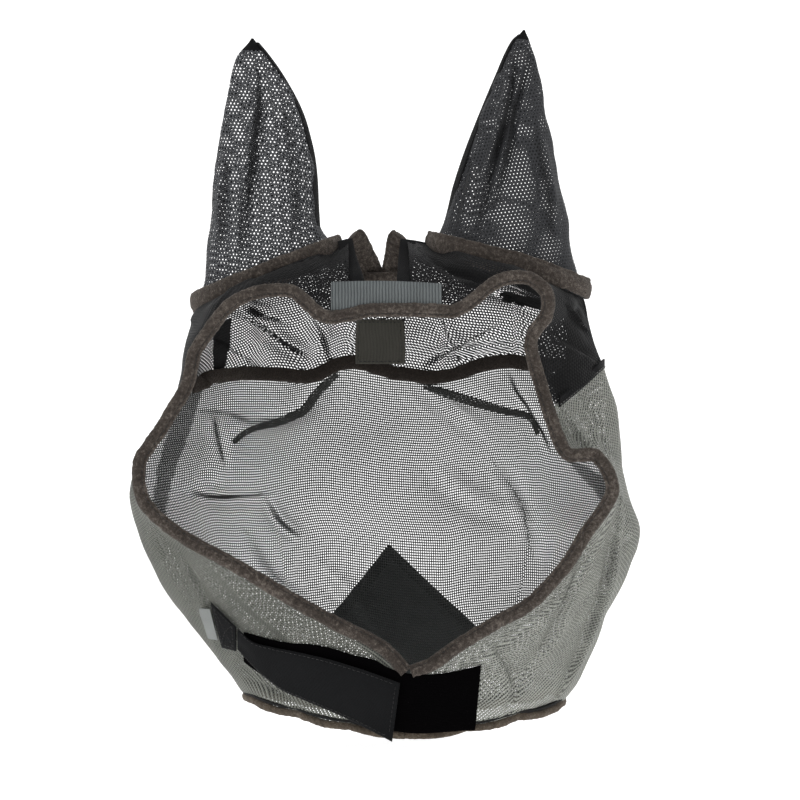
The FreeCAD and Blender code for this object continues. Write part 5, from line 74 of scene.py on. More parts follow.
    [(-144.17, 102.44, -290.23), (-126.14, 126.07, -294.99), (-107.58, 147.6, -299.36), (-88.4, 163.67, -302.63), (-68.8, 175.84, -305.12), (-48.9, 184.36, -306.86), (-28.79, 189.75, -307.96), (-8.56, 192.45, -308.5), (11.72, 193, -308.62), (31.99, 192.45, -308.5), (52.21, 189.75, -307.96), (72.31, 184.36, -306.89), (92.21, 175.84, -305.2), (111.79, 163.67, -302.81), (130.94, 147.6, -299.69), (149.47, 126.07, -295.57), (167.46, 102.44, -291.1)],
    [(-137.19, 103, -299.42), (-119.74, 125.71, -304.28), (-101.8, 146.38, -308.75), (-83.29, 161.83, -312.12), (-64.4, 173.52, -314.68), (-45.22, 181.7, -316.48), (-25.86, 186.88, -317.63), (-6.38, 189.47, -318.2), (13.13, 190, -318.32), (32.64, 189.47, -318.2), (52.1, 186.88, -317.63), (71.45, 181.7, -316.48), (90.61, 173.52, -314.68), (109.47, 161.83, -312.12), (127.93, 146.38, -308.75), (145.82, 125.71, -304.28), (163.2, 103, -299.42)],
    [(-131.07, 103.5, -306.99), (-114.14, 125.29, -312.16), (-96.75, 145.14, -316.9), (-78.84, 159.96, -320.47), (-60.58, 171.18, -323.17), (-42.05, 179.03, -325.06), (-23.35, 184, -326.26), (-4.55, 186.49, -326.86), (14.28, 187, -326.98), (33.11, 186.49, -326.86), (51.9, 184, -326.27), (70.58, 179.03, -325.09), (89.08, 171.18, -323.24), (107.3, 159.96, -320.62), (125.16, 145.14, -317.2), (142.47, 125.29, -312.67), (159.32, 103.5, -307.75)],
    [(-125.93, 104, -313.46), (-109.47, 124.88, -319.02), (-92.58, 143.89, -324.12), (-75.22, 158.09, -327.92), (-57.52, 168.84, -330.8), (-39.58, 176.37, -332.81), (-21.48, 181.13, -334.07), (-3.3, 183.51, -334.7), (14.92, 184, -334.83), (33.14, 183.51, -334.7), (51.32, 181.13, -334.09), (69.4, 176.37, -332.87), (87.3, 168.84, -330.97), (104.95, 158.09, -328.28), (122.26, 143.89, -324.79), (139.06, 124.88, -320.19), (155.43, 104, -315.21)],
    [(-122.21, 104.5, -318.97), (-106.16, 124.47, -324.92), (-89.73, 142.65, -330.38), (-72.85, 156.23, -334.46), (-55.66, 166.51, -337.54), (-38.24, 173.7, -339.7), (-20.68, 178.25, -341.05), (-3.04, 180.53, -341.73), (14.64, 181, -341.87), (32.31, 180.53, -341.73), (49.95, 178.25, -341.07), (67.49, 173.7, -339.76), (84.87, 166.51, -337.72), (102.02, 156.23, -334.84), (118.85, 142.65, -331.09), (135.2, 124.47, -326.16), (151.17, 104.5, -320.82)],
    [(-119.02, 105, -324.03), (-103.38, 124.05, -330.39), (-87.38, 141.4, -336.24), (-70.95, 154.36, -340.6), (-54.25, 164.17, -343.91), (-37.33, 171.03, -346.22), (-20.28, 175.38, -347.67), (-3.15, 177.55, -348.4), (14.01, 178, -348.55), (31.17, 177.55, -348.4), (48.29, 175.38, -347.69), (65.33, 171.03, -346.28), (82.22, 164.17, -344.08), (98.89, 154.36, -340.96), (115.27, 141.4, -336.9), (131.21, 124.05, -331.57), (146.79, 105, -325.77)],
]
CHEEK_LEFT = [
    [(-168.34, 8, -63.04), (-169.07, 18.33, -63.41), (-169.8, 28.67, -63.79), (-170.54, 39, -64.16), (-171.27, 49.33, -64.55), (-172.17, 58.77, -65.2), (-172.72, 70, -65.32), (-172.21, 86.6, -63.8), (-171.31, 105, -61.71)],
    [(-173.88, 7.12, -72.88), (-175.13, 17.65, -73.06), (-176.39, 28.17, -73.23), (-177.64, 38.69, -73.41), (-178.9, 49.21, -73.59), (-180.38, 58.7, -73.88), (-181.43, 70.25, -73.95), (-181.14, 87.94, -73.32), (-180.37, 107.69, -72.44)],
    [(-179.82, 6, -83.03), (-181.48, 16.67, -83.08), (-183.14, 27.33, -83.13), (-184.82, 38, -83.18), (-186.5, 48.67, -83.23), (-188.43, 58.17, -83.28), (-189.88, 70, -83.33), (-189.81, 88.83, -83.42), (-189.19, 110, -83.52)],
    [(-187.12, 4, -93.99), (-188.87, 14.72, -94.13), (-190.62, 25.44, -94.27), (-192.38, 36.16, -94.41), (-194.15, 46.88, -94.55), (-196.15, 56.25, -94.67), (-197.7, 68.31, -94.84), (-197.88, 88.46, -95.14), (-197.56, 111.31, -95.49)],
    [(-194.41, 2, -105.44), (-196.15, 12.67, -105.74), (-197.89, 23.33, -106.05), (-199.63, 34, -106.36), (-201.39, 44.67, -106.66), (-203.35, 53.79, -106.97), (-204.92, 66, -107.28), (-205.25, 87.46, -107.64), (-205.11, 112, -108.01)],
    [(-201.16, 0.94, -117.31), (-202.92, 11.36, -117.76), (-204.69, 21.79, -118.22), (-206.46, 32.22, -118.68), (-208.25, 42.65, -119.14), (-210.26, 51.33, -119.6), (-211.83, 63.5, -120.07), (-212, 86.13, -120.59), (-211.64, 112.25, -121.13)],
    [(-205.84, 0, -129.48), (-207.72, 10.17, -130.03), (-209.61, 20.33, -130.59), (-211.5, 30.5, -131.14), (-213.4, 40.67, -131.7), (-215.59, 48.92, -132.25), (-217.23, 61, -132.83), (-217.18, 84.58, -133.52), (-216.48, 112, -134.24)],
    [(-207.14, -1.44, -141.73), (-209.25, 8.6, -142.22), (-211.37, 18.65, -142.72), (-213.49, 28.69, -143.21), (-215.63, 38.73, -143.71), (-218.11, 46.76, -144.17), (-219.94, 58.81, -144.71), (-219.77, 82.95, -145.49), (-218.84, 111.12, -146.34)],
    [(-203.87, -3, -154.26), (-206.56, 7, -154.65), (-209.26, 17, -155.04), (-211.98, 27, -155.43), (-214.71, 37, -155.81), (-217.88, 44.94, -156.12), (-220.22, 57, -156.59), (-220.03, 81.44, -157.53), (-218.89, 110, -158.64)],
    [(-193.94, -4.5, -167.46), (-197.82, 5.85, -167.75), (-201.73, 16.13, -168.03), (-205.65, 26.23, -168.33), (-209.58, 36.21, -168.62), (-214.1, 44.01, -168.76), (-217.5, 55.94, -169.22), (-217.44, 80.41, -170.67), (-216.12, 109.06, -172.46)],
    [(-178.74, -6, -180.63), (-184.37, 4.17, -180.88), (-190.04, 14.33, -181.12), (-195.76, 24.5, -181.36), (-201.53, 34.67, -181.6), (-208.16, 42.79, -181.59), (-213.2, 55, -182.06), (-213.32, 79.46, -184.02), (-211.7, 108, -186.49)],
    [(-157.88, -7.5, -193.06), (-165.99, 0.54, -193.38), (-174.21, 9.12, -193.7), (-182.63, 19.15, -194.01), (-191.19, 30.04, -194.3), (-201.13, 39.76, -194.26), (-208.73, 53.5, -194.75), (-208.98, 78.15, -196.89), (-206.65, 106.5, -199.6)],
    [(-134.67, -9, -205.27), (-145.56, -3.29, -205.7), (-156.6, 3.54, -206.13), (-167.96, 13.38, -206.55), (-179.58, 25.02, -206.93), (-193.11, 36.54, -206.92), (-203.53, 52, -207.43), (-203.97, 76.87, -209.66), (-200.94, 105, -212.48)],
    [(-112.53, -10.44, -217.57), (-126.03, -5.66, -218.16), (-139.7, 0.45, -218.73), (-153.71, 10.12, -219.25), (-168.04, 22.02, -219.7), (-184.7, 34.45, -219.67), (-197.62, 50.81, -220.21), (-198.53, 75.83, -222.68), (-195.28, 103.88, -225.8)],
    [(-90.72, -12, -229.84), (-106.64, -7.72, -230.58), (-122.71, -1.99, -231.27), (-139.14, 7.55, -231.86), (-155.92, 19.63, -232.34), (-175.39, 32.85, -232.29), (-190.58, 50, -232.8), (-191.96, 75.09, -235.3), (-188.56, 103, -238.47)],
    [(-69.7, -14, -242.42), (-87.56, -10.25, -243.14), (-105.57, -4.89, -243.8), (-123.94, 4.63, -244.31), (-142.68, 17.09, -244.68), (-164.46, 31.51, -244.54), (-181.48, 49.75, -244.83), (-183.03, 74.81, -246.75), (-179.26, 102.38, -249.2)],
    [(-49.34, -16, -254.25), (-68.96, -12.7, -255.02), (-88.73, -7.63, -255.72), (-108.84, 1.9, -256.23), (-129.35, 14.8, -256.56), (-153.23, 30.55, -256.46), (-171.89, 50, -256.59), (-173.53, 74.95, -257.78), (-169.32, 102, -259.29)],
    [(-28.98, -17.56, -263.63), (-50.52, -14.72, -264.84), (-72.2, -9.99, -265.97), (-94.2, -0.52, -266.86), (-116.64, 12.75, -267.56), (-142.78, 29.97, -267.96), (-163.24, 50.75, -268.34), (-165, 75.49, -269.05), (-160.34, 101.88, -269.83)],
    [(-10.6, -19, -272.91), (-33.82, -16.48, -274.52), (-57.16, -11.93, -276.03), (-80.82, -2.42, -277.27), (-104.92, 11.3, -278.29), (-133.03, 29.98, -279.12), (-155.05, 52, -279.72), (-156.94, 76.42, -280.03), (-151.92, 102, -280.17)],
    [(4.67, -21.06, -284.16), (-19.77, -18.46, -285.78), (-44.32, -13.73, -287.28), (-69.19, -3.74, -288.46), (-94.51, 10.7, -289.41), (-124.03, 30.71, -290.15), (-147.2, 53.75, -290.59), (-149.3, 77.74, -290.52), (-144.17, 102.44, -290.23)],
    [(14.89, -22, -296.43), (-10.05, -19.23, -297.76), (-35.11, -14.24, -298.96), (-60.46, -3.78, -299.78), (-86.28, 11.29, -300.33), (-116.37, 32.3, -300.61), (-140.02, 56, -300.56), (-142.27, 79.36, -300.1), (-137.19, 103, -299.42)],
    [(15.82, -19.81, -309.82), (-8.25, -17.02, -310.51), (-32.44, -11.99, -311.02), (-56.91, -1.46, -311.11), (-81.83, 13.72, -310.86), (-110.87, 35.04, -310.21), (-133.7, 58.75, -309.28), (-135.92, 81.14, -308.19), (-131.07, 103.5, -306.99)],
    [(13.25, -16, -323.44), (-9.56, -13.23, -323.23), (-32.48, -8.24, -322.82), (-55.68, 2.22, -321.9), (-79.3, 17.29, -320.56), (-106.83, 38.61, -318.64), (-128.47, 62, -316.57), (-130.54, 83.17, -314.98), (-125.93, 104, -313.46)],
    [(12.08, -11.25, -336.13), (-9.99, -8.51, -334.84), (-32.16, -3.57, -333.31), (-54.6, 6.76, -331.19), (-77.44, 21.67, -328.57), (-104.07, 42.93, -325.05), (-124.97, 65.88, -321.72), (-126.84, 85.54, -320.09), (-122.21, 104.5, -318.97)],
    [(10.79, -6, -348.64), (-10.62, -3.3, -346.17), (-32.12, 1.57, -343.43), (-53.89, 11.75, -340), (-76.05, 26.44, -335.99), (-101.89, 47.58, -330.72), (-122.12, 70, -326.05), (-123.74, 88.04, -324.54), (-119.02, 105, -324.03)],
]
CHEEK_RIGHT = [
    [(184.26, 105, -45.15), (184.77, 88.69, -42.69), (183.53, 74, -42.11), (177.11, 64.19, -47.02), (169.02, 56, -53.72), (161.86, 47, -59.46), (154.74, 38, -65.15), (147.68, 29, -70.8), (140.67, 20, -76.39)],
    [(187.64, 107.69, -60.39), (189.59, 90.02, -58.3), (189.13, 74.19, -57.68), (181.63, 63.85, -61.31), (171.85, 55.35, -66.33), (163.32, 45.94, -70.6), (154.85, 36.52, -74.83), (146.45, 27.1, -79.03), (138.12, 17.69, -83.19)],
    [(190.77, 110, -75.66), (193.74, 90.98, -73.8), (193.84, 74, -73.04), (185.56, 63.15, -75.5), (174.58, 54.33, -79), (165.07, 44.5, -81.94), (155.64, 34.67, -84.85), (146.29, 24.83, -87.74), (137.02, 15, -90.59)],
    [(193.23, 111.31, -91.23), (196.01, 90.94, -89.05), (195.94, 72.81, -87.85), (187.58, 61.42, -89.5), (176.55, 52.27, -92.07), (166.98, 42, -94.15), (157.49, 31.73, -96.21), (148.09, 21.46, -98.25), (138.77, 11.19, -100.26)],
    [(195.3, 112, -106.26), (197.42, 90.27, -103.81), (197.02, 71, -102.21), (189.34, 59.1, -103.09), (179.32, 49.67, -104.76), (170.59, 39, -106.01), (161.94, 28.33, -107.25), (153.36, 17.67, -108.47), (144.87, 7, -109.68)],
    [(196.91, 112.25, -119.65), (198.23, 89.09, -117.6), (197.78, 68.62, -116), (192.25, 56.27, -115.68), (185.09, 46.62, -115.78), (178.83, 35.62, -115.67), (172.62, 24.62, -115.55), (166.47, 13.62, -115.44), (160.38, 2.62, -115.32)],
    [(198.8, 112, -132.49), (199.52, 87.52, -130.99), (199.15, 66, -129.54), (195.71, 53.35, -128.24), (191.27, 43.67, -126.98), (187.38, 32.5, -125.72), (183.52, 21.33, -124.46), (179.68, 10.17, -123.22), (175.88, -1, -121.99)],
    [(201.95, 111.12, -145.58), (202.89, 85.63, -144.4), (202.83, 63.38, -143.15), (199.93, 50.81, -141.7), (196.13, 41.48, -140.19), (192.82, 30.53, -138.72), (189.53, 19.58, -137.27), (186.27, 8.64, -135.82), (183.03, -2.31, -134.39)],
    [(205.62, 110, -158.64), (207.07, 83.77, -157.73), (207.26, 61, -156.74), (203.9, 48.6, -155.52), (199.39, 39.67, -154.23), (195.5, 29, -152.98), (191.64, 18.33, -151.74), (187.81, 7.67, -150.51), (184.01, -3, -149.29)],
    [(210.39, 109.06, -171.59), (212.33, 82.42, -171.06), (212.39, 59.38, -170.44), (207.17, 47.18, -169.61), (200.23, 38.54, -168.72), (194.21, 28, -167.88), (188.23, 17.34, -167.04), (182.28, 6.49, -166.21), (176.39, -4.44, -165.39)],
    [(213.3, 108, -184.74), (215.66, 81.21, -184.34), (215.51, 58, -183.92), (208.2, 45.54, -183.51), (198.56, 36.67, -183.11), (190.2, 26, -182.7), (181.91, 15.33, -182.29), (173.69, 4.67, -181.87), (165.55, -6, -181.46)],
    [(210.38, 106.5, -198.62), (212.98, 79.91, -197.58), (212.76, 56.5, -196.73), (204.41, 42.43, -196.52), (193.49, 31.87, -196.49), (184.07, 20.45, -196.31), (174.82, 9.92, -196.11), (165.76, 0.93, -195.9), (156.81, -7.5, -195.7)],
    [(205.18, 105, -212.48), (207.88, 78.64, -210.7), (207.56, 55, -209.32), (198.52, 39.13, -209.12), (186.76, 26.7, -209.27), (176.69, 14.48, -209.12), (166.86, 4.16, -208.94), (157.35, -3.01, -208.76), (147.98, -9, -208.58)],
    [(200.23, 103.88, -225.91), (202.81, 77.31, -223.82), (202.25, 53.31, -222.14), (192.62, 36.56, -221.69), (180.2, 23.32, -221.59), (169.58, 10.92, -221.13), (159.23, 0.85, -220.61), (149.22, -5.52, -220.05), (139.36, -10.5, -219.47)],
    [(194.55, 103, -238.47), (197.04, 76.27, -236.39), (196.23, 52, -234.64), (185.86, 34.53, -233.96), (172.56, 20.65, -233.53), (161.19, 8.18, -232.75), (150.12, -1.67, -231.85), (139.39, -7.58, -230.86), (128.8, -12, -229.84)],
    [(187.43, 102.38, -249.09), (190.14, 75.95, -247.58), (189.19, 51.69, -246.26), (177.57, 33.25, -245.63), (162.71, 18.33, -245.11), (150.01, 5.6, -244.26), (137.63, -4.12, -243.27), (125.6, -9.6, -242.15), (113.72, -13.44, -240.97)],
    [(180.54, 102, -259.29), (183.7, 76.11, -258.41), (182.62, 52, -257.61), (169.25, 32.43, -257.15), (152.15, 16.26, -256.69), (137.56, 3.18, -255.92), (123.32, -6.51, -254.99), (109.42, -11.65, -253.87), (95.66, -15, -252.69)],
    [(175.85, 101.88, -270.81), (179.74, 76.71, -270), (178.54, 52.81, -269.33), (162.53, 31.77, -269.14), (142.06, 13.96, -268.98), (124.6, 0.4, -268.5), (107.54, -9.27, -267.84), (90.81, -14.11, -266.96), (74.23, -17, -266)],
    [(171.84, 102, -281.92), (176.47, 77.62, -281.27), (175.12, 54, -280.77), (156.38, 31.57, -280.8), (132.4, 12.16, -280.88), (111.96, -1.95, -280.63), (91.95, -11.73, -280.18), (72.27, -16.41, -279.47), (52.73, -19, -278.66)],
    [(167.46, 102.44, -291.1), (172.61, 78.68, -291.36), (171.07, 55.31, -291.49), (150, 31.94, -291.4), (123.07, 11.33, -291.09), (100.08, -3.43, -290.54), (77.54, -13.63, -289.76), (55.35, -18.47, -288.69), (33.27, -21.12, -287.49)],
    [(163.2, 103, -299.42), (168.58, 79.96, -300.66), (166.83, 57, -301.52), (144.24, 33.1, -301.46), (115.4, 11.72, -300.93), (90.75, -3.55, -300.22), (66.57, -14.14, -299.24), (42.72, -19.19, -297.91), (18.99, -22, -296.43)],
    [(159.32, 103.5, -307.75), (164.32, 81.48, -309.45), (162.35, 59.31, -310.83), (140, 35.49, -311.5), (111.54, 13.96, -311.72), (87.18, -1.33, -311.64), (63.28, -11.94, -311.24), (39.69, -17, -310.41), (16.23, -19.81, -309.41)],
    [(155.43, 104, -315.21), (159.92, 83.17, -317.24), (157.79, 62, -319.14), (136.29, 38.61, -320.86), (108.99, 17.29, -322.24), (85.57, 2.22, -323.14), (62.6, -8.24, -323.64), (39.93, -13.23, -323.64), (17.37, -16, -323.44)],
    [(151.17, 104.5, -320.82), (155.43, 84.98, -323.28), (153.28, 64.94, -325.78), (132.32, 42.19, -328.68), (105.7, 21.27, -331.37), (82.84, 6.54, -333.37), (60.4, -3.67, -334.89), (38.25, -8.54, -335.81), (16.2, -11.25, -336.49)],
    [(146.79, 105, -325.77), (150.9, 86.84, -328.67), (148.77, 68, -331.82), (128.33, 45.99, -335.99), (102.37, 25.58, -340.08), (80.05, 11.28, -343.28), (58.13, 1.37, -345.9), (36.48, -3.37, -347.82), (14.93, -6, -349.47)],
]
CROWN_LEFT = [
    [(-168.34, 8, -63.04), (-173.68, 22.09, -63.61), (-176.53, 37, -64.18), (-175.87, 53.09, -64.75), (-172.72, 70, -65.32)],
    [(-166.29, 8.5, -55.64), (-172.17, 22.34, -55.33), (-175.57, 37, -55.01), (-175.45, 52.84, -54.71), (-172.84, 69.5, -54.39)],
    [(-164.25, 9, -48.03), (-170.59, 22.59, -46.78), (-174.44, 37, -45.53), (-174.79, 52.59, -44.29), (-172.64, 69, -43.04)],
    [(-162.53, 9.56, -39.63), (-169.1, 22.88, -37.33), (-173.17, 37.01, -35.02), (-173.73, 52.32, -32.69), (-171.79, 68.44, -30.35)],
    [(-160.17, 10, -31.34), (-166.87, 23.09, -27.84), (-171.07, 37, -24.34), (-171.77, 52.09, -20.84), (-169.98, 68, -17.34)],
    [(-156.27, 10.19, -24.41), (-163.07, 23.47, -19.11), (-167.42, 37.6, -13.86), (-168.3, 52.93, -8.69), (-166.74, 69.11, -3.57)],
    [(-150.99, 10, -17.17), (-157.85, 22.95, -10.7), (-162.34, 36.81, -4.4), (-163.49, 51.95, 1.64), (-162.27, 68, 7.51)],
    [(-144.05, 9.12, -7.51), (-151.12, 19.92, -2.27), (-156, 31.74, 2.52), (-157.8, 45.02, 6.67), (-157.4, 59.32, 10.38)],
    [(-135.84, 8, 1.94), (-142.7, 16.3, 5.69), (-147.6, 25.77, 8.66), (-149.7, 36.89, 10.55), (-149.83, 49.19, 11.67)],
    [(-126.66, 7, 9.09), (-132.17, 13.58, 12.91), (-135.9, 21.46, 15.65), (-137.12, 31.18, 16.89), (-136.57, 42.2, 17.06)],
    [(-116.56, 6, 14.36), (-120.23, 11.45, 19.07), (-122.31, 18.32, 22.41), (-122.17, 27.23, 23.83), (-120.45, 37.57, 23.89)],
    [(-105.37, 5, 17.54), (-107.08, 10.11, 23.9), (-107.39, 16.78, 28.59), (-105.76, 25.67, 30.95), (-102.75, 36.12, 31.65)],
    [(-93.99, 4, 18.43), (-93.81, 9.5, 27.04), (-92.45, 16.69, 33.7), (-89.42, 26.28, 37.6), (-85.2, 37.57, 39.55)],
    [(-83.29, 3, 16.57), (-81.54, 9.68, 27.97), (-78.81, 18.19, 37.13), (-74.69, 29.28, 43.1), (-69.58, 42.2, 46.83)],
    [(-73.12, 2, 12.53), (-70.45, 10.45, 26.97), (-66.99, 20.86, 38.86), (-62.41, 34.05, 47.16), (-57.05, 49.19, 52.91)],
    [(-64.1, 0.88, 5.43), (-61.79, 12.07, 23.04), (-58.89, 25.36, 37.81), (-55.15, 41.61, 48.56), (-50.82, 59.95, 56.47)],
    [(-54.78, 0, -0.83), (-53.41, 13.21, 19.46), (-51.64, 28.63, 36.62), (-49.31, 47.21, 49.34), (-46.59, 68, 58.92)],
    [(-43.47, -0.12, -1.3), (-43.09, 12.09, 20.2), (-42.51, 26.65, 38.27), (-41.65, 44.55, 51.49), (-40.6, 64.8, 61.27)],
    [(-31.54, 0, 0), (-32.25, 10.26, 22.22), (-32.97, 23, 40.72), (-33.68, 39.26, 53.94), (-34.39, 58, 63.43)],
]
CROWN_RIGHT = [
    [(140.67, 20, -76.39), (155.63, 32.09, -67.82), (168.1, 45, -59.25), (177.06, 59.09, -50.68), (183.53, 74, -42.11)],
    [(135.99, 20.56, -69.26), (151.22, 32.42, -60.25), (163.98, 45.09, -51.24), (173.21, 58.95, -42.22), (179.96, 73.62, -33.2)],
    [(131.51, 21, -61.3), (147.02, 32.59, -52), (160.05, 45, -42.7), (169.56, 58.59, -33.39), (176.58, 73, -24.09)],
    [(127.33, 21.25, -50.61), (143.19, 32.43, -41.55), (156.55, 44.42, -32.49), (166.39, 57.58, -23.4), (173.73, 71.56, -14.31)],
    [(123.97, 21, -39.51), (140.02, 31.84, -30.74), (153.58, 43.5, -21.97), (163.64, 56.34, -13.2), (171.2, 70, -4.43)],
    [(121.51, 19.94, -30.31), (137.69, 31, -21.15), (151.41, 42.91, -12.04), (161.68, 56.02, -3.01), (169.49, 69.99, 5.97)],
    [(121.3, 18, -21.14), (136.71, 28.95, -11.96), (149.75, 40.81, -2.96), (159.44, 53.95, 5.79), (166.77, 68, 14.36)],
    [(126.38, 14.56, -10.37), (138.96, 23.97, -2.85), (149.37, 34.4, 4.22), (156.66, 46.28, 10.65), (161.78, 59.2, 16.64)],
    [(131.77, 11, 0.38), (140.52, 18.55, 6.07), (147.31, 27.27, 11), (151.3, 37.64, 14.83), (153.32, 49.19, 17.9)],
    [(133.77, 8.69, 10.2), (138.06, 14.85, 15.11), (140.57, 22.3, 18.98), (140.57, 31.6, 21.32), (138.79, 42.2, 22.61)],
    [(131.54, 7, 18.56), (131.62, 12.2, 23.39), (130.12, 18.82, 26.87), (126.39, 27.48, 28.41), (121.08, 37.57, 28.6)],
    [(121.33, 5.81, 25.12), (118.75, 10.72, 30.53), (114.78, 17.19, 34.28), (108.87, 25.87, 35.69), (101.57, 36.12, 35.45)],
    [(108.13, 5, 28.46), (103.66, 10.25, 35.29), (98.01, 17.19, 40.16), (90.69, 26.53, 42.28), (82.18, 37.57, 42.44)],
    [(96.36, 4.62, 26.52), (90.17, 10.9, 35.95), (82.99, 19, 43.14), (74.42, 29.69, 47.15), (64.86, 42.2, 48.9)],
    [(83.97, 4, 20.93), (77.06, 11.95, 33.62), (69.35, 21.86, 43.77), (60.54, 34.55, 50.32), (50.93, 49.19, 54.32)],
    [(70.51, 1.94, 10.82), (65.02, 12.87, 27.35), (58.93, 25.89, 41.05), (52.02, 41.88, 50.73), (44.5, 59.95, 57.56)],
    [(55.61, 0, 1.66), (52.15, 13.21, 21.54), (48.3, 28.63, 38.29), (43.89, 47.21, 50.6), (39.09, 68, 59.78)],
    [(38.22, -0.25, 0.46), (36.05, 12, 21.63), (33.7, 26.59, 39.37), (31.05, 44.52, 52.26), (28.22, 64.8, 61.72)],
    [(19.92, 0, 1.66), (18.92, 10.26, 23.47), (17.93, 23, 41.55), (16.93, 39.26, 54.35), (15.93, 58, 63.43)],
]
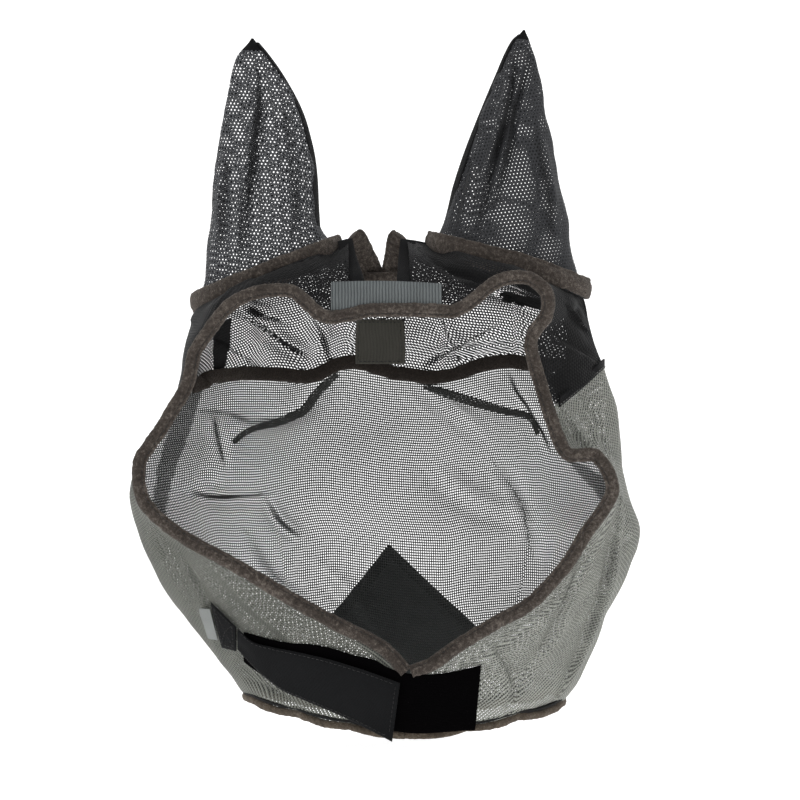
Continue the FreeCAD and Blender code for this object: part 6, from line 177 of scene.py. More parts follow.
CROWN_FRONT = [
    [(-172.72, 70, -65.32), (-172.37, 85.82, -61.59), (-172.01, 97.5, -59.52), (-171.66, 103.32, -59.78), (-171.31, 105, -61.71)],
    [(-172.84, 69.5, -54.39), (-171.8, 86.78, -52.47), (-170.76, 99.43, -52.63), (-169.73, 105.51, -55.75), (-168.69, 106.96, -60.96)],
    [(-172.64, 69, -43.04), (-171, 87.73, -43.04), (-169.36, 101.34, -45.55), (-167.73, 107.7, -51.62), (-166.09, 108.94, -60.2)],
    [(-171.79, 68.44, -30.35), (-169.72, 88.6, -32.63), (-167.66, 103.18, -37.83), (-165.6, 109.86, -47.15), (-163.53, 110.96, -59.39)],
    [(-169.98, 68, -17.34), (-167.73, 89.53, -22.01), (-165.49, 105.04, -29.98), (-163.24, 112.03, -42.62), (-161, 113, -58.57)],
    [(-166.37, 66.94, -3.56), (-164.4, 89.96, -10.84), (-162.44, 106.53, -21.79), (-160.48, 113.99, -37.93), (-158.52, 115.01, -57.75)],
    [(-162.27, 68, 7.51), (-160.69, 91.96, -1.72), (-159.11, 109.08, -14.98), (-157.53, 116.51, -33.93), (-155.95, 117.1, -56.91)],
    [(-159.81, 75.27, 10.47), (-158.22, 98.59, 1.28), (-156.62, 114.67, -12.27), (-155.03, 120.53, -31.98), (-153.44, 119.16, -56.06)],
    [(-155.74, 84, 11.57), (-154.34, 106.4, 2.9), (-152.93, 121.2, -10.45), (-151.53, 125.26, -30.41), (-150.13, 121.73, -55.05)],
    [(-146.87, 90.59, 15.99), (-146.6, 112.83, 7.11), (-146.32, 127.12, -6.74), (-146.05, 130.2, -27.63), (-145.78, 125.34, -53.5)],
    [(-135.18, 95.71, 21.55), (-136.05, 118.35, 12.12), (-136.92, 132.73, -2.57), (-137.79, 135.43, -24.7), (-138.65, 129.87, -52.09)],
    [(-121.21, 98.85, 27.99), (-122.35, 122.74, 17.53), (-123.49, 138.06, 1.53), (-124.64, 141.26, -22.27), (-125.77, 135.91, -51.61)],
    [(-106.12, 100, 34.78), (-107.25, 125.58, 23.1), (-108.38, 142.31, 5.64), (-109.51, 146.52, -19.99), (-110.64, 141.89, -51.39)],
    [(-90.91, 98.86, 41.46), (-92.05, 126.26, 28.52), (-93.19, 144.55, 9.57), (-94.33, 149.95, -17.88), (-95.47, 146.24, -51.33)],
    [(-76.61, 95.71, 47.59), (-77.73, 125.16, 33.67), (-78.85, 145.26, 13.54), (-79.97, 152.12, -15.4), (-81.09, 149.62, -50.56)],
    [(-64.38, 90.59, 52.65), (-65.52, 122.34, 38.58), (-66.65, 144.51, 18.09), (-67.78, 153.13, -11.48), (-68.91, 152.16, -47.46)],
    [(-54.82, 84, 56.42), (-55.96, 118.19, 42.52), (-57.1, 142.59, 22.02), (-58.25, 153.14, -7.81), (-59.39, 153.91, -44.24)],
    [(-50.05, 75.77, 57.88), (-51.18, 112.54, 44.21), (-52.31, 139.34, 23.78), (-53.45, 152.03, -6.21), (-54.58, 154.75, -42.96)],
    [(-46.59, 68, 58.92), (-47.71, 107.13, 45.38), (-48.83, 136.11, 24.94), (-49.95, 150.76, -5.27), (-51.07, 155.26, -42.39)],
    [(-40.9, 62.75, 62.23), (-42.03, 103.66, 48.21), (-43.16, 134.27, 27.15), (-44.28, 150.35, -3.86), (-45.41, 156.12, -41.91)],
    [(-35.29, 60, 64.41), (-36.4, 102.02, 50.07), (-37.51, 133.63, 28.59), (-38.62, 150.51, -3.01), (-39.73, 156.96, -41.75)],
    [(-31.51, 60.88, 62.17), (-32.52, 103.02, 48.5), (-33.52, 134.64, 27.6), (-34.52, 151.38, -3.56), (-35.53, 157.58, -41.95)],
    [(-27.67, 64, 57.82), (-28.56, 105.66, 45.24), (-29.44, 136.71, 25.34), (-30.33, 152.75, -4.91), (-31.22, 158.18, -42.48)],
    [(-21.91, 68.94, 52.06), (-22.74, 109.67, 40.79), (-23.57, 139.73, 22.14), (-24.4, 154.68, -6.95), (-25.23, 158.94, -43.42)],
    [(-15.82, 74, 46.4), (-16.62, 113.74, 36.35), (-17.42, 142.74, 18.87), (-18.21, 156.57, -9.1), (-19.01, 159.67, -44.5)],
    [(-10.48, 77.44, 42.5), (-11.28, 116.5, 33.21), (-12.08, 144.79, 16.48), (-12.88, 157.87, -10.78), (-13.67, 160.19, -45.5)],
    [(-5.54, 79, 40.64), (-6.33, 117.78, 31.6), (-7.11, 145.78, 15.11), (-7.9, 158.56, -11.93), (-8.68, 160.57, -46.42)],
    [(-1.12, 77.44, 42.02), (-1.81, 116.65, 32.43), (-2.51, 145.11, 15.4), (-3.2, 158.35, -12.17), (-3.89, 160.83, -47.18)],
    [(3.09, 74, 45.54), (2.52, 114.06, 34.87), (1.94, 143.39, 16.78), (1.37, 157.55, -11.81), (0.8, 160.98, -47.82)],
    [(7.55, 68.94, 51.14), (7.1, 110.19, 38.87), (6.64, 140.75, 19.22), (6.19, 156.21, -10.87), (5.75, 160.99, -48.33)],
    [(11.67, 64, 56.96), (11.34, 106.35, 43.02), (11, 138.08, 21.77), (10.67, 154.81, -9.84), (10.34, 160.92, -48.76)],
    [(13.85, 60.88, 61.2), (13.61, 103.85, 46), (13.37, 136.3, 23.55), (13.14, 153.87, -9.14), (12.9, 160.91, -49.07)],
    [(17.64, 60, 63.55), (17.48, 102.94, 47.5), (17.32, 135.47, 24.31), (17.17, 153.27, -9), (17.01, 160.65, -49.45)],
    [(28.19, 62.75, 62.21), (28.08, 104.55, 46.1), (27.98, 136.06, 22.96), (27.88, 153.03, -10.14), (27.78, 159.7, -50.28)],
    [(39.09, 68, 59.78), (39.04, 107.97, 43.88), (39, 137.79, 21.07), (38.95, 153.28, -11.51), (38.9, 158.62, -51)],
    [(43.35, 75.77, 58.98), (43.39, 113.38, 42.96), (43.44, 141.02, 20.16), (43.47, 154.55, -12.19), (43.51, 158.11, -51.3)],
    [(47.92, 84, 57.69), (48.04, 119.03, 41.82), (48.16, 144.27, 19.35), (48.27, 155.66, -12.45), (48.39, 157.27, -50.85)],
    [(58.38, 90.59, 54.4), (58.54, 123.16, 39.52), (58.7, 146.15, 18.22), (58.86, 155.59, -12.16), (59.02, 155.44, -48.95)],
    [(71.79, 95.71, 49.97), (71.95, 125.91, 36.51), (72.1, 146.75, 16.84), (72.26, 154.36, -11.64), (72.41, 152.61, -46.33)],
    [(87.53, 98.85, 44.58), (87.58, 126.82, 32.91), (87.62, 145.67, 15.25), (87.68, 151.63, -10.91), (87.72, 148.48, -43.08)],
    [(104.3, 100, 38.69), (104.22, 125.92, 28.76), (104.14, 142.99, 13.06), (104.07, 147.54, -10.81), (103.99, 143.25, -40.45)],
    [(120.98, 98.86, 32.69), (120.84, 122.91, 23.89), (120.7, 138.4, 9.57), (120.57, 141.77, -12.57), (120.43, 136.59, -40.23)],
    [(136.45, 95.71, 26.98), (136.27, 118.32, 18.98), (136.09, 132.66, 5.72), (135.9, 135.33, -14.98), (135.72, 129.73, -40.94)],
    [(149.42, 90.59, 22.02), (149.16, 112.42, 14.6), (148.89, 126.31, 2.19), (148.62, 128.99, -17.25), (148.36, 123.71, -41.68)],
    [(159.31, 84, 18.07), (159, 105.67, 10.92), (158.7, 119.75, -0.9), (158.39, 123.09, -19.34), (158.09, 118.83, -42.46)],
    [(164.19, 75.14, 16.83), (163.98, 97.73, 9.33), (163.76, 113.09, -2.53), (163.56, 118.22, -20.55), (163.35, 116.12, -42.94)],
    [(166.77, 68, 14.36), (166.71, 91.29, 6.81), (166.65, 107.72, -4.76), (166.6, 114.48, -22.02), (166.54, 114.38, -43.31)],
    [(169.12, 67.81, 5.96), (169.25, 90.05, -0.17), (169.38, 105.83, -9.97), (169.52, 112.5, -24.97), (169.64, 112.73, -43.64)],
    [(171.2, 70, -4.43), (171.51, 90.59, -8.67), (171.82, 105.16, -16.21), (172.13, 111.21, -28.42), (172.43, 111.24, -43.94)],
    [(173.73, 71.56, -14.31), (174.15, 90.62, -16.82), (174.56, 104.09, -22.24), (174.97, 109.67, -31.78), (175.38, 109.67, -44.26)],
    [(176.58, 73, -24.09), (177.02, 90.52, -24.92), (177.46, 102.92, -28.26), (177.9, 108.07, -35.15), (178.34, 108.1, -44.57)],
    [(179.96, 73.62, -33.2), (180.29, 89.77, -32.55), (180.63, 101.28, -33.99), (180.96, 106.23, -38.38), (181.3, 106.55, -44.86)],
    [(183.53, 74, -42.11), (183.71, 88.82, -40.04), (183.89, 99.5, -39.63), (184.08, 104.32, -41.56), (184.26, 105, -45.15)],
]
SEAM_LEFT = [
    [(-60.46, 64, 76.25), (-57.3, 71, 76.25), (-60.46, 78, 76.25)],
    [(-61.92, 66.02, 96.23), (-58.89, 72.57, 96.23), (-61.92, 79.12, 96.23)],
    [(-62.81, 68.08, 116.81), (-59.9, 74.17, 116.81), (-62.81, 80.27, 116.81)],
    [(-64.81, 69.76, 135.82), (-62.03, 75.41, 135.82), (-64.81, 81.06, 135.82)],
    [(-68.49, 70.91, 153.12), (-65.83, 76.11, 153.12), (-68.49, 81.31, 153.12)],
    [(-73.64, 72.14, 171.26), (-71.11, 76.89, 171.26), (-73.64, 81.64, 171.26)],
    [(-82.12, 73.37, 190.14), (-79.72, 77.67, 190.14), (-82.12, 81.97, 190.14)],
    [(-93.39, 74.65, 208.73), (-91.11, 78.5, 208.73), (-93.39, 82.35, 208.73)],
    [(-105.14, 75.66, 224.55), (-102.99, 79.06, 224.55), (-105.14, 82.47, 224.55)],
    [(-113.86, 76.05, 234.42), (-111.83, 79, 234.42), (-113.86, 81.95, 234.42)],
]
SEAM_RIGHT = [
    [(49.49, 64, 79.69), (46.33, 71, 79.69), (49.49, 78, 79.69)],
    [(54.65, 66.02, 99.61), (51.62, 72.57, 99.61), (54.65, 79.12, 99.61)],
    [(60.74, 68.08, 120.88), (57.83, 74.17, 120.88), (60.74, 80.27, 120.88)],
    [(67.95, 69.76, 142.48), (65.17, 75.41, 142.48), (67.95, 81.06, 142.48)],
    [(76.09, 70.91, 163.98), (73.43, 76.11, 163.98), (76.09, 81.31, 163.98)],
    [(84.75, 72.14, 185.61), (82.22, 76.89, 185.61), (84.75, 81.64, 185.61)],
    [(92.83, 73.37, 205.13), (90.43, 77.67, 205.13), (92.83, 81.97, 205.13)],
    [(100.43, 74.65, 222.53), (98.15, 78.5, 222.53), (100.43, 82.35, 222.53)],
    [(107.65, 75.66, 235.52), (105.5, 79.06, 235.52), (107.65, 82.47, 235.52)],
    [(113.96, 76.05, 241.31), (111.93, 79, 241.31), (113.96, 81.95, 241.31)],
]
SIDE_TAPE_LEFT = [
    [(-40.66, 56, 62.51), (-36.91, 56, 63.3), (-33.16, 56, 64.09)],
    [(-38.09, 45.1, 50.87), (-34.39, 45.1, 51.8), (-30.69, 45.1, 52.72)],
    [(-34.96, 32.71, 40.55), (-31.36, 32.71, 41.72), (-27.75, 32.71, 42.9)],
    [(-31.63, 19.69, 31.28), (-28.04, 19.69, 32.41), (-24.44, 19.69, 33.55)],
    [(-28.64, 8, 20.92), (-25.03, 8, 21.94), (-21.42, 8, 22.96)],
]
SIDE_TAPE_RIGHT = [
    [(12.97, 56, 63.74), (16.78, 56, 63.3), (20.59, 56, 62.86)],
    [(11.72, 45.19, 52.27), (15.52, 45.19, 51.88), (19.31, 45.19, 51.49)],
    [(10.85, 32.8, 42.09), (14.63, 32.8, 41.79), (18.41, 32.8, 41.49)],
    [(10.26, 19.71, 32.69), (14.02, 19.71, 32.43), (17.78, 19.71, 32.17)],
    [(9.55, 8, 22.21), (13.29, 8, 21.94), (17.03, 8, 21.67)],
]
FACING_LEFT = [
    [(-157.58, 53.03, 8.75), (-157.54, 54.17, 9.04), (-157.51, 55.32, 9.34)],
    [(-149.44, 42.27, 11.2), (-149.45, 43.92, 11.35), (-149.47, 45.58, 11.5)],
    [(-136.17, 34.72, 17.29), (-136.05, 36.81, 17.32), (-135.93, 38.89, 17.36)],
    [(-120.52, 29.49, 24.39), (-120.08, 32.03, 24.42), (-119.63, 34.56, 24.44)],
    [(-103.75, 27, 31.71), (-102.81, 30.16, 31.96), (-101.87, 33.32, 32.21)],
    [(-87.54, 26.77, 38.31), (-86, 30.85, 39.08), (-84.46, 34.93, 39.85)],
    [(-73.27, 28.85, 43.08), (-71.25, 34.1, 44.96), (-69.14, 39.54, 46.61)],
    [(-62.07, 32.49, 45.57), (-59.82, 39.38, 48.97), (-57.41, 46.68, 51.82)],
    [(-55.09, 37.38, 45.15), (-53.18, 46.5, 50.36), (-51.1, 56.29, 54.65)],
]
FACING_RIGHT = [
    [(144.72, 40.16, 19.85), (144.7, 41.04, 20.01), (144.67, 41.92, 20.17)],
    [(133.07, 34.52, 24.7), (132.62, 35.92, 24.81), (132.18, 37.32, 24.93)],
    [(120.04, 30.52, 30.26), (118.93, 32.45, 30.27), (117.83, 34.37, 30.29)],
    [(105.81, 28.29, 36.14), (104, 30.82, 36.08), (102.19, 33.34, 36.03)],
    [(91.5, 27.78, 41.64), (88.98, 31.07, 41.67), (86.47, 34.36, 41.71)],
    [(78.8, 28.94, 45.82), (75.51, 33.24, 46.29), (72.22, 37.54, 46.76)],
    [(67.66, 31.18, 48.35), (63.81, 36.6, 49.82), (59.88, 42.21, 51.04)],
    [(59.05, 34.37, 48.85), (55.09, 41.36, 51.76), (50.99, 48.77, 54.12)],
    [(52.45, 37.66, 47.44), (49, 46.67, 52.16), (45.37, 56.35, 55.96)],
]
CROWN_HEM_LEFT = [
    [(-166.84, 10, -58.53), (-166.84, 10, -63.03), (-166.84, 10, -67.53)],
    [(-169, 21.72, -59.58), (-169, 21.72, -64.08), (-169, 21.72, -68.58)],
    [(-171.07, 33.47, -60.57), (-171.07, 33.47, -65.07), (-171.07, 33.47, -69.57)],
    [(-172.32, 45.31, -61.1), (-172.32, 45.31, -65.6), (-172.32, 45.31, -70.1)],
    [(-172.77, 57.17, -61.21), (-172.77, 57.17, -65.71), (-172.77, 57.17, -70.21)],
    [(-172.74, 68.98, -60.87), (-172.74, 68.98, -65.37), (-172.74, 68.98, -69.87)],
    [(-172.3, 80.7, -60), (-172.3, 80.7, -64.5), (-172.3, 80.7, -69)],
    [(-171.71, 92.36, -58.74), (-171.71, 92.36, -63.24), (-171.71, 92.36, -67.74)],
    [(-171.23, 104, -57.22), (-171.23, 104, -61.72), (-171.23, 104, -66.22)],
]
CROWN_HEM_RIGHT = [
    [(142.41, 21, -70.22), (142.41, 21, -74.72), (142.41, 21, -79.22)],
    [(149.77, 30.05, -64.73), (149.77, 30.05, -69.23), (149.77, 30.05, -73.73)],
    [(157.17, 39.12, -59.19), (157.17, 39.12, -63.69), (157.17, 39.12, -68.19)],
    [(164.48, 48.23, -53.48), (164.48, 48.23, -57.98), (164.48, 48.23, -62.48)],
    [(172.13, 56.11, -46.92), (172.13, 56.11, -51.42), (172.13, 56.11, -55.92)],
    [(179.47, 64.72, -40.58), (179.47, 64.72, -45.08), (179.47, 64.72, -49.58)],
    [(184.07, 77.01, -37.43), (184.07, 77.01, -41.93), (184.07, 77.01, -46.43)],
    [(184.81, 90.69, -38.32), (184.81, 90.69, -42.82), (184.81, 90.69, -47.32)],
    [(184.18, 104, -40.66), (184.18, 104, -45.16), (184.18, 104, -49.66)],
]
DART_LEFT = [
    [(-46.86, 159.8, -48.11), (-45.42, 159.8, -49.81), (-43.98, 159.8, -51.52)],
    [(-58.95, 161.78, -56.5), (-56.46, 161.78, -59.07), (-53.97, 161.78, -61.64)],
    [(-69.25, 164.22, -67.18), (-66.12, 164.22, -69.71), (-62.99, 164.22, -72.24)],
    [(-77.17, 167.83, -78.12), (-74.51, 167.83, -81.15), (-71.85, 167.83, -84.18)],
    [(-88.86, 170.47, -84.31), (-87.16, 170.47, -87.97), (-85.46, 170.47, -91.64)],
    [(-101.6, 168.61, -89.78), (-100.52, 168.61, -93.19), (-99.43, 168.61, -96.61)],
    [(-115.32, 166.43, -93.65), (-114.36, 166.43, -96.64), (-113.41, 166.43, -99.63)],
    [(-128.52, 162.5, -99.43), (-127.18, 162.5, -101.75), (-125.84, 162.5, -104.08)],
    [(-139.98, 164.37, -108.87), (-138.6, 164.37, -110.63), (-137.23, 164.37, -112.39)],
]
DART_RIGHT = [
    [(29.86, 164.56, -62.64), (30.55, 164.56, -60.51), (31.23, 164.56, -58.38)],
    [(45.24, 166.33, -69), (46.34, 166.33, -65.59), (47.43, 166.33, -62.18)],
    [(60.97, 165.6, -74.48), (62.17, 165.6, -70.64), (63.38, 165.6, -66.79)],
    [(76.93, 165.99, -79.43), (78.08, 165.99, -75.57), (79.22, 165.99, -71.71)],
    [(92.93, 163.52, -83.48), (93.87, 163.52, -80.03), (94.81, 163.52, -76.58)],
    [(108.9, 161.06, -87.25), (109.69, 161.06, -84.22), (110.49, 161.06, -81.2)],
    [(122.98, 155.84, -90.28), (124.66, 155.84, -88.19), (126.33, 155.84, -86.11)],
    [(130.31, 159.24, -103.54), (132.29, 159.24, -102.5), (134.27, 159.24, -101.47)],
]
NOSE_PATCH = [
    [(-0.09, 211.23, -204.58), (-10.68, 210.83, -217.71), (-21.26, 209.45, -230.77), (-31.8, 206.71, -243.71), (-42.28, 202.85, -256.53), (-52.67, 196.42, -269.09)],
    [(15.62, 210.83, -219.54), (4.77, 209.88, -232.33), (-6.06, 207.71, -245.02), (-16.86, 205.05, -257.65), (-27.63, 201.43, -270.17), (-38.33, 196.71, -282.55)],
    [(31.31, 208.48, -234.35), (20.21, 207.04, -246.8), (9.12, 205.47, -259.22), (-1.94, 202.32, -271.49), (-12.98, 199.15, -283.72), (-23.96, 194.62, -295.78)],
    [(46.94, 204.24, -248.99), (35.6, 203.45, -261.17), (24.26, 202.01, -273.28), (12.94, 199.45, -285.27), (1.65, 195.81, -297.13), (-9.61, 192.45, -308.98)],
    [(62.44, 197.42, -263.36), (50.91, 198.41, -275.36), (39.34, 197.02, -287.15), (27.78, 195.52, -298.92), (16.23, 192.31, -310.49), (4.71, 188.54, -321.96)],
    [(77.84, 189.84, -277.58), (66.09, 190.59, -289.23), (54.32, 190.56, -300.82), (42.54, 189.93, -312.34), (30.76, 187.77, -323.69), (18.99, 183.92, -334.82)],
]
LOOP = [
    [(-120.25, 11.81, -266.68), (-120.38, 13.99, -275.24), (-120.54, 16.61, -283.85), (-120.74, 19.82, -292.55)],
    [(-101.93, 3.41, -270.93), (-103.02, 6.21, -281.62), (-104.08, 9.16, -292.27), (-105.19, 13.04, -303.04)],
    [(-83.5, -4.34, -274), (-85.32, -1.42, -286.71), (-87.14, 1.83, -299.45), (-89.04, 6.19, -312.4)],
    [(-64.9, -10.87, -274.52), (-67.24, -8.34, -289.56), (-69.64, -4.95, -304.76), (-72.09, -0.42, -320.16)],
    [(-46.78, -15.89, -277.4), (-49.42, -13.96, -293.74), (-52.1, -10.63, -310.28), (-54.81, -6.18, -326.96)],
    [(-29.25, -19.53, -282.51), (-31.9, -18.07, -299.14), (-34.6, -14.93, -316.04), (-37.34, -10.65, -333.16)],
    [(-11.46, -22.02, -286.48), (-14.24, -20.69, -303.84), (-17.04, -17.75, -321.43), (-19.87, -13.76, -339.28)],
    [(4.75, -23.36, -294.64), (2.5, -21.9, -311.01), (0.24, -19.08, -327.53), (-2.03, -15.48, -344.18)],
    [(22.54, -23.36, -298.34), (20.43, -21.71, -314.55), (18.33, -18.9, -330.94), (16.22, -15.59, -347.37)],
    [(40.76, -22.01, -297.98), (38.75, -20.14, -314.47), (36.74, -17.19, -331.07), (34.74, -13.92, -347.82)],
    [(58.85, -19.74, -295.43), (56.98, -17.44, -312.36), (55.15, -14.13, -329.48), (53.31, -10.75, -346.68)],
    [(76.64, -17.11, -291.2), (75.09, -14.14, -309.37), (73.56, -10.28, -327.7), (72.01, -6.74, -346.06)],
]
HOOK = [
    [(-125.11, 9.54, -263.97), (-125.18, 10.57, -269.91), (-125.33, 12.93, -275.97), (-125.42, 14.32, -281.95)],
    [(-112.83, 4.31, -274.04), (-113.07, 6.39, -280.63), (-113.25, 8.8, -287.13), (-113.54, 11.15, -293.83)],
    [(-97.18, -1.67, -277.77), (-98.45, 1.11, -286.75), (-99.73, 3.83, -295.78), (-100.96, 6.96, -304.72)],
    [(-81.26, -8.11, -280.29), (-83.32, -5.13, -291.61), (-85.34, -1.99, -302.84), (-87.47, 1.66, -314.38)],
    [(-65.54, -14.12, -282.98), (-67.68, -11.34, -295.42), (-69.92, -7.97, -308.14), (-72.11, -4.08, -320.77)],
    [(-49.96, -19.08, -285.97), (-52.16, -16.66, -299.45), (-54.37, -13.41, -313), (-56.62, -9.43, -326.71)],
    [(-34.7, -22.81, -289.89), (-36.84, -20.7, -304), (-39.01, -17.74, -318.25), (-41.22, -13.82, -332.72)],
    [(-19.64, -25.38, -294.34), (-21.77, -23.46, -309.17), (-23.91, -20.58, -324.08), (-26.09, -17.03, -339.26)],
    [(-4.79, -27.02, -299.39), (-6.95, -25.14, -314.99), (-9.12, -22.02, -330.77), (-11.31, -19.24, -346.58)],
    [(9.96, -28.15, -304.78), (7.77, -26.19, -321.12), (5.58, -22.63, -337.69), (3.39, -20.89, -354.08)],
]
EAR_LEFT = [
    [(-46.62, 67.04, 58.91), (-55.08, 51.31, 55.15), (-76.52, 39.97, 45.62), (-105.3, 36, 32.83), (-133.85, 40.45, 20.14), (-154.66, 52.14, 10.89), (-162.27, 68, 7.51), (-154.66, 83.86, 10.89), (-133.85, 95.55, 20.14), (-105.3, 100, 32.83), (-76.52, 96.03, 45.62), (-55.08, 84.69, 55.15), (-46.62, 68.96, 58.91)],
    [(-58.7, 70.13, 76.25), (-65.92, 55.88, 72.92), (-84.21, 45.6, 64.5), (-108.76, 42, 53.18), (-133.12, 46.03, 41.96), (-150.87, 56.63, 33.78), (-157.36, 71, 30.79), (-150.87, 85.37, 33.78), (-133.12, 95.97, 41.96), (-108.76, 100, 53.18), (-84.21, 96.4, 64.5), (-65.92, 86.12, 72.92), (-58.7, 71.87, 76.25)],
    [(-60.49, 72.22, 102.16), (-67.4, 59.44, 99.4), (-84.91, 50.23, 92.39), (-108.41, 47, 82.99), (-131.73, 50.61, 73.66), (-148.73, 60.11, 66.86), (-154.94, 73, 64.38), (-148.73, 85.89, 66.86), (-131.73, 95.39, 73.66), (-108.41, 99, 82.99), (-84.91, 95.77, 92.39), (-67.4, 86.56, 99.4), (-60.49, 73.78, 102.16)],
    [(-62.27, 74.34, 128.11), (-68.81, 63.53, 125.98), (-85.38, 55.73, 120.56), (-107.62, 53, 113.29), (-129.69, 56.06, 106.07), (-145.77, 64.1, 100.81), (-151.65, 75, 98.89), (-145.77, 85.9, 100.81), (-129.69, 93.94, 106.07), (-107.62, 97, 113.29), (-85.38, 94.27, 120.56), (-68.81, 86.47, 125.98), (-62.27, 75.66, 128.11)],
    [(-66.6, 75.46, 150.57), (-72.58, 66.61, 149.31), (-87.72, 60.23, 146.12), (-108.05, 58, 141.84), (-128.22, 60.5, 137.6), (-142.92, 67.08, 134.5), (-148.29, 76, 133.37), (-142.92, 84.92, 134.5), (-128.22, 91.5, 137.6), (-108.05, 94, 141.84), (-87.72, 91.77, 146.12), (-72.58, 85.39, 149.31), (-66.6, 76.54, 150.57)],
    [(-73.52, 76.58, 173.9), (-78.55, 69.7, 173.46), (-91.31, 64.74, 172.34), (-108.44, 63, 170.84), (-125.43, 64.95, 169.36), (-137.81, 70.06, 168.28), (-142.34, 77, 167.88), (-137.81, 83.94, 168.28), (-125.43, 89.05, 169.36), (-108.44, 91, 170.84), (-91.31, 89.26, 172.34), (-78.55, 84.3, 173.46), (-73.52, 77.42, 173.9)],
    [(-85.6, 77.7, 198.12), (-89.38, 72.79, 197.93), (-98.95, 69.24, 197.45), (-111.8, 68, 196.81), (-124.55, 69.39, 196.17), (-133.84, 73.04, 195.71), (-137.24, 78, 195.54), (-133.84, 82.96, 195.71), (-124.55, 86.61, 196.17), (-111.8, 88, 196.81), (-98.95, 86.76, 197.45), (-89.38, 83.21, 197.93), (-85.6, 78.3, 198.12)],
    [(-101.25, 78.28, 220.64), (-103.98, 75.5, 220.56), (-109.74, 73.58, 220.39), (-117.11, 73.01, 220.18), (-124.26, 73.93, 219.98), (-129.41, 76.1, 219.83), (-131.28, 79, 219.78), (-129.41, 81.9, 219.83), (-124.26, 84.07, 219.98), (-117.11, 84.99, 220.18), (-109.74, 84.42, 220.39), (-103.98, 82.5, 220.56), (-101.25, 79.72, 220.64)],
    [(-113.23, 78.64, 234.42), (-113.93, 77.25, 234.34), (-115.41, 76.29, 234.17), (-117.31, 76.01, 233.96), (-119.15, 76.46, 233.76), (-120.47, 77.55, 233.61), (-120.95, 79, 233.56), (-120.47, 80.45, 233.61), (-119.15, 81.54, 233.76), (-117.31, 81.99, 233.96), (-115.41, 81.71, 234.17), (-113.93, 80.75, 234.34), (-113.23, 79.36, 234.42)],
]
EAR_RIGHT = [
    [(39.12, 67.04, 59.77), (48.46, 51.31, 56.45), (72.12, 39.97, 48.03), (103.89, 36, 36.73), (135.4, 40.45, 25.52), (158.38, 52.14, 17.35), (166.77, 68, 14.36), (158.38, 83.86, 17.35), (135.4, 95.55, 25.52), (103.89, 100, 36.73), (72.12, 96.03, 48.03), (48.46, 84.69, 56.45), (39.12, 68.96, 59.77)],
    [(47.73, 70.13, 79.69), (55.83, 55.88, 77.43), (76.35, 45.6, 71.71), (103.89, 42, 64.02), (131.21, 46.03, 56.39), (151.12, 56.63, 50.83), (158.4, 71, 48.8), (151.12, 85.37, 50.83), (131.21, 95.97, 56.39), (103.89, 100, 64.02), (76.35, 96.4, 71.71), (55.83, 86.12, 77.43), (47.73, 71.87, 79.69)],
    [(54.64, 72.22, 105.6), (61.87, 59.44, 104.09), (80.17, 50.23, 100.27), (104.75, 47, 95.14), (129.12, 50.61, 90.05), (146.9, 60.11, 86.34), (153.39, 73, 84.99), (146.9, 85.89, 86.34), (129.12, 95.39, 90.05), (104.75, 99, 95.14), (80.17, 95.77, 100.27), (61.87, 86.56, 104.09), (54.64, 73.78, 105.6)],
    [(63.28, 74.34, 133.27), (69.38, 63.53, 132.13), (84.83, 55.73, 129.27), (105.58, 53, 125.42), (126.15, 56.06, 121.6), (141.16, 64.1, 118.82), (146.64, 75, 117.8), (141.16, 85.9, 118.82), (126.15, 93.94, 121.6), (105.58, 97, 125.42), (84.83, 94.27, 129.27), (69.38, 86.47, 132.13), (63.28, 75.66, 133.27)],
    [(73.62, 75.46, 160.89), (78.52, 66.61, 160.01), (90.96, 60.23, 157.78), (107.65, 58, 154.78), (124.21, 60.5, 151.81), (136.28, 67.08, 149.64), (140.69, 76, 148.85), (136.28, 84.92, 149.64), (124.21, 91.5, 151.81), (107.65, 94, 154.78), (90.96, 91.77, 157.78), (78.52, 85.39, 160.01), (73.62, 76.54, 160.89)],
    [(84.83, 76.58, 188.53), (88.48, 69.7, 187.96), (97.73, 64.74, 186.53), (110.14, 63, 184.6), (122.46, 64.95, 182.69), (131.44, 70.06, 181.3), (134.72, 77, 180.79), (131.44, 83.94, 181.3), (122.46, 89.05, 182.69), (110.14, 91, 184.6), (97.73, 89.26, 186.53), (88.48, 84.3, 187.96), (84.83, 77.42, 188.53)],
    [(95.19, 77.7, 212.76), (97.71, 72.79, 212.44), (104.09, 69.24, 211.64), (112.66, 68, 210.57), (121.16, 69.39, 209.51), (127.36, 73.04, 208.73), (129.62, 78, 208.45), (127.36, 82.96, 208.73), (121.16, 86.61, 209.51), (112.66, 88, 210.57), (104.09, 86.76, 211.64), (97.71, 83.21, 212.44), (95.19, 78.3, 212.76)],
    [(104.76, 78.28, 232.68), (106.47, 75.5, 232.53), (110.1, 73.58, 232.2), (114.73, 73.01, 231.78), (119.23, 73.93, 231.37), (122.46, 76.1, 231.08), (123.64, 79, 230.97), (122.46, 81.9, 231.08), (119.23, 84.07, 231.37), (114.73, 84.99, 231.78), (110.1, 84.42, 232.2), (106.47, 82.5, 232.53), (104.76, 79.72, 232.68)],
    [(113.33, 78.64, 241.31), (113.96, 77.25, 241.31), (115.28, 76.29, 241.31), (116.96, 76.01, 241.31), (118.6, 76.46, 241.31), (119.77, 77.55, 241.31), (120.2, 79, 241.31), (119.77, 80.45, 241.31), (118.6, 81.54, 241.31), (116.96, 81.99, 241.31), (115.28, 81.71, 241.31), (113.96, 80.75, 241.31), (113.33, 79.36, 241.31)],
]
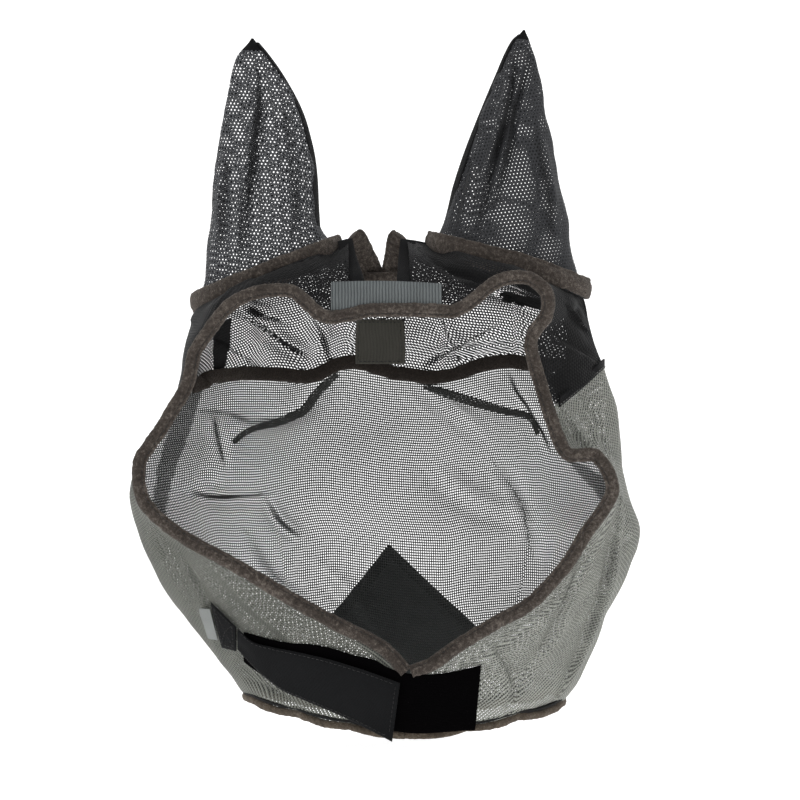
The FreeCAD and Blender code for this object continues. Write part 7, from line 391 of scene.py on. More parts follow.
ANCHOR = [
    [(-148.4, 15.5, -241.5), (-143.95, 21.25, -261.5), (-139.5, 27, -281.5)],
    [(-137.8, 13.15, -251.85), (-135.57, 17.73, -267.15), (-133.35, 22.3, -282.45)],
    [(-127.2, 10.8, -262.2), (-127.2, 14.2, -272.8), (-127.2, 17.6, -283.4)],
]
LABEL_BASE = (-149.2, 19.8, -248.0)
LABEL_ACROSS = (-10.52, 6.51, 0.4)
LABEL_DOWN = (5.0, 9.5, -23.0)
RIM_PATH = [(14.89, -22, -296.43), (0.92, -20, -281.03), (-14.72, -18.5, -270.49), (-35.32, -17, -260.75), (-55.97, -15, -250.22), (-76.65, -13, -238.84), (-97.32, -12, -226.54), (-118.08, -10, -214.29), (-138.8, -9, -202.79), (-157.97, -7, -192.99), (-172.95, -6, -183.94), (-184.63, -5, -175.71), (-196.32, -4, -164.99), (-203.87, -3, -153.43), (-206.57, -1, -138.58), (-205.84, 0, -123.67), (-197.74, 2, -110.43), (-187.12, 4, -94.66), (-177.32, 6, -78.03), (-168.34, 8, -63.04), (-164.25, 9, -48.03), (-161, 10, -33.01), (-153.49, 10, -21.33), (-145.08, 9, -9.69), (-135.84, 8, 1.94), (-124.05, 6, 11.03), (-108.18, 5, 16.81), (-91.49, 4, 18.43), (-78.98, 3, 16.73), (-68.1, 1, 8.34), (-58.93, 0, -0), (-48.14, 0, -4.15), (-32.37, 0, -2.49), (-19.09, 0, 0.83), (-6.64, 0, 1.66), (21.58, 0, 1.66), (50.63, 0, 0.83), (62.27, 1, 4.19), (73.13, 3, 11.74), (84.8, 4, 21.76), (96.49, 5, 27.63), (110.63, 5, 29.29), (122.33, 6, 26.01), (130.71, 7, 17.73), (133.33, 9, 7.82), (131, 12, -3.76), (122.92, 17, -15.31), (119.73, 20, -25.28), (121.51, 22, -37.81), (128.22, 22, -60.46), (133.85, 18, -79.74), (139.35, 12, -97.25), (144.87, 7, -112.18), (151.33, 4, -118.78), (161.16, 2, -118.73), (170.98, 0, -118.69), (176.71, -1, -123.65), (184.09, -2, -136.89), (185.67, -3, -150.12), (178.13, -4, -164.17), (163.07, -6, -184.77), (149.63, -9, -206.1), (133.81, -11, -224.96), (115.54, -13, -242.14), (96.49, -15, -252.69), (75.82, -17, -264.04), (53.55, -19, -277.84), (37.91, -20, -289.25), (18.99, -22, -296.43)]
BROW_PATH = [(-171.31, 101.8, -61.21), (-161.42, 109.05, -57.68), (-155.61, 113.28, -53.27), (-126.12, 132.48, -49.57), (-98.27, 141.44, -50.36), (-71.01, 148.03, -52.08), (-56.85, 150.76, -46.71), (-46.21, 152.8, -41.33), (-35.54, 153.89, -39.53), (-24.85, 154.98, -39.52), (-11.47, 156.35, -43.96), (2.81, 157.8, -48.41), (17.11, 156.59, -50.21), (38.52, 154.78, -52.91), (60.75, 151.26, -49.37), (83.74, 145.76, -41.43), (106.53, 138.44, -38.87), (124.75, 130.8, -40.75), (184.26, 101.8, -44.65)]
HEM_PATH = [(10.79, -6, -348.64), (-5.62, -3.71, -346.72), (-22, -1.16, -344.78), (-37.78, 3.72, -342.6), (-52.57, 11.04, -340.23), (-66.55, 19.8, -337.75), (-80.07, 29.24, -335.23), (-93.78, 38.39, -332.59), (-106.96, 48.25, -329.91), (-118.01, 60.41, -327.36), (-123, 76.01, -325.41), (-122.16, 92.58, -324.01), (-117.55, 108.54, -324.44), (-108.41, 121.92, -328.1), (-96.98, 133.08, -332.89), (-84.75, 143.65, -337), (-71.84, 153.67, -340.37), (-57.89, 162.32, -343.29), (-42.8, 169.04, -345.54), (-26.93, 173.91, -347.18), (-10.55, 176.87, -348.17), (6.09, 177.91, -348.52), (22.78, 177.89, -348.52), (39.41, 176.77, -348.14), (55.77, 173.7, -347.14), (71.61, 168.73, -345.54), (86.66, 161.89, -343.35), (100.56, 153.11, -340.57), (113.43, 142.99, -337.39), (125.64, 132.35, -333.39), (136.99, 121.03, -328.79), (145.88, 107.33, -325.86), (149.89, 91.28, -327.17), (150.08, 74.96, -330.47), (144.9, 59.52, -333.31), (133.79, 47.36, -335.59), (120.48, 37.51, -337.55), (106.6, 28.44, -339.46), (92.88, 19.16, -341.48), (78.71, 10.59, -343.46), (63.75, 3.44, -345.29), (47.86, -1.31, -346.87), (31.42, -3.78, -348.18), (14.93, -6, -349.47)]
LOBE_PATH_L = [(-30.13, 58, 66.84), (-26.77, 61, 63.62), (-22.59, 67, 55.43), (-18.37, 72, 47.14), (-14.12, 76, 38.76), (-11.55, 77, 32.79)]
LOBE_PATH_R = [(9.96, 58, 65.99), (8.25, 61, 63.62), (6.53, 67, 55.43), (4.81, 72, 47.14), (3.08, 76, 38.76), (2.22, 77, 32.79)]
CROSS_PATH = [(-20.86, 66, 32.26), (-15.75, 68, 32.36), (-5.48, 70, 32.45), (3.96, 68, 32.36), (12.53, 64, 32.16)]
FACE_CREASES = [
    ([(-45.42, 159.8, -49.82), (-63.38, 163.03, -65.88), (-73.44, 168.84, -80.21), (-87.85, 170.47, -88.3), (-104.8, 168.41, -94.56), (-122.42, 163.1, -98.98), (-138.6, 164.37, -110.63)], -3.5, 9, 'ridge'),
    ([(-167, 127.49, -82.72), (-143.44, 143.41, -84.57), (-124.86, 158.98, -90), (-104.66, 165.61, -88.26), (-87.85, 170.47, -88.3)], -2.5, 5, 'ridge'),
    ([(-154.7, 139.79, -89.86), (-151.28, 153.91, -108.67), (-147.71, 166.58, -129.48)], 3, 7, 'fold'),
    ([(-176.32, 155.12, -155.04), (-153.37, 170.64, -160.09), (-111.36, 190.67, -158.14)], -3.5, 8, 'fold'),
    ([(-111.38, 191.05, -162.69), (-98.03, 196.02, -183.75), (-81.9, 201.21, -196.74)], -3.5, 8, 'fold'),
    ([(30.55, 164.56, -60.51), (55.66, 166.97, -68.56), (81.58, 164.97, -76.62), (103.87, 162.81, -82.88), (127.72, 157.09, -90.88), (132.29, 159.24, -102.51)], -3.2, 9, 'ridge'),
    ([(106.68, 145.16, -49.97), (113.17, 151.21, -64.14), (123.96, 153.32, -80.16), (135.69, 156.1, -98.9), (141.93, 156.02, -114.95)], -3, 5, 'fold'),
    ([(32.35, 165.83, -62.29), (54.9, 173.93, -82.03), (80.21, 178.82, -102.76)], 2.5, 10, 'fold'),
    ([(37.22, 198.94, -136.64), (73.56, 198.69, -163.89), (118.41, 186.69, -181.49)], 2.5, 14, 'fold'),
    ([(-80.92, 199.32, -218.44), (-44.69, 204.69, -246.11), (-8.2, 197.35, -290.96)], -2.5, 12, 'fold'),
    ([(100.19, 183.04, -136.2), (118.15, 181.08, -163.2), (127.22, 182.14, -203.83)], -3, 12, 'fold'),
    ([(-125.34, 182.2, -199.32), (-103.18, 189.97, -231.43), (-71.72, 196.19, -254.55)], 3, 12, 'fold'),
]
CHEEK_L_CREASES = [
    ([(-199.9, 23.92, -173.77), (-183.51, 28.31, -207.63), (-158.49, 31.03, -249.92)], 3, 6, 'fold'),
    ([(-174.11, 16.93, -202.73), (-153.58, 21.94, -240.77), (-146.46, 39.24, -275.96)], -2.5, 6, 'fold'),
    ([(-147.96, 2.87, -214.33), (-114.6, 1, -247.42), (-72.87, -4.24, -280.12)], 2.2, 8, 'fold'),
    ([(-121.43, 44.75, -307.85), (-99.58, 31.93, -317.4), (-81.48, 22.52, -323.87)], -2.5, 5, 'ridge'),
    ([(-125.01, 34.28, -292.36), (-106.3, 31.55, -308.93), (-73.81, 19.54, -328.55)], 2, 6, 'fold'),
]
CHEEK_R_CREASES = [
    ([(140.83, 22.57, -73.04), (161.38, 28.33, -106.69), (180.92, -0.3, -131.13)], 3.5, 7, 'fold'),
    ([(153.96, 43.14, -56.1), (176.47, 49.47, -98.53), (186.49, 6.76, -139.65)], -3, 7, 'fold'),
    ([(144.12, 21.44, -89.81), (167.72, 0.81, -118.71), (197.13, 33.22, -157.35)], 3, 8, 'fold'),
    ([(167.27, -5.22, -172.39), (154.98, -3.3, -213.92), (130.74, 7.47, -272.95)], -4, 9, 'fold'),
    ([(195.14, 29.68, -165.63), (188.23, 27.56, -207.58), (166.51, 41.05, -276.13), (145.8, 48.15, -319.26)], 4, 8, 'fold'),
    ([(154.86, -5.09, -205.52), (143.32, 8.78, -256.4), (110.27, 15.07, -315.47)], 3, 10, 'fold'),
    ([(84.13, -14.87, -270.83), (101.53, 6.29, -306.14), (97.85, 17.8, -332.52)], -3, 9, 'fold'),
]
CROWN_L_CREASES = [
    ([(-145.05, 20, 10.75), (-124.74, 30, 23.77), (-95.37, 32, 32.29)], -3, 7, 'fold'),
    ([(-74.23, 30, 36.4), (-65.27, 15, 18.91), (-58.2, 3, 1.77)], -3.5, 7, 'fold'),
    ([(-167.61, 60, -4.74), (-158.41, 30, -30.95), (-165.58, 15, -60.5)], 2.5, 7, 'fold'),
]
CROWN_R_CREASES = [
    ([(31.06, 35, 49.32), (51.86, 20, 31.7), (84.94, 8, 21.11)], -3.5, 7, 'fold'),
    ([(132.03, 30, 19.56), (154.42, 50, 3.44), (169.49, 70, -13)], 3, 8, 'fold'),
    ([(133.97, 20, -14.39), (158.67, 50, -30.55), (172.92, 70, -38.73)], -3, 8, 'fold'),
    ([(94.62, 42, 43.79), (110.51, 20, 27.51), (131.6, 8, 16.94)], 3, 7, 'fold'),
]
CROWN_F_CREASES = [
    ([(-118.41, 140, -3.98), (-96.56, 146, -19.78), (-70.08, 150, -37.47)], -6, 8, 'fold'),
    ([(98.49, 140, -3.98), (65.1, 150, -24.13), (32.27, 158, -41.8)], -5, 8, 'fold'),
    ([(-139.87, 130, 15.1), (-113.99, 140, 2.21), (-87.64, 145, -6.49)], 4, 8, 'fold'),
    ([(89.46, 135, 24.13), (115.73, 130, 10.69), (136.9, 115, 1.37)], 5, 9, 'fold'),
    ([(-152, 115, -20.51), (-131.06, 130, -33.38), (-112.33, 142, -48.23)], 3.5, 8, 'fold'),
    ([(-78.18, 130, 15.1), (-61.18, 150, -10.79), (-52.43, 155, -39.17)], 3, 9, 'fold'),
    ([(45.45, 145, 6.82), (54.46, 152, -19.64), (72.21, 150, -39.25)], 3, 9, 'fold'),
]
EAR_L_FOLDS = [
    ([(-111.72, 68.01, 205.45), (-111.44, 63.11, 174.89), (-114.59, 58.36, 152.17), (-117.73, 53.81, 121.05), (-122.52, 48.6, 90.86), (-123.92, 43.91, 52.37)], -5.5, 6, 'fold'),
    ([(-88.46, 65.31, 175.15), (-82.31, 61.6, 132), (-78.51, 52.2, 88.58), (-81.65, 46.11, 62.68)], 3, 8, 'fold'),
    ([(-137.15, 64.04, 140.79), (-140.36, 60.94, 97.78), (-143.1, 51.47, 54.51)], -2.5, 6, 'fold'),
]
EAR_R_FOLDS = [
    ([(107.93, 74.37, 222.59), (101.46, 63.69, 175.82), (95.29, 59.03, 152.24), (85.77, 55.28, 118.63), (76.1, 45.45, 69.42)], -5.5, 5, 'fold'),
    ([(119.96, 74.37, 222.59), (107.42, 63.03, 175.74), (102.93, 58.09, 144.47), (95.08, 53.52, 114.21), (88.07, 48.23, 84.04)], -4.5, 5, 'fold'),
    ([(125.27, 61.14, 157.58), (133.72, 59.54, 114.74), (139.1, 49.59, 62.9)], 3, 8, 'fold'),
    ([(74.34, 71.95, 141.57), (66.2, 56, 105.91), (57.64, 54.15, 75.96)], 3, 6, 'fold'),
]
EAR_BLEND = {"left": ((-104.9, 68, 42), (-106.5, 70, 72)), "right": ((103, 68, 40), (106, 70, 68))}
CROWN_DENSE = {"left": 0.62, "right": 0.62}
DART_IN = 5.2
CROWN_CLOSED = {
    "left": [[(199, 291), (247, 277), (326, 256), (330, 260), (319, 268), (298, 277), (268, 281), (244, 285), (212, 299)],
             [(212, 292), (222, 296), (212, 320), (200, 345), (196, 340), (203, 310)]],
    "right": [[(421, 248), (437, 246), (491, 278), (483, 290), (464, 284), (429, 258)],
              [(539, 285), (555, 284), (582, 299), (584, 341), (600, 362), (598, 382), (560, 398), (548, 381), (566, 363), (568, 309), (550, 304)]],
    "front": [[(216, 324), (231, 319), (229, 345), (224, 372), (215, 380), (213, 350)],
              [(500, 291), (541, 300), (541, 309), (523, 306), (503, 301)]],
    "seam": [[(190, 383), (204, 383), (192, 425), (182, 452), (172, 480), (166, 510), (164, 560), (150, 560), (152, 510), (157, 470), (165, 441), (177, 412)],
             [(568, 460), (586, 466), (604, 478), (640, 500), (640, 515), (604, 506), (594, 490), (582, 478)]],
}
EAR_SEAM = {"left": 1, "right": 1}

# ------------------------------------------------------------------ helpers
rng = np.random.RandomState(7)


def arr(t):
    return np.array(t, dtype=float)


def cr_axis(a, n, axis=0):
    """Catmull-Rom resampling of a table along one axis to n even steps."""
    a = np.moveaxis(a, axis, 0)
    m = a.shape[0]
    lo = 2 * a[0] - a[1]
    hi = 2 * a[-1] - a[-2]
    e = np.concatenate([lo[None], a, hi[None]], 0)
    t = np.linspace(0, m - 1, n)
    i = np.minimum(t.astype(int), m - 2)
    f = (t - i).reshape((-1,) + (1,) * (a.ndim - 1))
    p0, p1, p2, p3 = e[i], e[i + 1], e[i + 2], e[i + 3]
    r = 0.5 * (2 * p1 + (-p0 + p2) * f + (2 * p0 - 5 * p1 + 4 * p2 - p3) * f ** 2 + (-p0 + 3 * p1 - 3 * p2 + p3) * f ** 3)
    return np.moveaxis(r, 0, axis)


def dense(t, nu, nv):
    return cr_axis(cr_axis(arr(t), nu, 0), nv, 1)


def even(path, n, closed=False):
    """Even spacing along a path of points."""
    p = cr_axis(arr(path), max(400, n * 4), 0)
    d = np.r_[0, np.cumsum(np.linalg.norm(np.diff(p, axis=0), axis=1))]
    s = np.linspace(0, d[-1], n)
    return np.stack([np.interp(s, d, p[:, k]) for k in range(3)], 1)


HEAD = np.array([0.0, 85.0, -110.0])


def grid_normals(g, ref=HEAD):
    du = np.gradient(g, axis=0)
    dv = np.gradient(g, axis=1)
    n = np.cross(du, dv)
    n /= np.maximum(np.linalg.norm(n, axis=2, keepdims=True), 1e-9)
    if ref is not None and np.sum(n * (g - ref)) < 0:
        n = -n
    return n


def noise3(p, scale, seed=0.0):
    """Smooth noise from -1 to 1 for an array of points (mm), deterministic."""
    q = p / scale + seed * 17.31
    out = np.zeros(q.shape[:-1])
    flat = q.reshape(-1, 3)
    res = np.empty(len(flat))
    for i, v in enumerate(flat):
        res[i] = mnoise.noise(v)
    return res.reshape(out.shape)


def arc_uv(g, u0=0.5):
    """Lengths in mm along the rows and columns of a sheet, for its weave."""
    dv = np.linalg.norm(np.diff(g, axis=1), axis=2)
    v = np.concatenate([np.zeros((g.shape[0], 1)), np.cumsum(dv, 1)], 1)
    v = v - v[:, [int(u0 * (g.shape[1] - 1))]]
    du = np.linalg.norm(np.diff(g, axis=0), axis=2)
    u = np.concatenate([np.zeros((1, g.shape[1])), np.cumsum(du, 0)], 0)
    return v, u


def front_uv(g):
    """Where points sit in the front view."""
    s = 0.83 * (2100 + g[..., 1]) / 2100
    return 400 + (g[..., 0] - 9.96) / s, 400 - (g[..., 2] + 73.04) / s


def closed_areas(g, polys):
    """1 where the cloth is close-faced inside the outlines, 0 elsewhere."""
    x, y = front_uv(g)
    out = np.zeros(x.shape)
    for poly in polys:
        inside = np.zeros(x.shape, dtype=bool)
        m = len(poly)
        for i in range(m):
            (x0, y0), (x1, y1) = poly[i], poly[(i + 1) % m]
            if y0 == y1:
                continue
            c = ((y0 > y) != (y1 > y)) & (x < (x1 - x0) * (y - y0) / (y1 - y0) + x0)
            inside ^= c
        out = np.maximum(out, inside.astype(float))
    return out


def add_mesh(name, verts_mm, faces, uv=None, mats=(), face_mats=None, smooth=True, fold=None):
    me = bpy.data.meshes.new(name)
    me.from_pydata((np.asarray(verts_mm).reshape(-1, 3) * 0.001).tolist(), [], faces)
    me.update()
    ob = bpy.data.objects.new(name, me)
    bpy.context.scene.collection.objects.link(ob)
    if uv is not None:
        layer = me.uv_layers.new(name="weave")
        idx = np.empty(len(me.loops), dtype=np.int32)
        me.loops.foreach_get("vertex_index", idx)
        layer.data.foreach_set("uv", np.asarray(uv, dtype=np.float32).reshape(-1, 2)[idx].ravel())
        if fold is not None:
            layer = me.uv_layers.new(name="fold")
            ff = np.clip(np.asarray(fold, dtype=np.float32).reshape(-1), 0, 1)
            layer.data.foreach_set("uv", np.stack([ff, 0 * ff], 1)[idx].ravel())
    for m in mats:
        me.materials.append(m)
    if smooth:
        me.polygons.foreach_set("use_smooth", [True] * len(me.polygons))
    if face_mats is not None:
        me.polygons.foreach_set("material_index", face_mats)
    return ob


def grid_faces(nu, nv, base=0, wrap=False):
    f = []
    cols = nv if wrap else nv - 1
    for i in range(nu - 1):
        for j in range(cols):
            k = (j + 1) % nv
            f.append((base + i * nv + j, base + i * nv + k, base + (i + 1) * nv + k, base + (i + 1) * nv + j))
    return f


def panel(name, g, mats, thick=0.5, uv=None, offset=0.0, flip=False, fold=None):
    """One layer of cloth, given a thickness with another finish inside."""
    nu, nv = g.shape[:2]
    faces = grid_faces(nu, nv)
    n = np.cross(np.gradient(g, axis=0), np.gradient(g, axis=1))
    s = np.sum(n * (g - HEAD))
    if (s > 0) != flip:
        faces = [f[::-1] for f in faces]
    if uv is None:
        u, v = arc_uv(g)
        uv = np.stack([u, v], 2)
    ob = add_mesh(name, g, faces, uv, mats, fold=np.zeros((nu, nv)) if fold is None else fold)
    mod = ob.modifiers.new("thickness", "SOLIDIFY")
    mod.thickness = thick * 0.001
    mod.offset = offset
    if len(mats) > 1:
        mod.material_offset = 1
        mod.material_offset_rim = 0
    apply_mods(ob)
    return ob


def apply_mods(ob):
    dg = bpy.context.evaluated_depsgraph_get()
    me = bpy.data.meshes.new_from_object(ob.evaluated_get(dg))
    old = ob.data
    ob.modifiers.clear()
    ob.data = me
    bpy.data.meshes.remove(old)


def frames_along(path, up):
    t = np.gradient(path, axis=0)
    t /= np.maximum(np.linalg.norm(t, axis=1, keepdims=True), 1e-9)
    s = np.cross(t, up)
    s /= np.maximum(np.linalg.norm(s, axis=1, keepdims=True), 1e-9)
    n = np.cross(s, t)
    return t, s, n


def fleece_tube(name, path, up, width, height, mats, n=260, around=22, seam=0.62, rough=0.35, seed=1, closed_ends=True, seam_side=1, taper=None):
    """Folded fleece binding: a flat oval roll with a stitched groove along it."""
    p = even(path, n)
    upv = np.broadcast_to(arr(up), p.shape) if np.ndim(up) == 1 else cr_axis(arr(up), n)
    t, s, nn = frames_along(p, upv)
    a = np.linspace(0, 2 * math.pi, around, endpoint=False)
    ca, sa = np.cos(a), np.sin(a)
    # rounded oval with a groove on the two wide faces
    prof_s = np.sign(ca) * np.abs(ca) ** 0.8 * width / 2
    prof_n = np.sign(sa) * np.abs(sa) ** 0.85 * height / 2
    x = prof_s / (width / 2) * seam_side
    groove = 1 - 0.42 * np.exp(-((x + seam) / 0.13) ** 2)
    prof_n = prof_n * groove * (1 + 0.06 * np.cos(3 * x))
    w = np.ones(n) if taper is None else np.interp(np.linspace(0, 1, n), *taper)
    ring = p[:, None, :] + s[:, None, :] * (prof_s[None, :, None] * w[:, None, None]) + nn[:, None, :] * (prof_n[None, :, None] * w[:, None, None])
    c = ring - p[:, None, :]
    c /= np.maximum(np.linalg.norm(c, axis=2, keepdims=True), 1e-9)
    d = noise3(ring, 9.0, seed) * 0.55 + noise3(ring, 3.2, seed + 3) * rough + noise3(ring, 1.5, seed + 5) * rough * 0.55
    ring = ring + c * d[:, :, None]
    verts = ring.reshape(-1, 3)
    faces = grid_faces(n, around, wrap=True)
    L = np.r_[0, np.cumsum(np.linalg.norm(np.diff(p, axis=0), axis=1))]
    uv = np.stack([np.broadcast_to((a / (2 * math.pi) * (width * 2))[None, :], (n, around)), np.broadcast_to(L[:, None], (n, around))], 2)
    if closed_ends:
        faces.append(tuple(range(around))[::-1])
        faces.append(tuple((n - 1) * around + k for k in range(around)))
    return add_mesh(name, verts, faces, uv, mats)


def ribbon_solid(name, g, thick, mats, side=1.0, soft_edge=True, uvs=None):
    """A band of cloth with real thickness and rounded edges."""
    nu, nv = g.shape[:2]
    n = grid_normals(g)
    x = np.abs(np.linspace(-1, 1, nv))
    prof = (1 - x ** 8) ** 0.5 if soft_edge else np.ones(nv)
    h = np.maximum(prof, 0.12)[None, :, None] * thick / 2
    top = g + n * h
    bot = g - n * h
    verts = np.concatenate([top.reshape(-1, 3), bot.reshape(-1, 3)])
    N = nu * nv
    f = grid_faces(nu, nv)
    faces = [q for q in f] + [tuple(v + N for v in q[::-1]) for q in f]
    for i in range(nu - 1):
        a, b = i * nv, (i + 1) * nv
        faces.append((a, b, b + N, a + N))
        a, b = i * nv + nv - 1, (i + 1) * nv + nv - 1
        faces.append((b, a, a + N, b + N))
    for j in range(nv - 1):
        a, b = j, j + 1
        faces.append((b, a, a + N, b + N))
        a, b = (nu - 1) * nv + j, (nu - 1) * nv + j + 1
        faces.append((a, b, b + N, a + N))
    u, v = arc_uv(g)
    uv = np.stack([u, v], 2).reshape(-1, 2)
    uv = np.concatenate([uv, uv])
    ob = add_mesh(name, verts, faces, uv, mats)
    bm = bmesh.new()
    bm.from_mesh(ob.data)
    bmesh.ops.recalc_face_normals(bm, faces=bm.faces)
    bm.to_mesh(ob.data)
    bm.free()
    return ob


def stitches(name, path, up, length=3.0, gap=1.6, r=0.32, mats=(), lift=0.25):
    """Thread stitches lying along a path."""
    p = even(path, 600)
    d = np.r_[0, np.cumsum(np.linalg.norm(np.diff(p, axis=0), axis=1))]
    upv = arr(up) / np.linalg.norm(up)
    verts, faces = [], []
    s = 0.5
    around, along = 6, 5
    while s + length < d[-1]:
        q = np.stack([np.interp(np.linspace(s, s + length, along), d, p[:, k]) for k in range(3)], 1)
        t, sd, nn = frames_along(q, np.broadcast_to(upv, q.shape))
        k = np.sin(np.linspace(0, math.pi, along))
        q = q + nn * (lift * k)[:, None]
        rr = r * (0.45 + 0.55 * k)
        base = len(verts)
        for i in range(along):
            for a in range(around):
                th = 2 * math.pi * a / around
                verts.append(q[i] + sd[i] * math.cos(th) * rr[i] + nn[i] * math.sin(th) * rr[i])
        faces += [tuple(base + v for v in f) for f in grid_faces(along, around, wrap=True)]
        faces.append(tuple(base + k2 for k2 in range(around))[::-1])
        faces.append(tuple(base + (along - 1) * around + k2 for k2 in range(around)))
        s += length + gap
    return add_mesh(name, np.array(verts), faces, None, mats)


def near_path(P, path):
    """Distance to a path and signed side (in X and Z), and place along it 0..1."""
    path = even(path, 60)
    best = np.full(P.shape[:-1], 1e9)
    side = np.zeros(P.shape[:-1])
    along = np.zeros(P.shape[:-1])
    for k in range(len(path) - 1):
        a, b = path[k], path[k + 1]
        ab = b - a
        t = np.clip(np.sum((P - a) * ab, -1) / np.dot(ab, ab), 0, 1)
        c = a + t[..., None] * ab
        dv = P - c
        d = np.linalg.norm(dv, axis=-1)
        sg = np.sign(ab[0] * dv[..., 2] - ab[2] * dv[..., 0])
        m = d < best
        best = np.where(m, d, best)
        side = np.where(m, sg, side)
        along = np.where(m, (k + t) / (len(path) - 1), along)
    return best, side, along


def creases(g, n, items):
    """Press folds into a sheet: (path, depth mm, width mm, kind)."""
    off = np.zeros(g.shape[:2])
    creases.dark = np.zeros(g.shape[:2])
    for path, amp, w, kind in items:
        d, side, t = near_path(g, path)
        fade = np.sin(np.clip(t, 0.0, 1.0) * math.pi * 0.94 + 0.09) ** 0.6
        # painted shade: a narrow crease also gets a dark line in creases.dark, which darkens the thread colour and
        # closes the holes along it
        if w < 10:
            creases.dark = np.maximum(creases.dark, min(1.0, abs(amp) / 4.0) * creases.ink * np.exp(-(d / creases.line) ** 2) * fade)
        if kind == "ridge":
            off += amp * np.exp(-(d / w) ** 2) * fade
        elif kind == "step":
            off += amp * np.tanh(side * d / (w * 0.45)) * np.exp(-(d / (w * 2.2)) ** 2) * fade
        elif kind == "fold":
            x = side * d / w
            off += amp * (np.exp(-(x - 0.5) ** 2 * 3) - 0.8 * np.exp(-(x + 0.6) ** 2 * 3)) * fade
    return g + n * off[..., None]


# strength and width of the painted crease shade line
creases.ink = 0.85
creases.line = 2.3


# ---------------------------------------------------------------- materials
class Nodes:
    def __init__(self, name):
        self.mat = bpy.data.materials.new(name)
        self.mat.use_nodes = True
        self.nt = self.mat.node_tree
        self.nt.nodes.clear()
        self.out = self.nt.nodes.new("ShaderNodeOutputMaterial")

    def node(self, kind, **kw):
        n = self.nt.nodes.new(kind)
        for k, v in kw.items():
            setattr(n, k, v)
        return n

    def link(self, a, b):
        self.nt.links.new(a, b)

    def math(self, op, a, b=None, c=None, clamp=False):
        n = self.node("ShaderNodeMath", operation=op, use_clamp=clamp)
        for i, x in enumerate((a, b, c)):
            if x is None:
                continue
            if isinstance(x, (int, float)):
                n.inputs[i].default_value = x
            else:
                self.link(x, n.inputs[i])
        return n.outputs[0]

    def noise(self, vec, scale, detail=3.0, rough=0.6):
        n = self.node("ShaderNodeTexNoise")
        n.inputs["Scale"].default_value = scale
        n.inputs["Detail"].default_value = detail
        n.inputs["Roughness"].default_value = rough
        self.link(vec, n.inputs["Vector"])
        return n.outputs["Fac"]

    def ramp(self, fac, stops):
        r = self.node("ShaderNodeValToRGB")
        els = r.color_ramp.elements
        while len(els) < len(stops):
            els.new(0.5)
        for e, (pos, col) in zip(els, stops):
            e.position = pos
            e.color = (*col, 1.0)
        self.link(fac, r.inputs["Fac"])
        return r.outputs["Color"]

    def bsdf(self, rough=0.8, sheen=0.0, sheen_rough=0.5, spec=0.3, tint=(1, 1, 1)):
        b = self.node("ShaderNodeBsdfPrincipled")
        b.inputs["Roughness"].default_value = rough
        b.inputs["Sheen Weight"].default_value = sheen
        b.inputs["Sheen Roughness"].default_value = sheen_rough
        b.inputs["Sheen Tint"].default_value = (*tint, 1)
        b.inputs["Specular IOR Level"].default_value = spec
        return b

    def bump(self, height, dist, strength=1.0, normal=None):
        n = self.node("ShaderNodeBump")
        n.inputs["Distance"].default_value = dist
        n.inputs["Strength"].default_value = strength
        self.link(height, n.inputs["Height"])
        if normal is not None:
            self.link(normal, n.inputs["Normal"])
        return n.outputs["Normal"]

    def uv(self):
        u = self.node("ShaderNodeUVMap")
        u.uv_map = "weave"
        s = self.node("ShaderNodeSeparateXYZ")
        self.link(u.outputs["UV"], s.inputs[0])
        return u.outputs["UV"], s.outputs[0], s.outputs[1]

    def fold(self):
        u = self.node("ShaderNodeUVMap")
        u.uv_map = "fold"
        s = self.node("ShaderNodeSeparateXYZ")
        self.link(u.outputs["UV"], s.inputs[0])
        return s.outputs[0]

    def obj(self):
        return self.node("ShaderNodeTexCoord").outputs["Object"]


def lin(c):
    return tuple(((x / 255) / 12.92 if x <= 10 else (((x / 255) + 0.055) / 1.055) ** 2.4) for x in c)


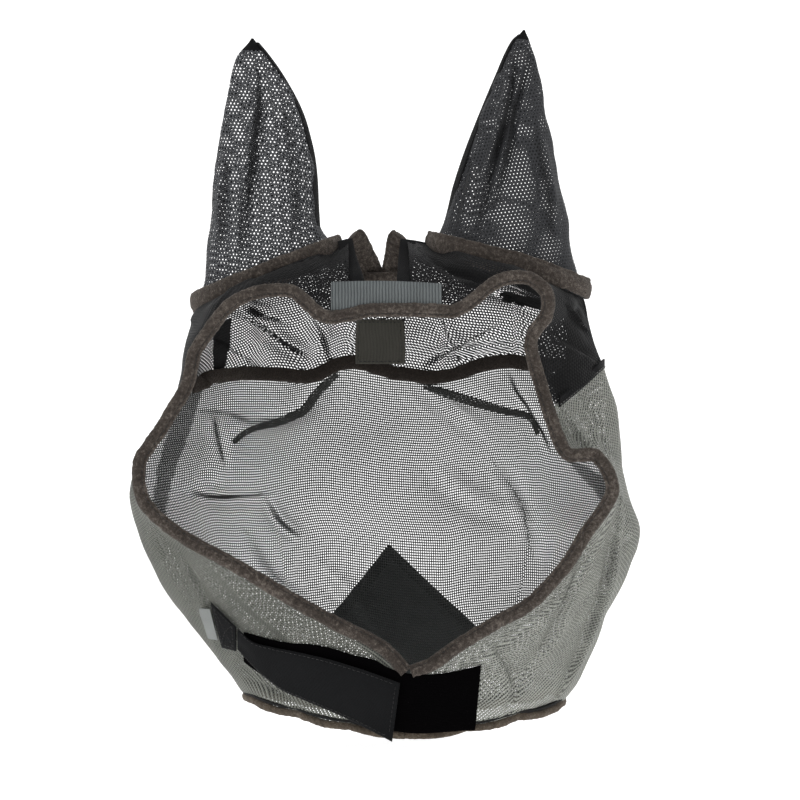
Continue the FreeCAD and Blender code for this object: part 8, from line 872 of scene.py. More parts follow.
def weave_mat(name, dark, light, pu, pv, wu, wv, rough=0.65, spec=0.35, wob=0.35, sheen=0.0, fold=0.0):
    """Open square mesh: coated threads with clear holes between them."""
    N = Nodes(name)
    uvv, u, v = N.uv()
    oc = N.obj()
    w1 = N.noise(oc, 38.0, 2.0)
    w2 = N.noise(oc, 210.0, 1.0)
    du = N.math("MULTIPLY", N.math("SUBTRACT", w1, 0.5), wob * 2.2)
    dv = N.math("MULTIPLY", N.math("SUBTRACT", w2, 0.5), wob * 0.7)
    uu = N.math("ADD", u, N.math("ADD", du, dv))
    vv = N.math("ADD", v, N.math("SUBTRACT", du, dv))
    tu = N.math("PINGPONG", uu, pu / 2)
    tv = N.math("PINGPONG", vv, pv / 2)
    if fold:
        # where the cloth is doubled in a fold its holes close up; along the creases the fold value is painted crease
        # shade
        fd = N.fold()
        k = N.math("ADD", 1.0, N.math("MULTIPLY", fd, fold))
        mu = N.math("LESS_THAN", tu, N.math("MULTIPLY", k, wu / 2))
        mv = N.math("LESS_THAN", tv, N.math("MULTIPLY", k, wv / 2))
    else:
        mu = N.math("LESS_THAN", tu, wu / 2)
        mv = N.math("LESS_THAN", tv, wv / 2)
    mask = N.math("MAXIMUM", mu, mv)
    # threads are round and pass over and under each other
    hu = N.math("SUBTRACT", 1.0, N.math("POWER", N.math("DIVIDE", tu, wu / 2), 2.0), clamp=True)
    hv = N.math("SUBTRACT", 1.0, N.math("POWER", N.math("DIVIDE", tv, wv / 2), 2.0), clamp=True)
    cu = N.math("PINGPONG", uu, pu)
    cv = N.math("PINGPONG", vv, pv)
    over = N.math("LESS_THAN", N.math("ABSOLUTE", N.math("SUBTRACT", N.math("DIVIDE", cu, pu), N.math("DIVIDE", cv, pv))), 0.5)
    hgt = N.math("MAXIMUM", N.math("MULTIPLY", hu, N.math("ADD", 0.55, N.math("MULTIPLY", over, 0.45))), N.math("MULTIPLY", hv, N.math("SUBTRACT", 1.0, N.math("MULTIPLY", over, 0.45))))
    # painted highlight and shade: the thread colour follows the thread height, lighter on the crowns and darker where
    # threads dip under, with random tone mixed in
    tone = N.math("ADD", N.math("MULTIPLY", hgt, 0.55), N.math("MULTIPLY", N.noise(oc, 55.0, 3.0), 0.45))
    # painted shade: the thread colour is darkened where the fold value is up, along the creases and in the close-faced
    # areas
    if fold:
        tone = N.math("MULTIPLY", tone, N.math("SUBTRACT", 1.0, N.math("MULTIPLY", fd, 0.7)))
    col = N.ramp(tone, [(0.12, dark), (0.75, light)])
    b = N.bsdf(rough, sheen=sheen, spec=spec)
    N.link(col, b.inputs["Base Color"])
    N.link(N.bump(hgt, 0.00035, 0.9), b.inputs["Normal"])
    N.link(mask, b.inputs["Alpha"])
    N.link(b.outputs[0], N.out.inputs[0])
    return N.mat


def hex_mat(name, dark, light, pitch, hole, rough=0.7, sheen=0.06, squash=1.0, wob=0.35, turn=0.0):
    """Knitted athletic mesh: round holes in staggered rows."""
    N = Nodes(name)
    uvv, u, v = N.uv()
    oc = N.obj()
    w1 = N.noise(oc, 60.0, 2.0)
    w2 = N.noise(oc, 330.0, 2.0)
    if turn:
        c, sn = math.cos(turn), math.sin(turn)
        u, v = (N.math("SUBTRACT", N.math("MULTIPLY", u, c), N.math("MULTIPLY", v, sn)),
                N.math("ADD", N.math("MULTIPLY", u, sn), N.math("MULTIPLY", v, c)))
    uu = N.math("ADD", u, N.math("MULTIPLY", N.math("SUBTRACT", w1, 0.5), wob * 2.4))
    vv = N.math("ADD", v, N.math("MULTIPLY", N.math("SUBTRACT", w2, 0.5), wob))
    a, bb = pitch, pitch * 1.732 * squash
    d = None
    for k in (0.0, 0.5):
        x = N.math("PINGPONG", N.math("ADD", uu, a * (k + 40.0)), a / 2)
        y = N.math("PINGPONG", N.math("ADD", vv, bb * (k + 40.0)), bb / 2)
        r = N.math("SQRT", N.math("ADD", N.math("MULTIPLY", x, x), N.math("MULTIPLY", N.math("MULTIPLY", y, y), 0.92 / squash)))
        d = r if d is None else N.math("MINIMUM", d, r)
    jit = N.math("MULTIPLY", N.math("SUBTRACT", w2, 0.5), hole * 0.7)
    fd = N.fold()
    open_ = N.math("SUBTRACT", 1.0, fd, clamp=True)
    mask = N.math("GREATER_THAN", d, N.math("MULTIPLY", N.math("ADD", jit, hole), open_))
    hgt = N.math("MULTIPLY", N.math("SUBTRACT", d, hole), 1.0 / hole, clamp=True)
    # painted shade: the knit is coloured darker towards the hole rims and lighter on the raised threads, with random
    # tone mixed in
    tone = N.math("ADD", N.math("MULTIPLY", hgt, 0.5), N.math("MULTIPLY", N.noise(oc, 900.0, 2.0), 0.6))
    # painted shade: the knit is darkened where the fold value is up, along the creases and in the close-faced areas,
    # where the holes also close
    tone = N.math("MULTIPLY", tone, N.math("SUBTRACT", 1.0, N.math("MULTIPLY", fd, 0.75)))
    col = N.ramp(tone, [(0.2, dark), (0.95, light)])
    b = N.bsdf(rough, sheen=sheen, sheen_rough=0.4, spec=0.25)
    N.link(col, b.inputs["Base Color"])
    N.link(N.bump(hgt, 0.0005, 0.8), b.inputs["Normal"])
    N.link(mask, b.inputs["Alpha"])
    N.link(b.outputs[0], N.out.inputs[0])
    return N.mat


def fleece_mat(name, dark, mid, light, grain=620.0):
    N = Nodes(name)
    oc = N.obj()
    big = N.noise(oc, 45.0, 3.0)
    fine = N.noise(oc, grain, 5.0, 0.75)
    fib = N.noise(oc, grain * 3.2, 3.0, 0.7)
    # partly the fleece's own random tone, partly painted highlight and shade: the same noise raises the tufts in the
    # bump, so the raised tufts are coloured lighter
    tone = N.math("ADD", N.math("MULTIPLY", fine, 0.62), N.math("ADD", N.math("MULTIPLY", big, 0.22), N.math("MULTIPLY", fib, 0.22)))
    col = N.ramp(tone, [(0.36, dark), (0.54, mid), (0.74, light)])
    b = N.bsdf(0.95, sheen=0.22, sheen_rough=0.55, spec=0.08, tint=(1.0, 0.93, 0.86))
    N.link(col, b.inputs["Base Color"])
    h = N.math("ADD", N.math("MULTIPLY", fine, 0.7), N.math("MULTIPLY", fib, 0.45))
    N.link(N.bump(h, 0.0020, 0.9), b.inputs["Normal"])
    N.link(b.outputs[0], N.out.inputs[0])
    return N.mat


def woven_mat(name, dark, light, rib=1.0, rib_along="v", rough=0.7, sheen=0.05, cross=0.6, depth=0.0003, fuzz=0.0, wear=0.25, spec=0.25):
    """Close-woven tape: ribs one way, fine yarns the other."""
    N = Nodes(name)
    uvv, u, v = N.uv()
    oc = N.obj()
    a, c = (u, v) if rib_along == "v" else (v, u)
    wob = N.math("MULTIPLY", N.math("SUBTRACT", N.noise(oc, 120.0, 2.0), 0.5), rib * 0.5)
    t = N.math("PINGPONG", N.math("ADD", a, wob), rib / 2)
    ribh = N.math("SUBTRACT", 1.0, N.math("POWER", N.math("DIVIDE", t, rib / 2), 2.0))
    t2 = N.math("PINGPONG", N.math("ADD", c, N.math("MULTIPLY", t, 0.8)), cross / 2)
    crs = N.math("SUBTRACT", 1.0, N.math("POWER", N.math("DIVIDE", t2, cross / 2), 2.0))
    h = N.math("ADD", N.math("MULTIPLY", ribh, 0.7), N.math("MULTIPLY", crs, 0.3))
    big = N.noise(oc, 26.0, 4.0)
    fine = N.noise(oc, 1400.0, 3.0, 0.7)
    # painted highlight and shade: the rib crowns are coloured lighter and the hollows between ribs darker, with random
    # tone and wear patches mixed in
    tone = N.math("ADD", N.math("MULTIPLY", h, 0.5), N.math("ADD", N.math("MULTIPLY", big, wear), N.math("MULTIPLY", fine, 0.25 + fuzz)))
    col = N.ramp(tone, [(0.25, dark), (0.85, light)])
    b = N.bsdf(rough, sheen=sheen, sheen_rough=0.45, spec=spec)
    N.link(col, b.inputs["Base Color"])
    n1 = N.bump(h, depth, 0.9)
    n2 = N.bump(fine, 0.0003 + fuzz * 0.001, 0.5, n1)
    N.link(n2, b.inputs["Normal"])
    N.link(b.outputs[0], N.out.inputs[0])
    return N.mat


def thread_mat(name, c):
    N = Nodes(name)
    oc = N.obj()
    n = N.noise(oc, 2500.0, 3.0)
    col = N.ramp(n, [(0.3, tuple(x * 0.6 for x in c)), (0.7, c)])
    b = N.bsdf(0.55, sheen=0.2, spec=0.35)
    N.link(col, b.inputs["Base Color"])
    N.link(N.bump(n, 0.0002, 0.5), b.inputs["Normal"])
    N.link(b.outputs[0], N.out.inputs[0])
    return N.mat


M_FACE_IN = weave_mat("face_mesh_inside", lin((20, 21, 21)), lin((72, 74, 73)), 2.0, 2.4, 0.9, 1.06, rough=0.6, wob=0.2, fold=1.8)
M_OUT = weave_mat("mesh_outside_silver", lin((84, 86, 83)), lin((172, 175, 169)), 2.0, 2.4, 0.9, 1.06, rough=0.55, spec=0.5, wob=0.2, fold=1.8)
# painted shade: a darker copy of the silver cheek mesh for the left cheek, which sits in more shade
M_CHEEK_SHADED = weave_mat("cheek_mesh_silver_painted_shade", lin((40, 42, 39)), lin((128, 130, 121)), 2.9, 2.4, 1.8, 1.0, rough=0.55, spec=0.45, fold=1.1)
M_CHEEK = weave_mat("cheek_mesh_silver", lin((52, 54, 50)), lin((166, 168, 159)), 2.9, 2.4, 1.8, 1.0, rough=0.55, spec=0.5, fold=1.1)
M_CHEEK_IN = weave_mat("cheek_mesh_inside", lin((26, 27, 26)), lin((66, 68, 66)), 2.9, 2.4, 1.8, 1.0, rough=0.6, fold=1.1)
M_CROWN = weave_mat("crown_front_mesh", lin((12, 12, 13)), lin((42, 42, 44)), 2.45, 2.6, 1.18, 1.24, rough=0.65, fold=1.5)
# painted highlight: the grey light end of the black knit's ramp stands for the sheen on its threads
M_HEX = hex_mat("black_knit_mesh", lin((9, 9, 10)), lin((92, 94, 98)), 3.35, 0.80, wob=0.2, turn=0.14)
# partly real, partly painted shade: the right ear's knit has smaller holes where it is bunched in folds, and a darker
# copy of the knit colour for its shade
M_HEX_SHADED = hex_mat("black_knit_mesh_folded_painted_shade", lin((8, 8, 9)), lin((64, 65, 68)), 3.35, 0.52, wob=0.2, turn=-0.12)
# painted highlight: the grey light end of the ramp stands for the sheen on the threads
M_HEXB = hex_mat("black_knit_mesh_back", lin((9, 9, 10)), lin((90, 91, 94)), 3.3, 1.2, wob=0.3, turn=-0.16)
M_HEX1 = hex_mat("black_knit_mesh_crown", lin((5, 5, 6)), lin((34, 34, 36)), 3.1, 0.84, wob=0.22)
M_HEX2 = hex_mat("black_knit_mesh_dense", lin((3, 3, 4)), lin((20, 20, 22)), 3.1, 0.58)
M_FLEECE = fleece_mat("fleece_taupe", lin((30, 26, 24)), lin((70, 63, 58)), lin((138, 129, 120)), grain=340.0)
M_FLEECE_D = fleece_mat("fleece_inside_dark", lin((20, 16, 14)), lin((40, 34, 30)), lin((70, 62, 55)))
# partly the hem fleece's own colour, partly painted warm reflection: warmer and lighter than the rim fleece
M_HEM = fleece_mat("fleece_hem_beige_and_reflection", lin((50, 43, 36)), lin((88, 78, 67)), lin((140, 129, 115)), grain=340.0)
M_BLACK = woven_mat("black_tape", lin((4, 4, 5)), lin((20, 20, 22)), spec=0.12, rib=0.9, cross=0.7, rough=0.75)
M_PIPING = woven_mat("black_piping", lin((6, 6, 6)), lin((24, 23, 23)), rib=0.8, cross=0.8, rough=0.7)
M_HOOK = woven_mat("hook_strap_weave", lin((4, 4, 5)), lin((24, 25, 27)), spec=0.12, rib=1.1, rib_along="v", cross=1.3, rough=0.6, sheen=0.02, depth=0.0005)
M_LOOP = woven_mat("loop_pile", lin((0, 0, 0)), lin((5, 4, 5)), spec=0.03, rib=1.4, cross=1.4, rough=1.0, sheen=0.0, depth=0.0004, fuzz=0.5)
M_TAB = woven_mat("ribbed_webbing", lin((48, 53, 54)), lin((138, 144, 145)), rib=2.6, rib_along="u", cross=0.8, rough=0.5, sheen=0.05, depth=0.0012)
M_PATCH = woven_mat("forelock_webbing", lin((40, 40, 35)), lin((96, 94, 87)), rib=1.3, rib_along="u", cross=0.9, rough=0.7, depth=0.0004)
# painted shade: the turned edge under the patch is a darker copy of the patch cloth
M_DIAMOND_EDGE_SHADED = woven_mat("nose_patch_turned_edge", lin((14, 15, 15)), lin((58, 60, 60)), rib=1.0, cross=1.0, rough=0.75, depth=0.0003)
M_DIAMOND = woven_mat("nose_patch_cloth", lin((34, 36, 36)), lin((108, 112, 111)), rib=1.0, cross=1.0, rough=0.75, depth=0.0003)
M_LABEL = woven_mat("blank_label", lin((86, 90, 89)), lin((158, 161, 159)), rib=0.5, cross=0.5, rough=0.6, depth=0.0001, wear=0.35)
M_DART = weave_mat("dart_seam_mesh", lin((24, 24, 24)), lin((64, 65, 63)), 1.7, 1.9, 1.3, 1.45, rough=0.7)
M_THREAD_L = thread_mat("thread_grey", lin((120, 120, 117)))
M_THREAD_D = thread_mat("thread_dark", lin((20, 19, 19)))
M_THREAD_F = thread_mat("thread_taupe", lin((30, 26, 23)))

# ------------------------------------------------------------------- panels
pieces = []


def keep(ob, body, slot, *nodes):
    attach(ob, body)
    if nodes:
        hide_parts(*nodes)
    pieces.append(ob)
    return ob


def ripple(g, n, items):
    off = np.zeros(g.shape[:2])
    for scale, amp, seed in items:
        off += amp * noise3(g[::2, ::2], scale, seed).repeat(2, 0).repeat(2, 1)[:g.shape[0], :g.shape[1]]
    # smooth the coarse steps
    k = np.array([0.25, 0.5, 0.25])
    for ax in (0, 1):
        off = np.apply_along_axis(lambda m: np.convolve(np.pad(m, 1, mode="edge"), k, "valid"), ax, off)
    return g + n * off[..., None]


# face panel
g = dense(FACE, 170, 230)
n = grid_normals(g)
edge = np.minimum(np.linspace(0, 1, 170), 1 - np.linspace(0, 1, 170))[:, None] * np.minimum(np.linspace(0, 1, 230), 1 - np.linspace(0, 1, 230))[None, :]
hold = np.clip(edge * 60, 0, 1)
# a fainter, narrower painted crease shade on the face
creases.ink, creases.line = 0.62, 1.8
g2 = creases(g, n, FACE_CREASES)
g2 = ripple(g2, n, [(75.0, 3.0, 1), (30.0, 0.9, 2)])
g2 = g + (g2 - g) * hold[..., None]
FACE_D = g2
# the fold values carry the painted crease shade and a darker close-faced band at the seam
face = panel("face_mesh_panel", g2, [M_OUT, M_FACE_IN], 0.5, fold=np.maximum(creases.dark, 0.24 * closed_areas(g2, CROWN_CLOSED["seam"])))
creases.ink, creases.line = 0.85, 2.3
keep(face, "mask", "grey_mesh", "face_mesh")


# cheeks
for side, T in (("left", CHEEK_LEFT), ("right", CHEEK_RIGHT)):
    g = dense(T, 200, 120)
    n = grid_normals(g)
    items = CHEEK_L_CREASES if side == "left" else CHEEK_R_CREASES
    g2 = creases(g, n, items)
    g2 = ripple(g2, n, [(48.0, 2.6, 4 if side == "left" else 9), (20.0, 0.8, 5)])
    e0 = np.clip(np.minimum(np.linspace(0, 1, 120), 1 - np.linspace(0, 1, 120)) * 9, 0, 1)[None, :]
    e1 = np.clip(np.minimum(np.linspace(0, 1, 200), 1 - np.linspace(0, 1, 200)) * 14, 0, 1)[:, None]
    g2 = g + (g2 - g) * (e0 * e1)[..., None]
    u, v = arc_uv(g2)
    # the cheek cloth is cut at an angle to the face cloth
    ang = math.radians(-18 if side == "left" else 34)
    uv = np.stack([u * math.cos(ang) - v * math.sin(ang), u * math.sin(ang) + v * math.cos(ang)], 2)
    # the left cheek takes the painted-shade copy of the cheek mesh
    ob = panel("cheek_mesh_panel_" + side, g2, [M_CHEEK_SHADED if side == "left" else M_CHEEK, M_CHEEK_IN], 0.5, uv=uv, fold=creases.dark * 0.6)
    keep(ob, "mask", "grey_mesh", "cheek_mesh_" + side)

# crown
for side, T in (("left", CROWN_LEFT), ("right", CROWN_RIGHT)):
    g = dense(T, 150, 60)
    n = grid_normals(g)
    g2 = creases(g, n, CROWN_L_CREASES if side == "left" else CROWN_R_CREASES)
    g2 = ripple(g2, n, [(30.0, 1.8, 14), (12.0, 0.5, 15)])
    e0 = np.clip(np.minimum(np.linspace(0, 1, 60), 1 - np.linspace(0, 1, 60)) * 6, 0, 1)[None, :]
    g2 = g + (g2 - g) * e0[..., None]
    # closed cloth and painted crease shade, both closing the holes and darkening the knit
    shut_and_shade = np.maximum(creases.dark, closed_areas(g2, CROWN_CLOSED[side]))
    ob = panel("crown_mesh_panel_" + side, g2, [M_HEX1], 0.5, fold=shut_and_shade)
    ob.data.materials.append(M_HEX2)
    split = CROWN_DENSE[side]
    cen = np.array([p.center[:] for p in ob.data.polygons]) * 1000
    ref = g2[int(150 * split), 30]
    for p, c in zip(ob.data.polygons, cen):
        if (c[0] - ref[0]) * (-1 if side == "left" else 1) > 0:
            p.material_index = 1
    keep(ob, "mask", "black_mesh", "crown_mesh_" + side)
g = dense(CROWN_FRONT, 260, 64)
n = grid_normals(g)
g2 = creases(g, n, CROWN_F_CREASES)
g2 = ripple(g2, n, [(34.0, 2.2, 24), (14.0, 0.7, 25)])
e0 = np.clip(np.minimum(np.linspace(0, 1, 64), 1 - np.linspace(0, 1, 64)) * 6, 0, 1)[None, :]
g2 = g + (g2 - g) * e0[..., None]
# closed cloth and painted crease shade, both closing the holes and darkening the mesh
shut_and_shade = np.maximum(creases.dark, closed_areas(g2, CROWN_CLOSED["front"]))
# the close facing round each ear hole
for T in (EAR_LEFT, EAR_RIGHT):
    ring = dense(T, 9, 60)[0]
    dd = np.min(np.linalg.norm(g2[:, :, None, :] - ring[None, None], axis=3), axis=2)
    shut_and_shade = np.maximum(shut_and_shade, np.clip((27.0 - dd) / 2.0, 0, 1))
ob = panel("crown_mesh_panel_front", g2, [M_CROWN], 0.5, fold=shut_and_shade)
keep(ob, "mask", "black_mesh", "crown_mesh_front")

# --------------------------------------------------------------------- ears
# the ears get a stronger, wider painted crease shade
creases.ink, creases.line = 1.0, 3.0
for side, T, SEAM, folds in (("left", EAR_LEFT, 1, EAR_L_FOLDS), ("right", EAR_RIGHT, -1, EAR_R_FOLDS)):
    g = dense(T, 150, 96)
    n = grid_normals(g, ref=g.mean(axis=(0, 1)))
    g2 = creases(g, n, folds)
    g2 = ripple(g2, n, [(26.0, 1.6, 31 if side == "left" else 35), (11.0, 0.6, 33)])
    e = np.clip(np.linspace(0, 1, 150) * 12, 0, 1)[:, None] * np.clip(np.minimum(np.linspace(0, 1, 96), 1 - np.linspace(0, 1, 96)) * 14, 0.0, 1)[None, :]
    g2 = g + (g2 - g) * e[..., None]
    # the stitched point at the tip
    k = np.clip((np.linspace(0, 1, 150) - 0.93) / 0.07, 0, 1)[:, None, None]
    mid = g2.mean(axis=1, keepdims=True)
    g2 = mid + (g2 - mid) * (1 - 0.8 * k ** 1.6) + np.array([0, 0, 4.2]) * k
    faces = grid_faces(150, 96)
    cen = g2.mean(axis=1, keepdims=True)
    nn = np.cross(np.gradient(g2, axis=0), np.gradient(g2, axis=1))
    if np.sum(nn * (g2 - cen)) > 0:
        faces = [f[::-1] for f in faces]
    u, v = arc_uv(g2)
    # the cover is cut from flat cloth, so the knit runs straight up it
    ua = arc_uv(g2, 0.0)[0]
    js = int(np.argmax(g2[75, :, 0]))
    du = np.abs(ua - ua[:, [js]])
    du = np.minimum(du, ua[:, -1:] - du)
    uv = np.stack([g2[:, [js], 0] - du, g2[..., 2]], 2)
    nf = len(faces)
    back = g2[:-1, :-1, 1] > cen[:-1, :, 1]
    tip = [1 if (i // 95) > 138 else (2 if back[i // 95, i % 95] else 0) for i in range(nf)]
    # painted crease shade, kept on the front half of each ear only
    shut_and_shade = creases.dark.copy()
    shut_and_shade[g2[:, :, 1] > cen[:, :, 1]] = 0
    # the right ear takes the darker painted-shade copy of the knit
    ob = add_mesh("ear_mesh_" + side, g2, faces, uv, [M_HEX if side == "left" else M_HEX_SHADED, M_BLACK, M_HEXB], tip, fold=shut_and_shade)
    mod = ob.modifiers.new("thickness", "SOLIDIFY")
    mod.thickness = 0.0005
    mod.offset = 0.0
    apply_mods(ob)
    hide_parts("%s_ear_cover" % side, "%s_ear_cuff" % side)
    lo, hi = EAR_BLEND[side]
    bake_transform(ob)
    pieces.append(ob)
    # the taped seam on the edge of the cover
    s = dense(SEAM_LEFT if side == "left" else SEAM_RIGHT, 120, 13)
    mid = s.mean(axis=1, keepdims=True)
    s = mid + (s - mid) * np.interp(np.linspace(0, 1, 120), [0, 0.3, 1], [1.7, 1.5, 1.0])[:, None, None]
    s = s + np.array([-2.2 if side == "left" else 2.2, 0, 0]) * np.interp(np.linspace(0, 1, 120), [0, 0.7, 1], [1, 0.8, 0])[:, None, None]
    s = s + np.array([0, 0, -8.0]) * np.clip(1 - np.linspace(0, 1, 120) / 0.15, 0, 1)[:, None, None]
    ob = ribbon_solid("ear_seam_tape_cloth_" + side, s, 1.3, [M_BLACK])
    keep(ob, "%s_ear" % side, "black_tape", "%s_ear_seam_tape" % side)

# ------------------------------------------------------------ fleece edges
VIEW = (0.0, -1.0, 0.0)


def seam_stitch(name, path, up, width, height, seam, seam_side, mat, n=700, out=0.30):
    """The thread line lying in a binding's groove."""
    p = even(path, n)
    upv = np.broadcast_to(arr(up), p.shape) if np.ndim(up) == 1 else cr_axis(arr(up), n)
    t, sd, nn = frames_along(p, upv)
    q = p - sd * (seam * width / 2 * seam_side) + nn * (height * out)
    ob = stitches(name, q, upv[n // 2], 3.2, 1.2, 0.36, [mat], 0.2)
    return ob


rim = fleece_tube("rim_fleece_roll", RIM_PATH, VIEW, 11.6, 7.0, [M_FLEECE], n=1000, around=28, seam=0.5, seed=1, seam_side=-1, rough=0.5)
keep(rim, "mask", "fleece", "rim_fleece_binding")
ob = seam_stitch("rim_fleece_stitch", RIM_PATH, VIEW, 11.6, 7.0, 0.5, -1, M_THREAD_F)
keep(ob, "mask", "fleece")

brow = fleece_tube("brow_fleece_roll", BROW_PATH, (0.0, -1.0, -0.1), 12.4, 5.0, [M_FLEECE_D], n=420, around=20, seam=0.6, seed=4)
keep(brow, "mask", "fleece", "brow_fleece_band")

hem_path = even(HEM_PATH, 420)
hem_path[:4] += np.array([[2.6, 0, 0]]) * np.linspace(1, 0.2, 4)[:, None]
hem_path[-4:] -= np.array([[1.6, 0, 0]]) * np.linspace(0.2, 1, 4)[:, None]
L = np.r_[0, np.cumsum(np.linalg.norm(np.diff(hem_path, axis=0), axis=1))]
scal = np.abs(np.sin(L / 26.0 * math.pi / 2 + 0.4))
hem_path = hem_path + np.stack([np.zeros(420), np.zeros(420), -0.4 - 2.4 * scal], 1)
outw = hem_path - np.array([5.0, 85.0, 0.0])
outw[:, 2] = 0
hem = fleece_tube("nose_hem_roll", hem_path, outw, 6.6, 5.0, [M_HEM], n=420, around=20, seam=0.2, seed=6, rough=0.45)
keep(hem, "mask", "fleece", "nose_hem_fleece")
pp = hem_path + np.stack([np.zeros(420), np.zeros(420), 5.2 + 0.5 * np.sin(L / 9.0)], 1)
o = outw / np.linalg.norm(outw, axis=1, keepdims=True)
pipe = fleece_tube("nose_hem_cord", pp + o * 1.2, outw, 3.2, 3.0, [M_PIPING], n=420, around=10, seam=9.0, seed=7, rough=0.12)
keep(pipe, "mask", "black_tape", "nose_hem_piping")

for side, T in (("left", EAR_LEFT), ("right", EAR_RIGHT)):
    ring = dense(T, 9, 80)[0]
    cen = ring.mean(0)
    cl = np.concatenate([ring, ring[:1]])
    outv = cl - cen
    outv[:, 2] *= 0.2
    o = outv / np.linalg.norm(outv, axis=1, keepdims=True)
    path = cl + o * 4.4 + np.array([0, 0, 0.4 if side == "left" else 3.0])
    if side == "right":
        path[:, 2] += 5.0 * np.clip((path[:, 0] - 45.0) / 70.0, 0, 1)
    else:
        path[:, 2] += 2.5 * np.clip((-path[:, 0] - 110.0) / 50.0, 0, 1)
    # a wide soft band with its stitched fold along the lower edge
    band = fleece_tube("ear_fleece_roll_" + side, path, even(outv, 400), 17.6, 6.2, [M_FLEECE], n=400, around=30, seam=0.66, rough=0.5, seed=11 if side == "left" else 13, seam_side=EAR_SEAM[side])
    keep(band, "mask", "fleece", "%s_ear_fleece_band" % side)

for side, P in (("left", LOBE_PATH_L), ("right", LOBE_PATH_R)):
    ob = fleece_tube("forelock_fleece_roll_" + side, P, VIEW, 18.0, 8.2, [M_FLEECE], n=150, around=30, seam=0.72, seed=17, seam_side=1 if side == "left" else -1, rough=0.5, taper=((0, 0.05, 0.12, 0.8, 1), (0.86, 1.0, 1.04, 1.0, 0.85)))
    keep(ob, "mask", "fleece", "forelock_fleece_" + side)
ob = fleece_tube("forelock_fleece_roll_cross", CROSS_PATH, VIEW, 8.4, 5.4, [M_FLEECE], n=90, around=20, seam=9, seed=19)
keep(ob, "mask", "fleece", "forelock_fleece_cross")

# -------------------------------------------------------------- flat tapes
def tape_piece(name, T, nu, nv, thick, mats, body, slot, node, wave=0.5, seed=3, shift=0.0, widen=1.0):
    g = dense(T, nu, nv)
    mid = g.mean(axis=1, keepdims=True)
    g = mid + (g - mid) * widen
    n = grid_normals(g)
    g = ripple(g, n, [(22.0, wave, seed), (9.0, wave * 0.4, seed + 1)])
    g = g + n * shift
    ob = ribbon_solid(name, g, thick, mats)
    keep(ob, body, slot, node)
    return ob, g


tape_piece("crown_side_tape_cloth_left", SIDE_TAPE_LEFT, 60, 13, 1.4, [M_BLACK], "mask", "black_tape", "crown_side_tape_left", 0.5, 3, 0.0, 1.7)
tape_piece("crown_side_tape_cloth_right", SIDE_TAPE_RIGHT, 60, 13, 1.4, [M_BLACK], "mask", "black_tape", "crown_side_tape_right", 0.5, 5, 0.0, 1.7)
tape_piece("crown_facing_cloth_left", FACING_LEFT, 120, 21, 1.2, [M_BLACK], "mask", "black_tape", "crown_facing_left", 0.6, 7, 0.4)
tape_piece("crown_facing_cloth_right", FACING_RIGHT, 120, 21, 1.2, [M_BLACK], "mask", "black_tape", "crown_facing_right", 0.6, 8, 0.4)
tape_piece("crown_hem_cloth_left", CROWN_HEM_LEFT, 90, 13, 1.3, [M_BLACK], "mask", "black_tape", "crown_hem_tape_left", 0.4, 9, 1.4)
ob, g = tape_piece("crown_hem_cloth_right", CROWN_HEM_RIGHT, 110, 13, 1.3, [M_BLACK], "mask", "black_tape", "crown_hem_tape_right", 0.4, 10, 1.4)
nn = grid_normals(g)
row = g[:, 9] + nn[:, 9] * 0.9
st = stitches("crown_hem_stitch_right", row, (0.4, -0.9, 0.2), 2.6, 1.5, 0.34, [M_THREAD_L])
keep(st, "mask", "black_tape")
tape_piece("eye_dart_cloth_left", DART_LEFT, 90, 9, 1.0, [M_DART], "mask", "black_tape", "eye_dart_tape_left", 0.5, 11, -DART_IN)
tape_piece("eye_dart_cloth_right", DART_RIGHT, 90, 9, 1.0, [M_DART], "mask", "black_tape", "eye_dart_tape_right", 0.5, 12, -DART_IN)

g = dense(NOSE_PATCH, 70, 70)
n = grid_normals(g)
g = ripple(g, n, [(40.0, 0.5, 21)]) + n * 4.6
ob = ribbon_solid("nose_patch_cloth_piece", g, 1.2, [M_DIAMOND])
keep(ob, "mask", "patch_cloth", "nose_patch")
# the turned edges take the darker painted-shade copy of the patch cloth
for k, part in enumerate((g[:8, :], g[:, :8])):
    pn = (n[:8, :], n[:, :8])[k]
    ob = ribbon_solid("nose_patch_turned_edge_%d" % k, part - pn * (0.9 + 0.1 * k), 0.6, [M_DIAMOND_EDGE_SHADED])
    keep(ob, "mask", "patch_cloth")
st = []
for a, b in (((0, 0), (0, 1)), ((0, 0), (1, 0))):
    k = np.linspace(0.03, 0.97, 60)
    i = (0.035 * np.ones(60) if a[0] == b[0] else k) * 69
    j = (0.035 * np.ones(60) if a[1] == b[1] else k) * 69
    path = g[i.astype(int), j.astype(int)] - n[i.astype(int), j.astype(int)] * 1.7
    st.append(path)
ob = stitches("nose_patch_stitch", st[0], VIEW, 2.4, 1.4, 0.28, [M_THREAD_D])
keep(ob, "mask", "patch_cloth")
ob = stitches("nose_patch_stitch_b", st[1], VIEW, 2.4, 1.4, 0.28, [M_THREAD_D])
keep(ob, "mask", "patch_cloth")

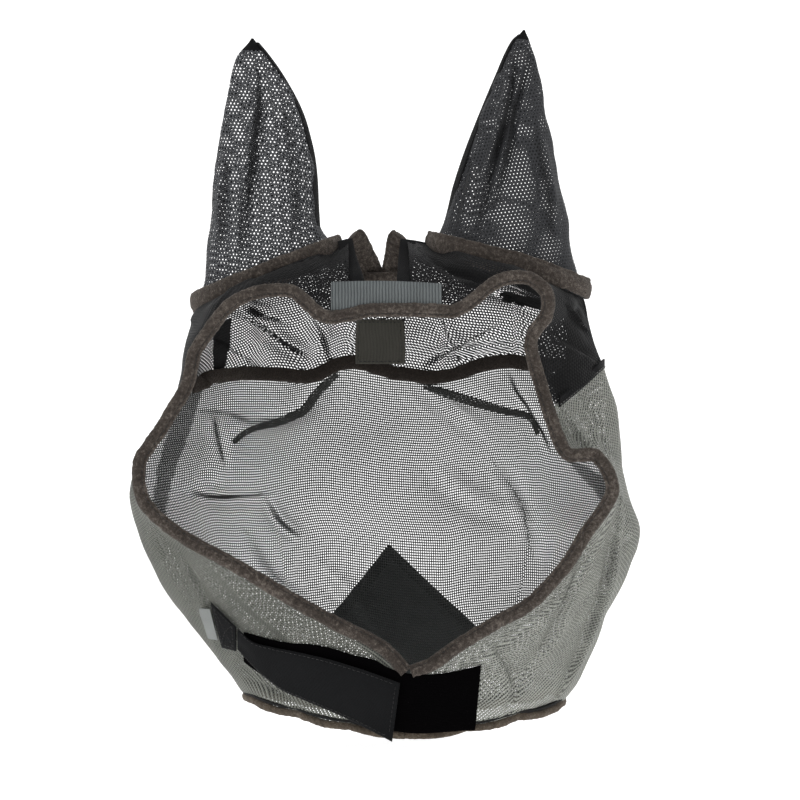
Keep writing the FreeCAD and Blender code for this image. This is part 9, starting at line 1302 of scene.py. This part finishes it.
# poll tab: ribbed webbing, slightly bowed, its top corners soft
lo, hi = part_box("poll_webbing_tab")
lo, hi = arr(lo) * 1000, arr(hi) * 1000
U = np.linspace(0, 1, 150)[:, None]
V = np.linspace(0, 1, 25)[None, :]
x = lo[0] + (hi[0] - lo[0]) * U + 0 * V
z = lo[2] + (hi[2] - lo[2]) * V + (1.4 * np.sin(math.pi * U) - 0.7 * U * 2) * (V ** 0.7)
y = lo[1] + 5.2 + (hi[1] - lo[1] - 5.4) * V - 1.6 * np.sin(math.pi * U) * V + 0.35 * np.sin(U * 17)
g = np.stack([x, y, z], 2)
ob = ribbon_solid("poll_webbing_strip", g, 1.5, [M_TAB])
keep(ob, "mask", "grey_webbing", "poll_webbing_tab")
lo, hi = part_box("forelock_patch")
lo, hi = arr(lo) * 1000, arr(hi) * 1000
U = np.linspace(0, 1, 60)[:, None]
V = np.linspace(0, 1, 56)[None, :]
x = lo[0] + (hi[0] - lo[0]) * U + 0.8 * np.sin(V * 5) * (U - 0.5)
z = lo[2] + (hi[2] - lo[2]) * V + 0 * U
y = lo[1] + 0.6 + 0.6 * np.sin(math.pi * U) + 0.5 * np.sin(V * 4 + U * 2)
g = np.stack([x, y, z], 2)
ob = ribbon_solid("forelock_webbing_patch", g, 1.4, [M_PATCH])
keep(ob, "mask", "patch_cloth", "forelock_patch")
for k, (a, b) in enumerate((((0.07, 0.06), (0.93, 0.06)), ((0.07, 0.94), (0.93, 0.94)), ((0.07, 0.06), (0.07, 0.94)), ((0.93, 0.06), (0.93, 0.94)))):
    t = np.linspace(0, 1, 40)
    i = ((a[0] + (b[0] - a[0]) * t) * 59).astype(int)
    j = ((a[1] + (b[1] - a[1]) * t) * 55).astype(int)
    ob = stitches("forelock_patch_stitch_%d" % k, g[i, j] + np.array([0, -0.75, 0]), VIEW, 2.4, 1.3, 0.3, [M_THREAD_D])
    keep(ob, "mask", "patch_cloth")

# ---------------------------------------------------------------- closure
g = dense(LOOP, 200, 60)
n = grid_normals(g, ref=None)
if n[..., 1].mean() > 0:
    n = -n
d = noise3(g, 2.2, 41) * 0.28 + noise3(g, 14.0, 42) * 0.5
gl = g + n * d[..., None]
ob = ribbon_solid("loop_tape_pile", gl, 1.7, [M_LOOP])
keep(ob, "mask", "loop_tape", "loop_tape")
g = dense(HOOK, 170, 56)
n = grid_normals(g, ref=None)
if n[..., 1].mean() > 0:
    n = -n
x = np.linspace(0, 1, 170)[:, None]
y = np.linspace(0, 1, 56)[None, :]
bow = 0.9 * np.sin(x * 5.2 + 0.6) * (y - 0.5) + 0.5 * np.sin(x * 9.0) * (1 - x)
gh = g + n * (bow * np.clip(x * 6, 0, 1) + 0.15 * noise3(g, 20.0, 44))[..., None]
ob = ribbon_solid("hook_strap_cloth", gh, 1.9, [M_HOOK])
keep(ob, "hook_strap", "hook_tape", "hook_strap")
for k, jj in enumerate((3, 52)):
    path = gh[4:166, jj] + n[4:166, jj] * 1.0
    ob = stitches("hook_strap_edge_stitch_%d" % k, path, VIEW, 2.6, 1.4, 0.26, [M_THREAD_D])
    keep(ob, "hook_strap", "hook_tape")
path = gh[165, 4:52] + n[165, 4:52] * 1.0
ob = stitches("hook_strap_end_stitch", path, VIEW, 2.6, 1.4, 0.26, [M_THREAD_D])
keep(ob, "hook_strap", "hook_tape")

g = dense(ANCHOR, 60, 60)
n = grid_normals(g, ref=None)
if n[..., 1].mean() > 0:
    n = -n
g = g + n * (0.25 * noise3(g, 9.0, 47))[..., None]
ob = ribbon_solid("strap_anchor_cloth", g, 1.6, [M_HOOK])
keep(ob, "mask", "hook_tape", "strap_anchor_patch")
def quad(a, b):
    t = np.linspace(0, 1, 40)
    i = ((a[0] + (b[0] - a[0]) * t) * 59).astype(int)
    j = ((a[1] + (b[1] - a[1]) * t) * 59).astype(int)
    return g[i, j] + n[i, j] * 0.9
for k, (a, b) in enumerate((((0.12, 0.1), (0.88, 0.1)), ((0.88, 0.1), (0.88, 0.9)), ((0.88, 0.9), (0.12, 0.9)), ((0.12, 0.9), (0.12, 0.1)), ((0.12, 0.1), (0.88, 0.9)), ((0.88, 0.1), (0.12, 0.9)))):
    ob = stitches("strap_anchor_stitch_%d" % k, quad(a, b), VIEW, 2.2, 1.1, 0.34, [M_THREAD_D])
    keep(ob, "mask", "hook_tape")

# blank care label: a folded strip of satin tape
B, A, D = arr(LABEL_BASE), arr(LABEL_ACROSS), arr(LABEL_DOWN)
A /= np.linalg.norm(A)
D /= np.linalg.norm(D)
W = np.cross(A, D)
if W[1] > 0:
    W = -W
x = np.linspace(0, 1, 26)[:, None]
y = np.linspace(0, 1, 60)[None, :]
g = B + A * (x * 11.0)[..., None] + D * (y * 30.0 + 0 * x)[..., None] + W * (0.3 + 0.9 * x ** 2 * np.sin(y * 5.0 + 0.5) + 0.25 * np.sin(y * 11) * x)[..., None]
ob = ribbon_solid("care_label_cloth", g, 0.5, [M_LABEL])
keep(ob, "care_label", "label_cloth", "care_label")

# ------------------------------------------------------------------- stage
def stage():
    me = bpy.data.meshes.new("floor")
    z = -0.372
    pts, fs = [], []
    prof = [(-12.0, z), (1.2, z)] + [(1.2 + 0.9 * math.sin(a), z + 0.9 * (1 - math.cos(a))) for a in np.linspace(0.08, math.pi / 2, 14)] + [(2.1, 4.0)]
    for yy, zz in prof:
        pts += [(-12.0, yy, zz), (12.0, yy, zz)]
    for i in range(len(prof) - 1):
        fs.append((2 * i, 2 * i + 1, 2 * i + 3, 2 * i + 2))
    me.from_pydata(pts, [], fs)
    ob = bpy.data.objects.new("floor", me)
    bpy.context.scene.collection.objects.link(ob)
    me.polygons.foreach_set("use_smooth", [True] * len(me.polygons))
    m = bpy.data.materials.new("pale_floor")
    m.use_nodes = True
    nt = m.node_tree
    nt.nodes.clear()
    out = nt.nodes.new("ShaderNodeOutputMaterial")
    mix = nt.nodes.new("ShaderNodeAddShader")
    dif = nt.nodes.new("ShaderNodeBsdfDiffuse")
    dif.inputs[0].default_value = (0.55, 0.55, 0.55, 1)
    em = nt.nodes.new("ShaderNodeEmission")
    em.inputs[0].default_value = (1, 1, 1, 1)
    em.inputs[1].default_value = 0.9
    nt.links.new(dif.outputs[0], mix.inputs[0])
    nt.links.new(em.outputs[0], mix.inputs[1])
    nt.links.new(mix.outputs[0], out.inputs[0])
    me.materials.append(m)


stage()
world = bpy.data.worlds.new("studio")
bpy.context.scene.world = world
world.use_nodes = True
bg = world.node_tree.nodes["Background"]
bg.inputs[0].default_value = (1, 1, 1, 1)
bg.inputs[1].default_value = 0.28


def area(name, loc, target, size, power):
    l = bpy.data.lights.new(name, "AREA")
    l.shape = "RECTANGLE"
    l.size, l.size_y = size
    l.energy = power
    ob = bpy.data.objects.new(name, l)
    ob.location = loc
    d = Vector(target) - Vector(loc)
    ob.rotation_euler = d.to_track_quat("-Z", "Y").to_euler()
    bpy.context.scene.collection.objects.link(ob)


area("key", (-1.6, -1.9, 1.5), (0, 0, -0.05), (1.4, 1.4), 18)
area("fill", (1.9, -1.7, 0.5), (0, 0, -0.1), (1.5, 1.8), 8)
area("top", (0.0, 0.4, 2.0), (0, 0.05, 0), (1.6, 1.2), 13)
area("back", (0.5, 1.6, 1.2), (0, 0.05, -0.1), (1.4, 1.2), 5)

cam = bpy.data.cameras.new("camera")
cam.sensor_width = 36.0
cam.lens = 36.0 * 2.1 / 0.664
cam.dof.use_dof = False
cam.clip_start = 0.05
co = bpy.data.objects.new("camera", cam)
co.location = (0.00996, -2.1, -0.07304)
co.rotation_euler = (math.pi / 2, 0, 0)
bpy.context.scene.collection.objects.link(co)
bpy.context.scene.camera = co
bpy.context.scene.view_settings.view_transform = "Standard"
bpy.context.scene.view_settings.look = "None"
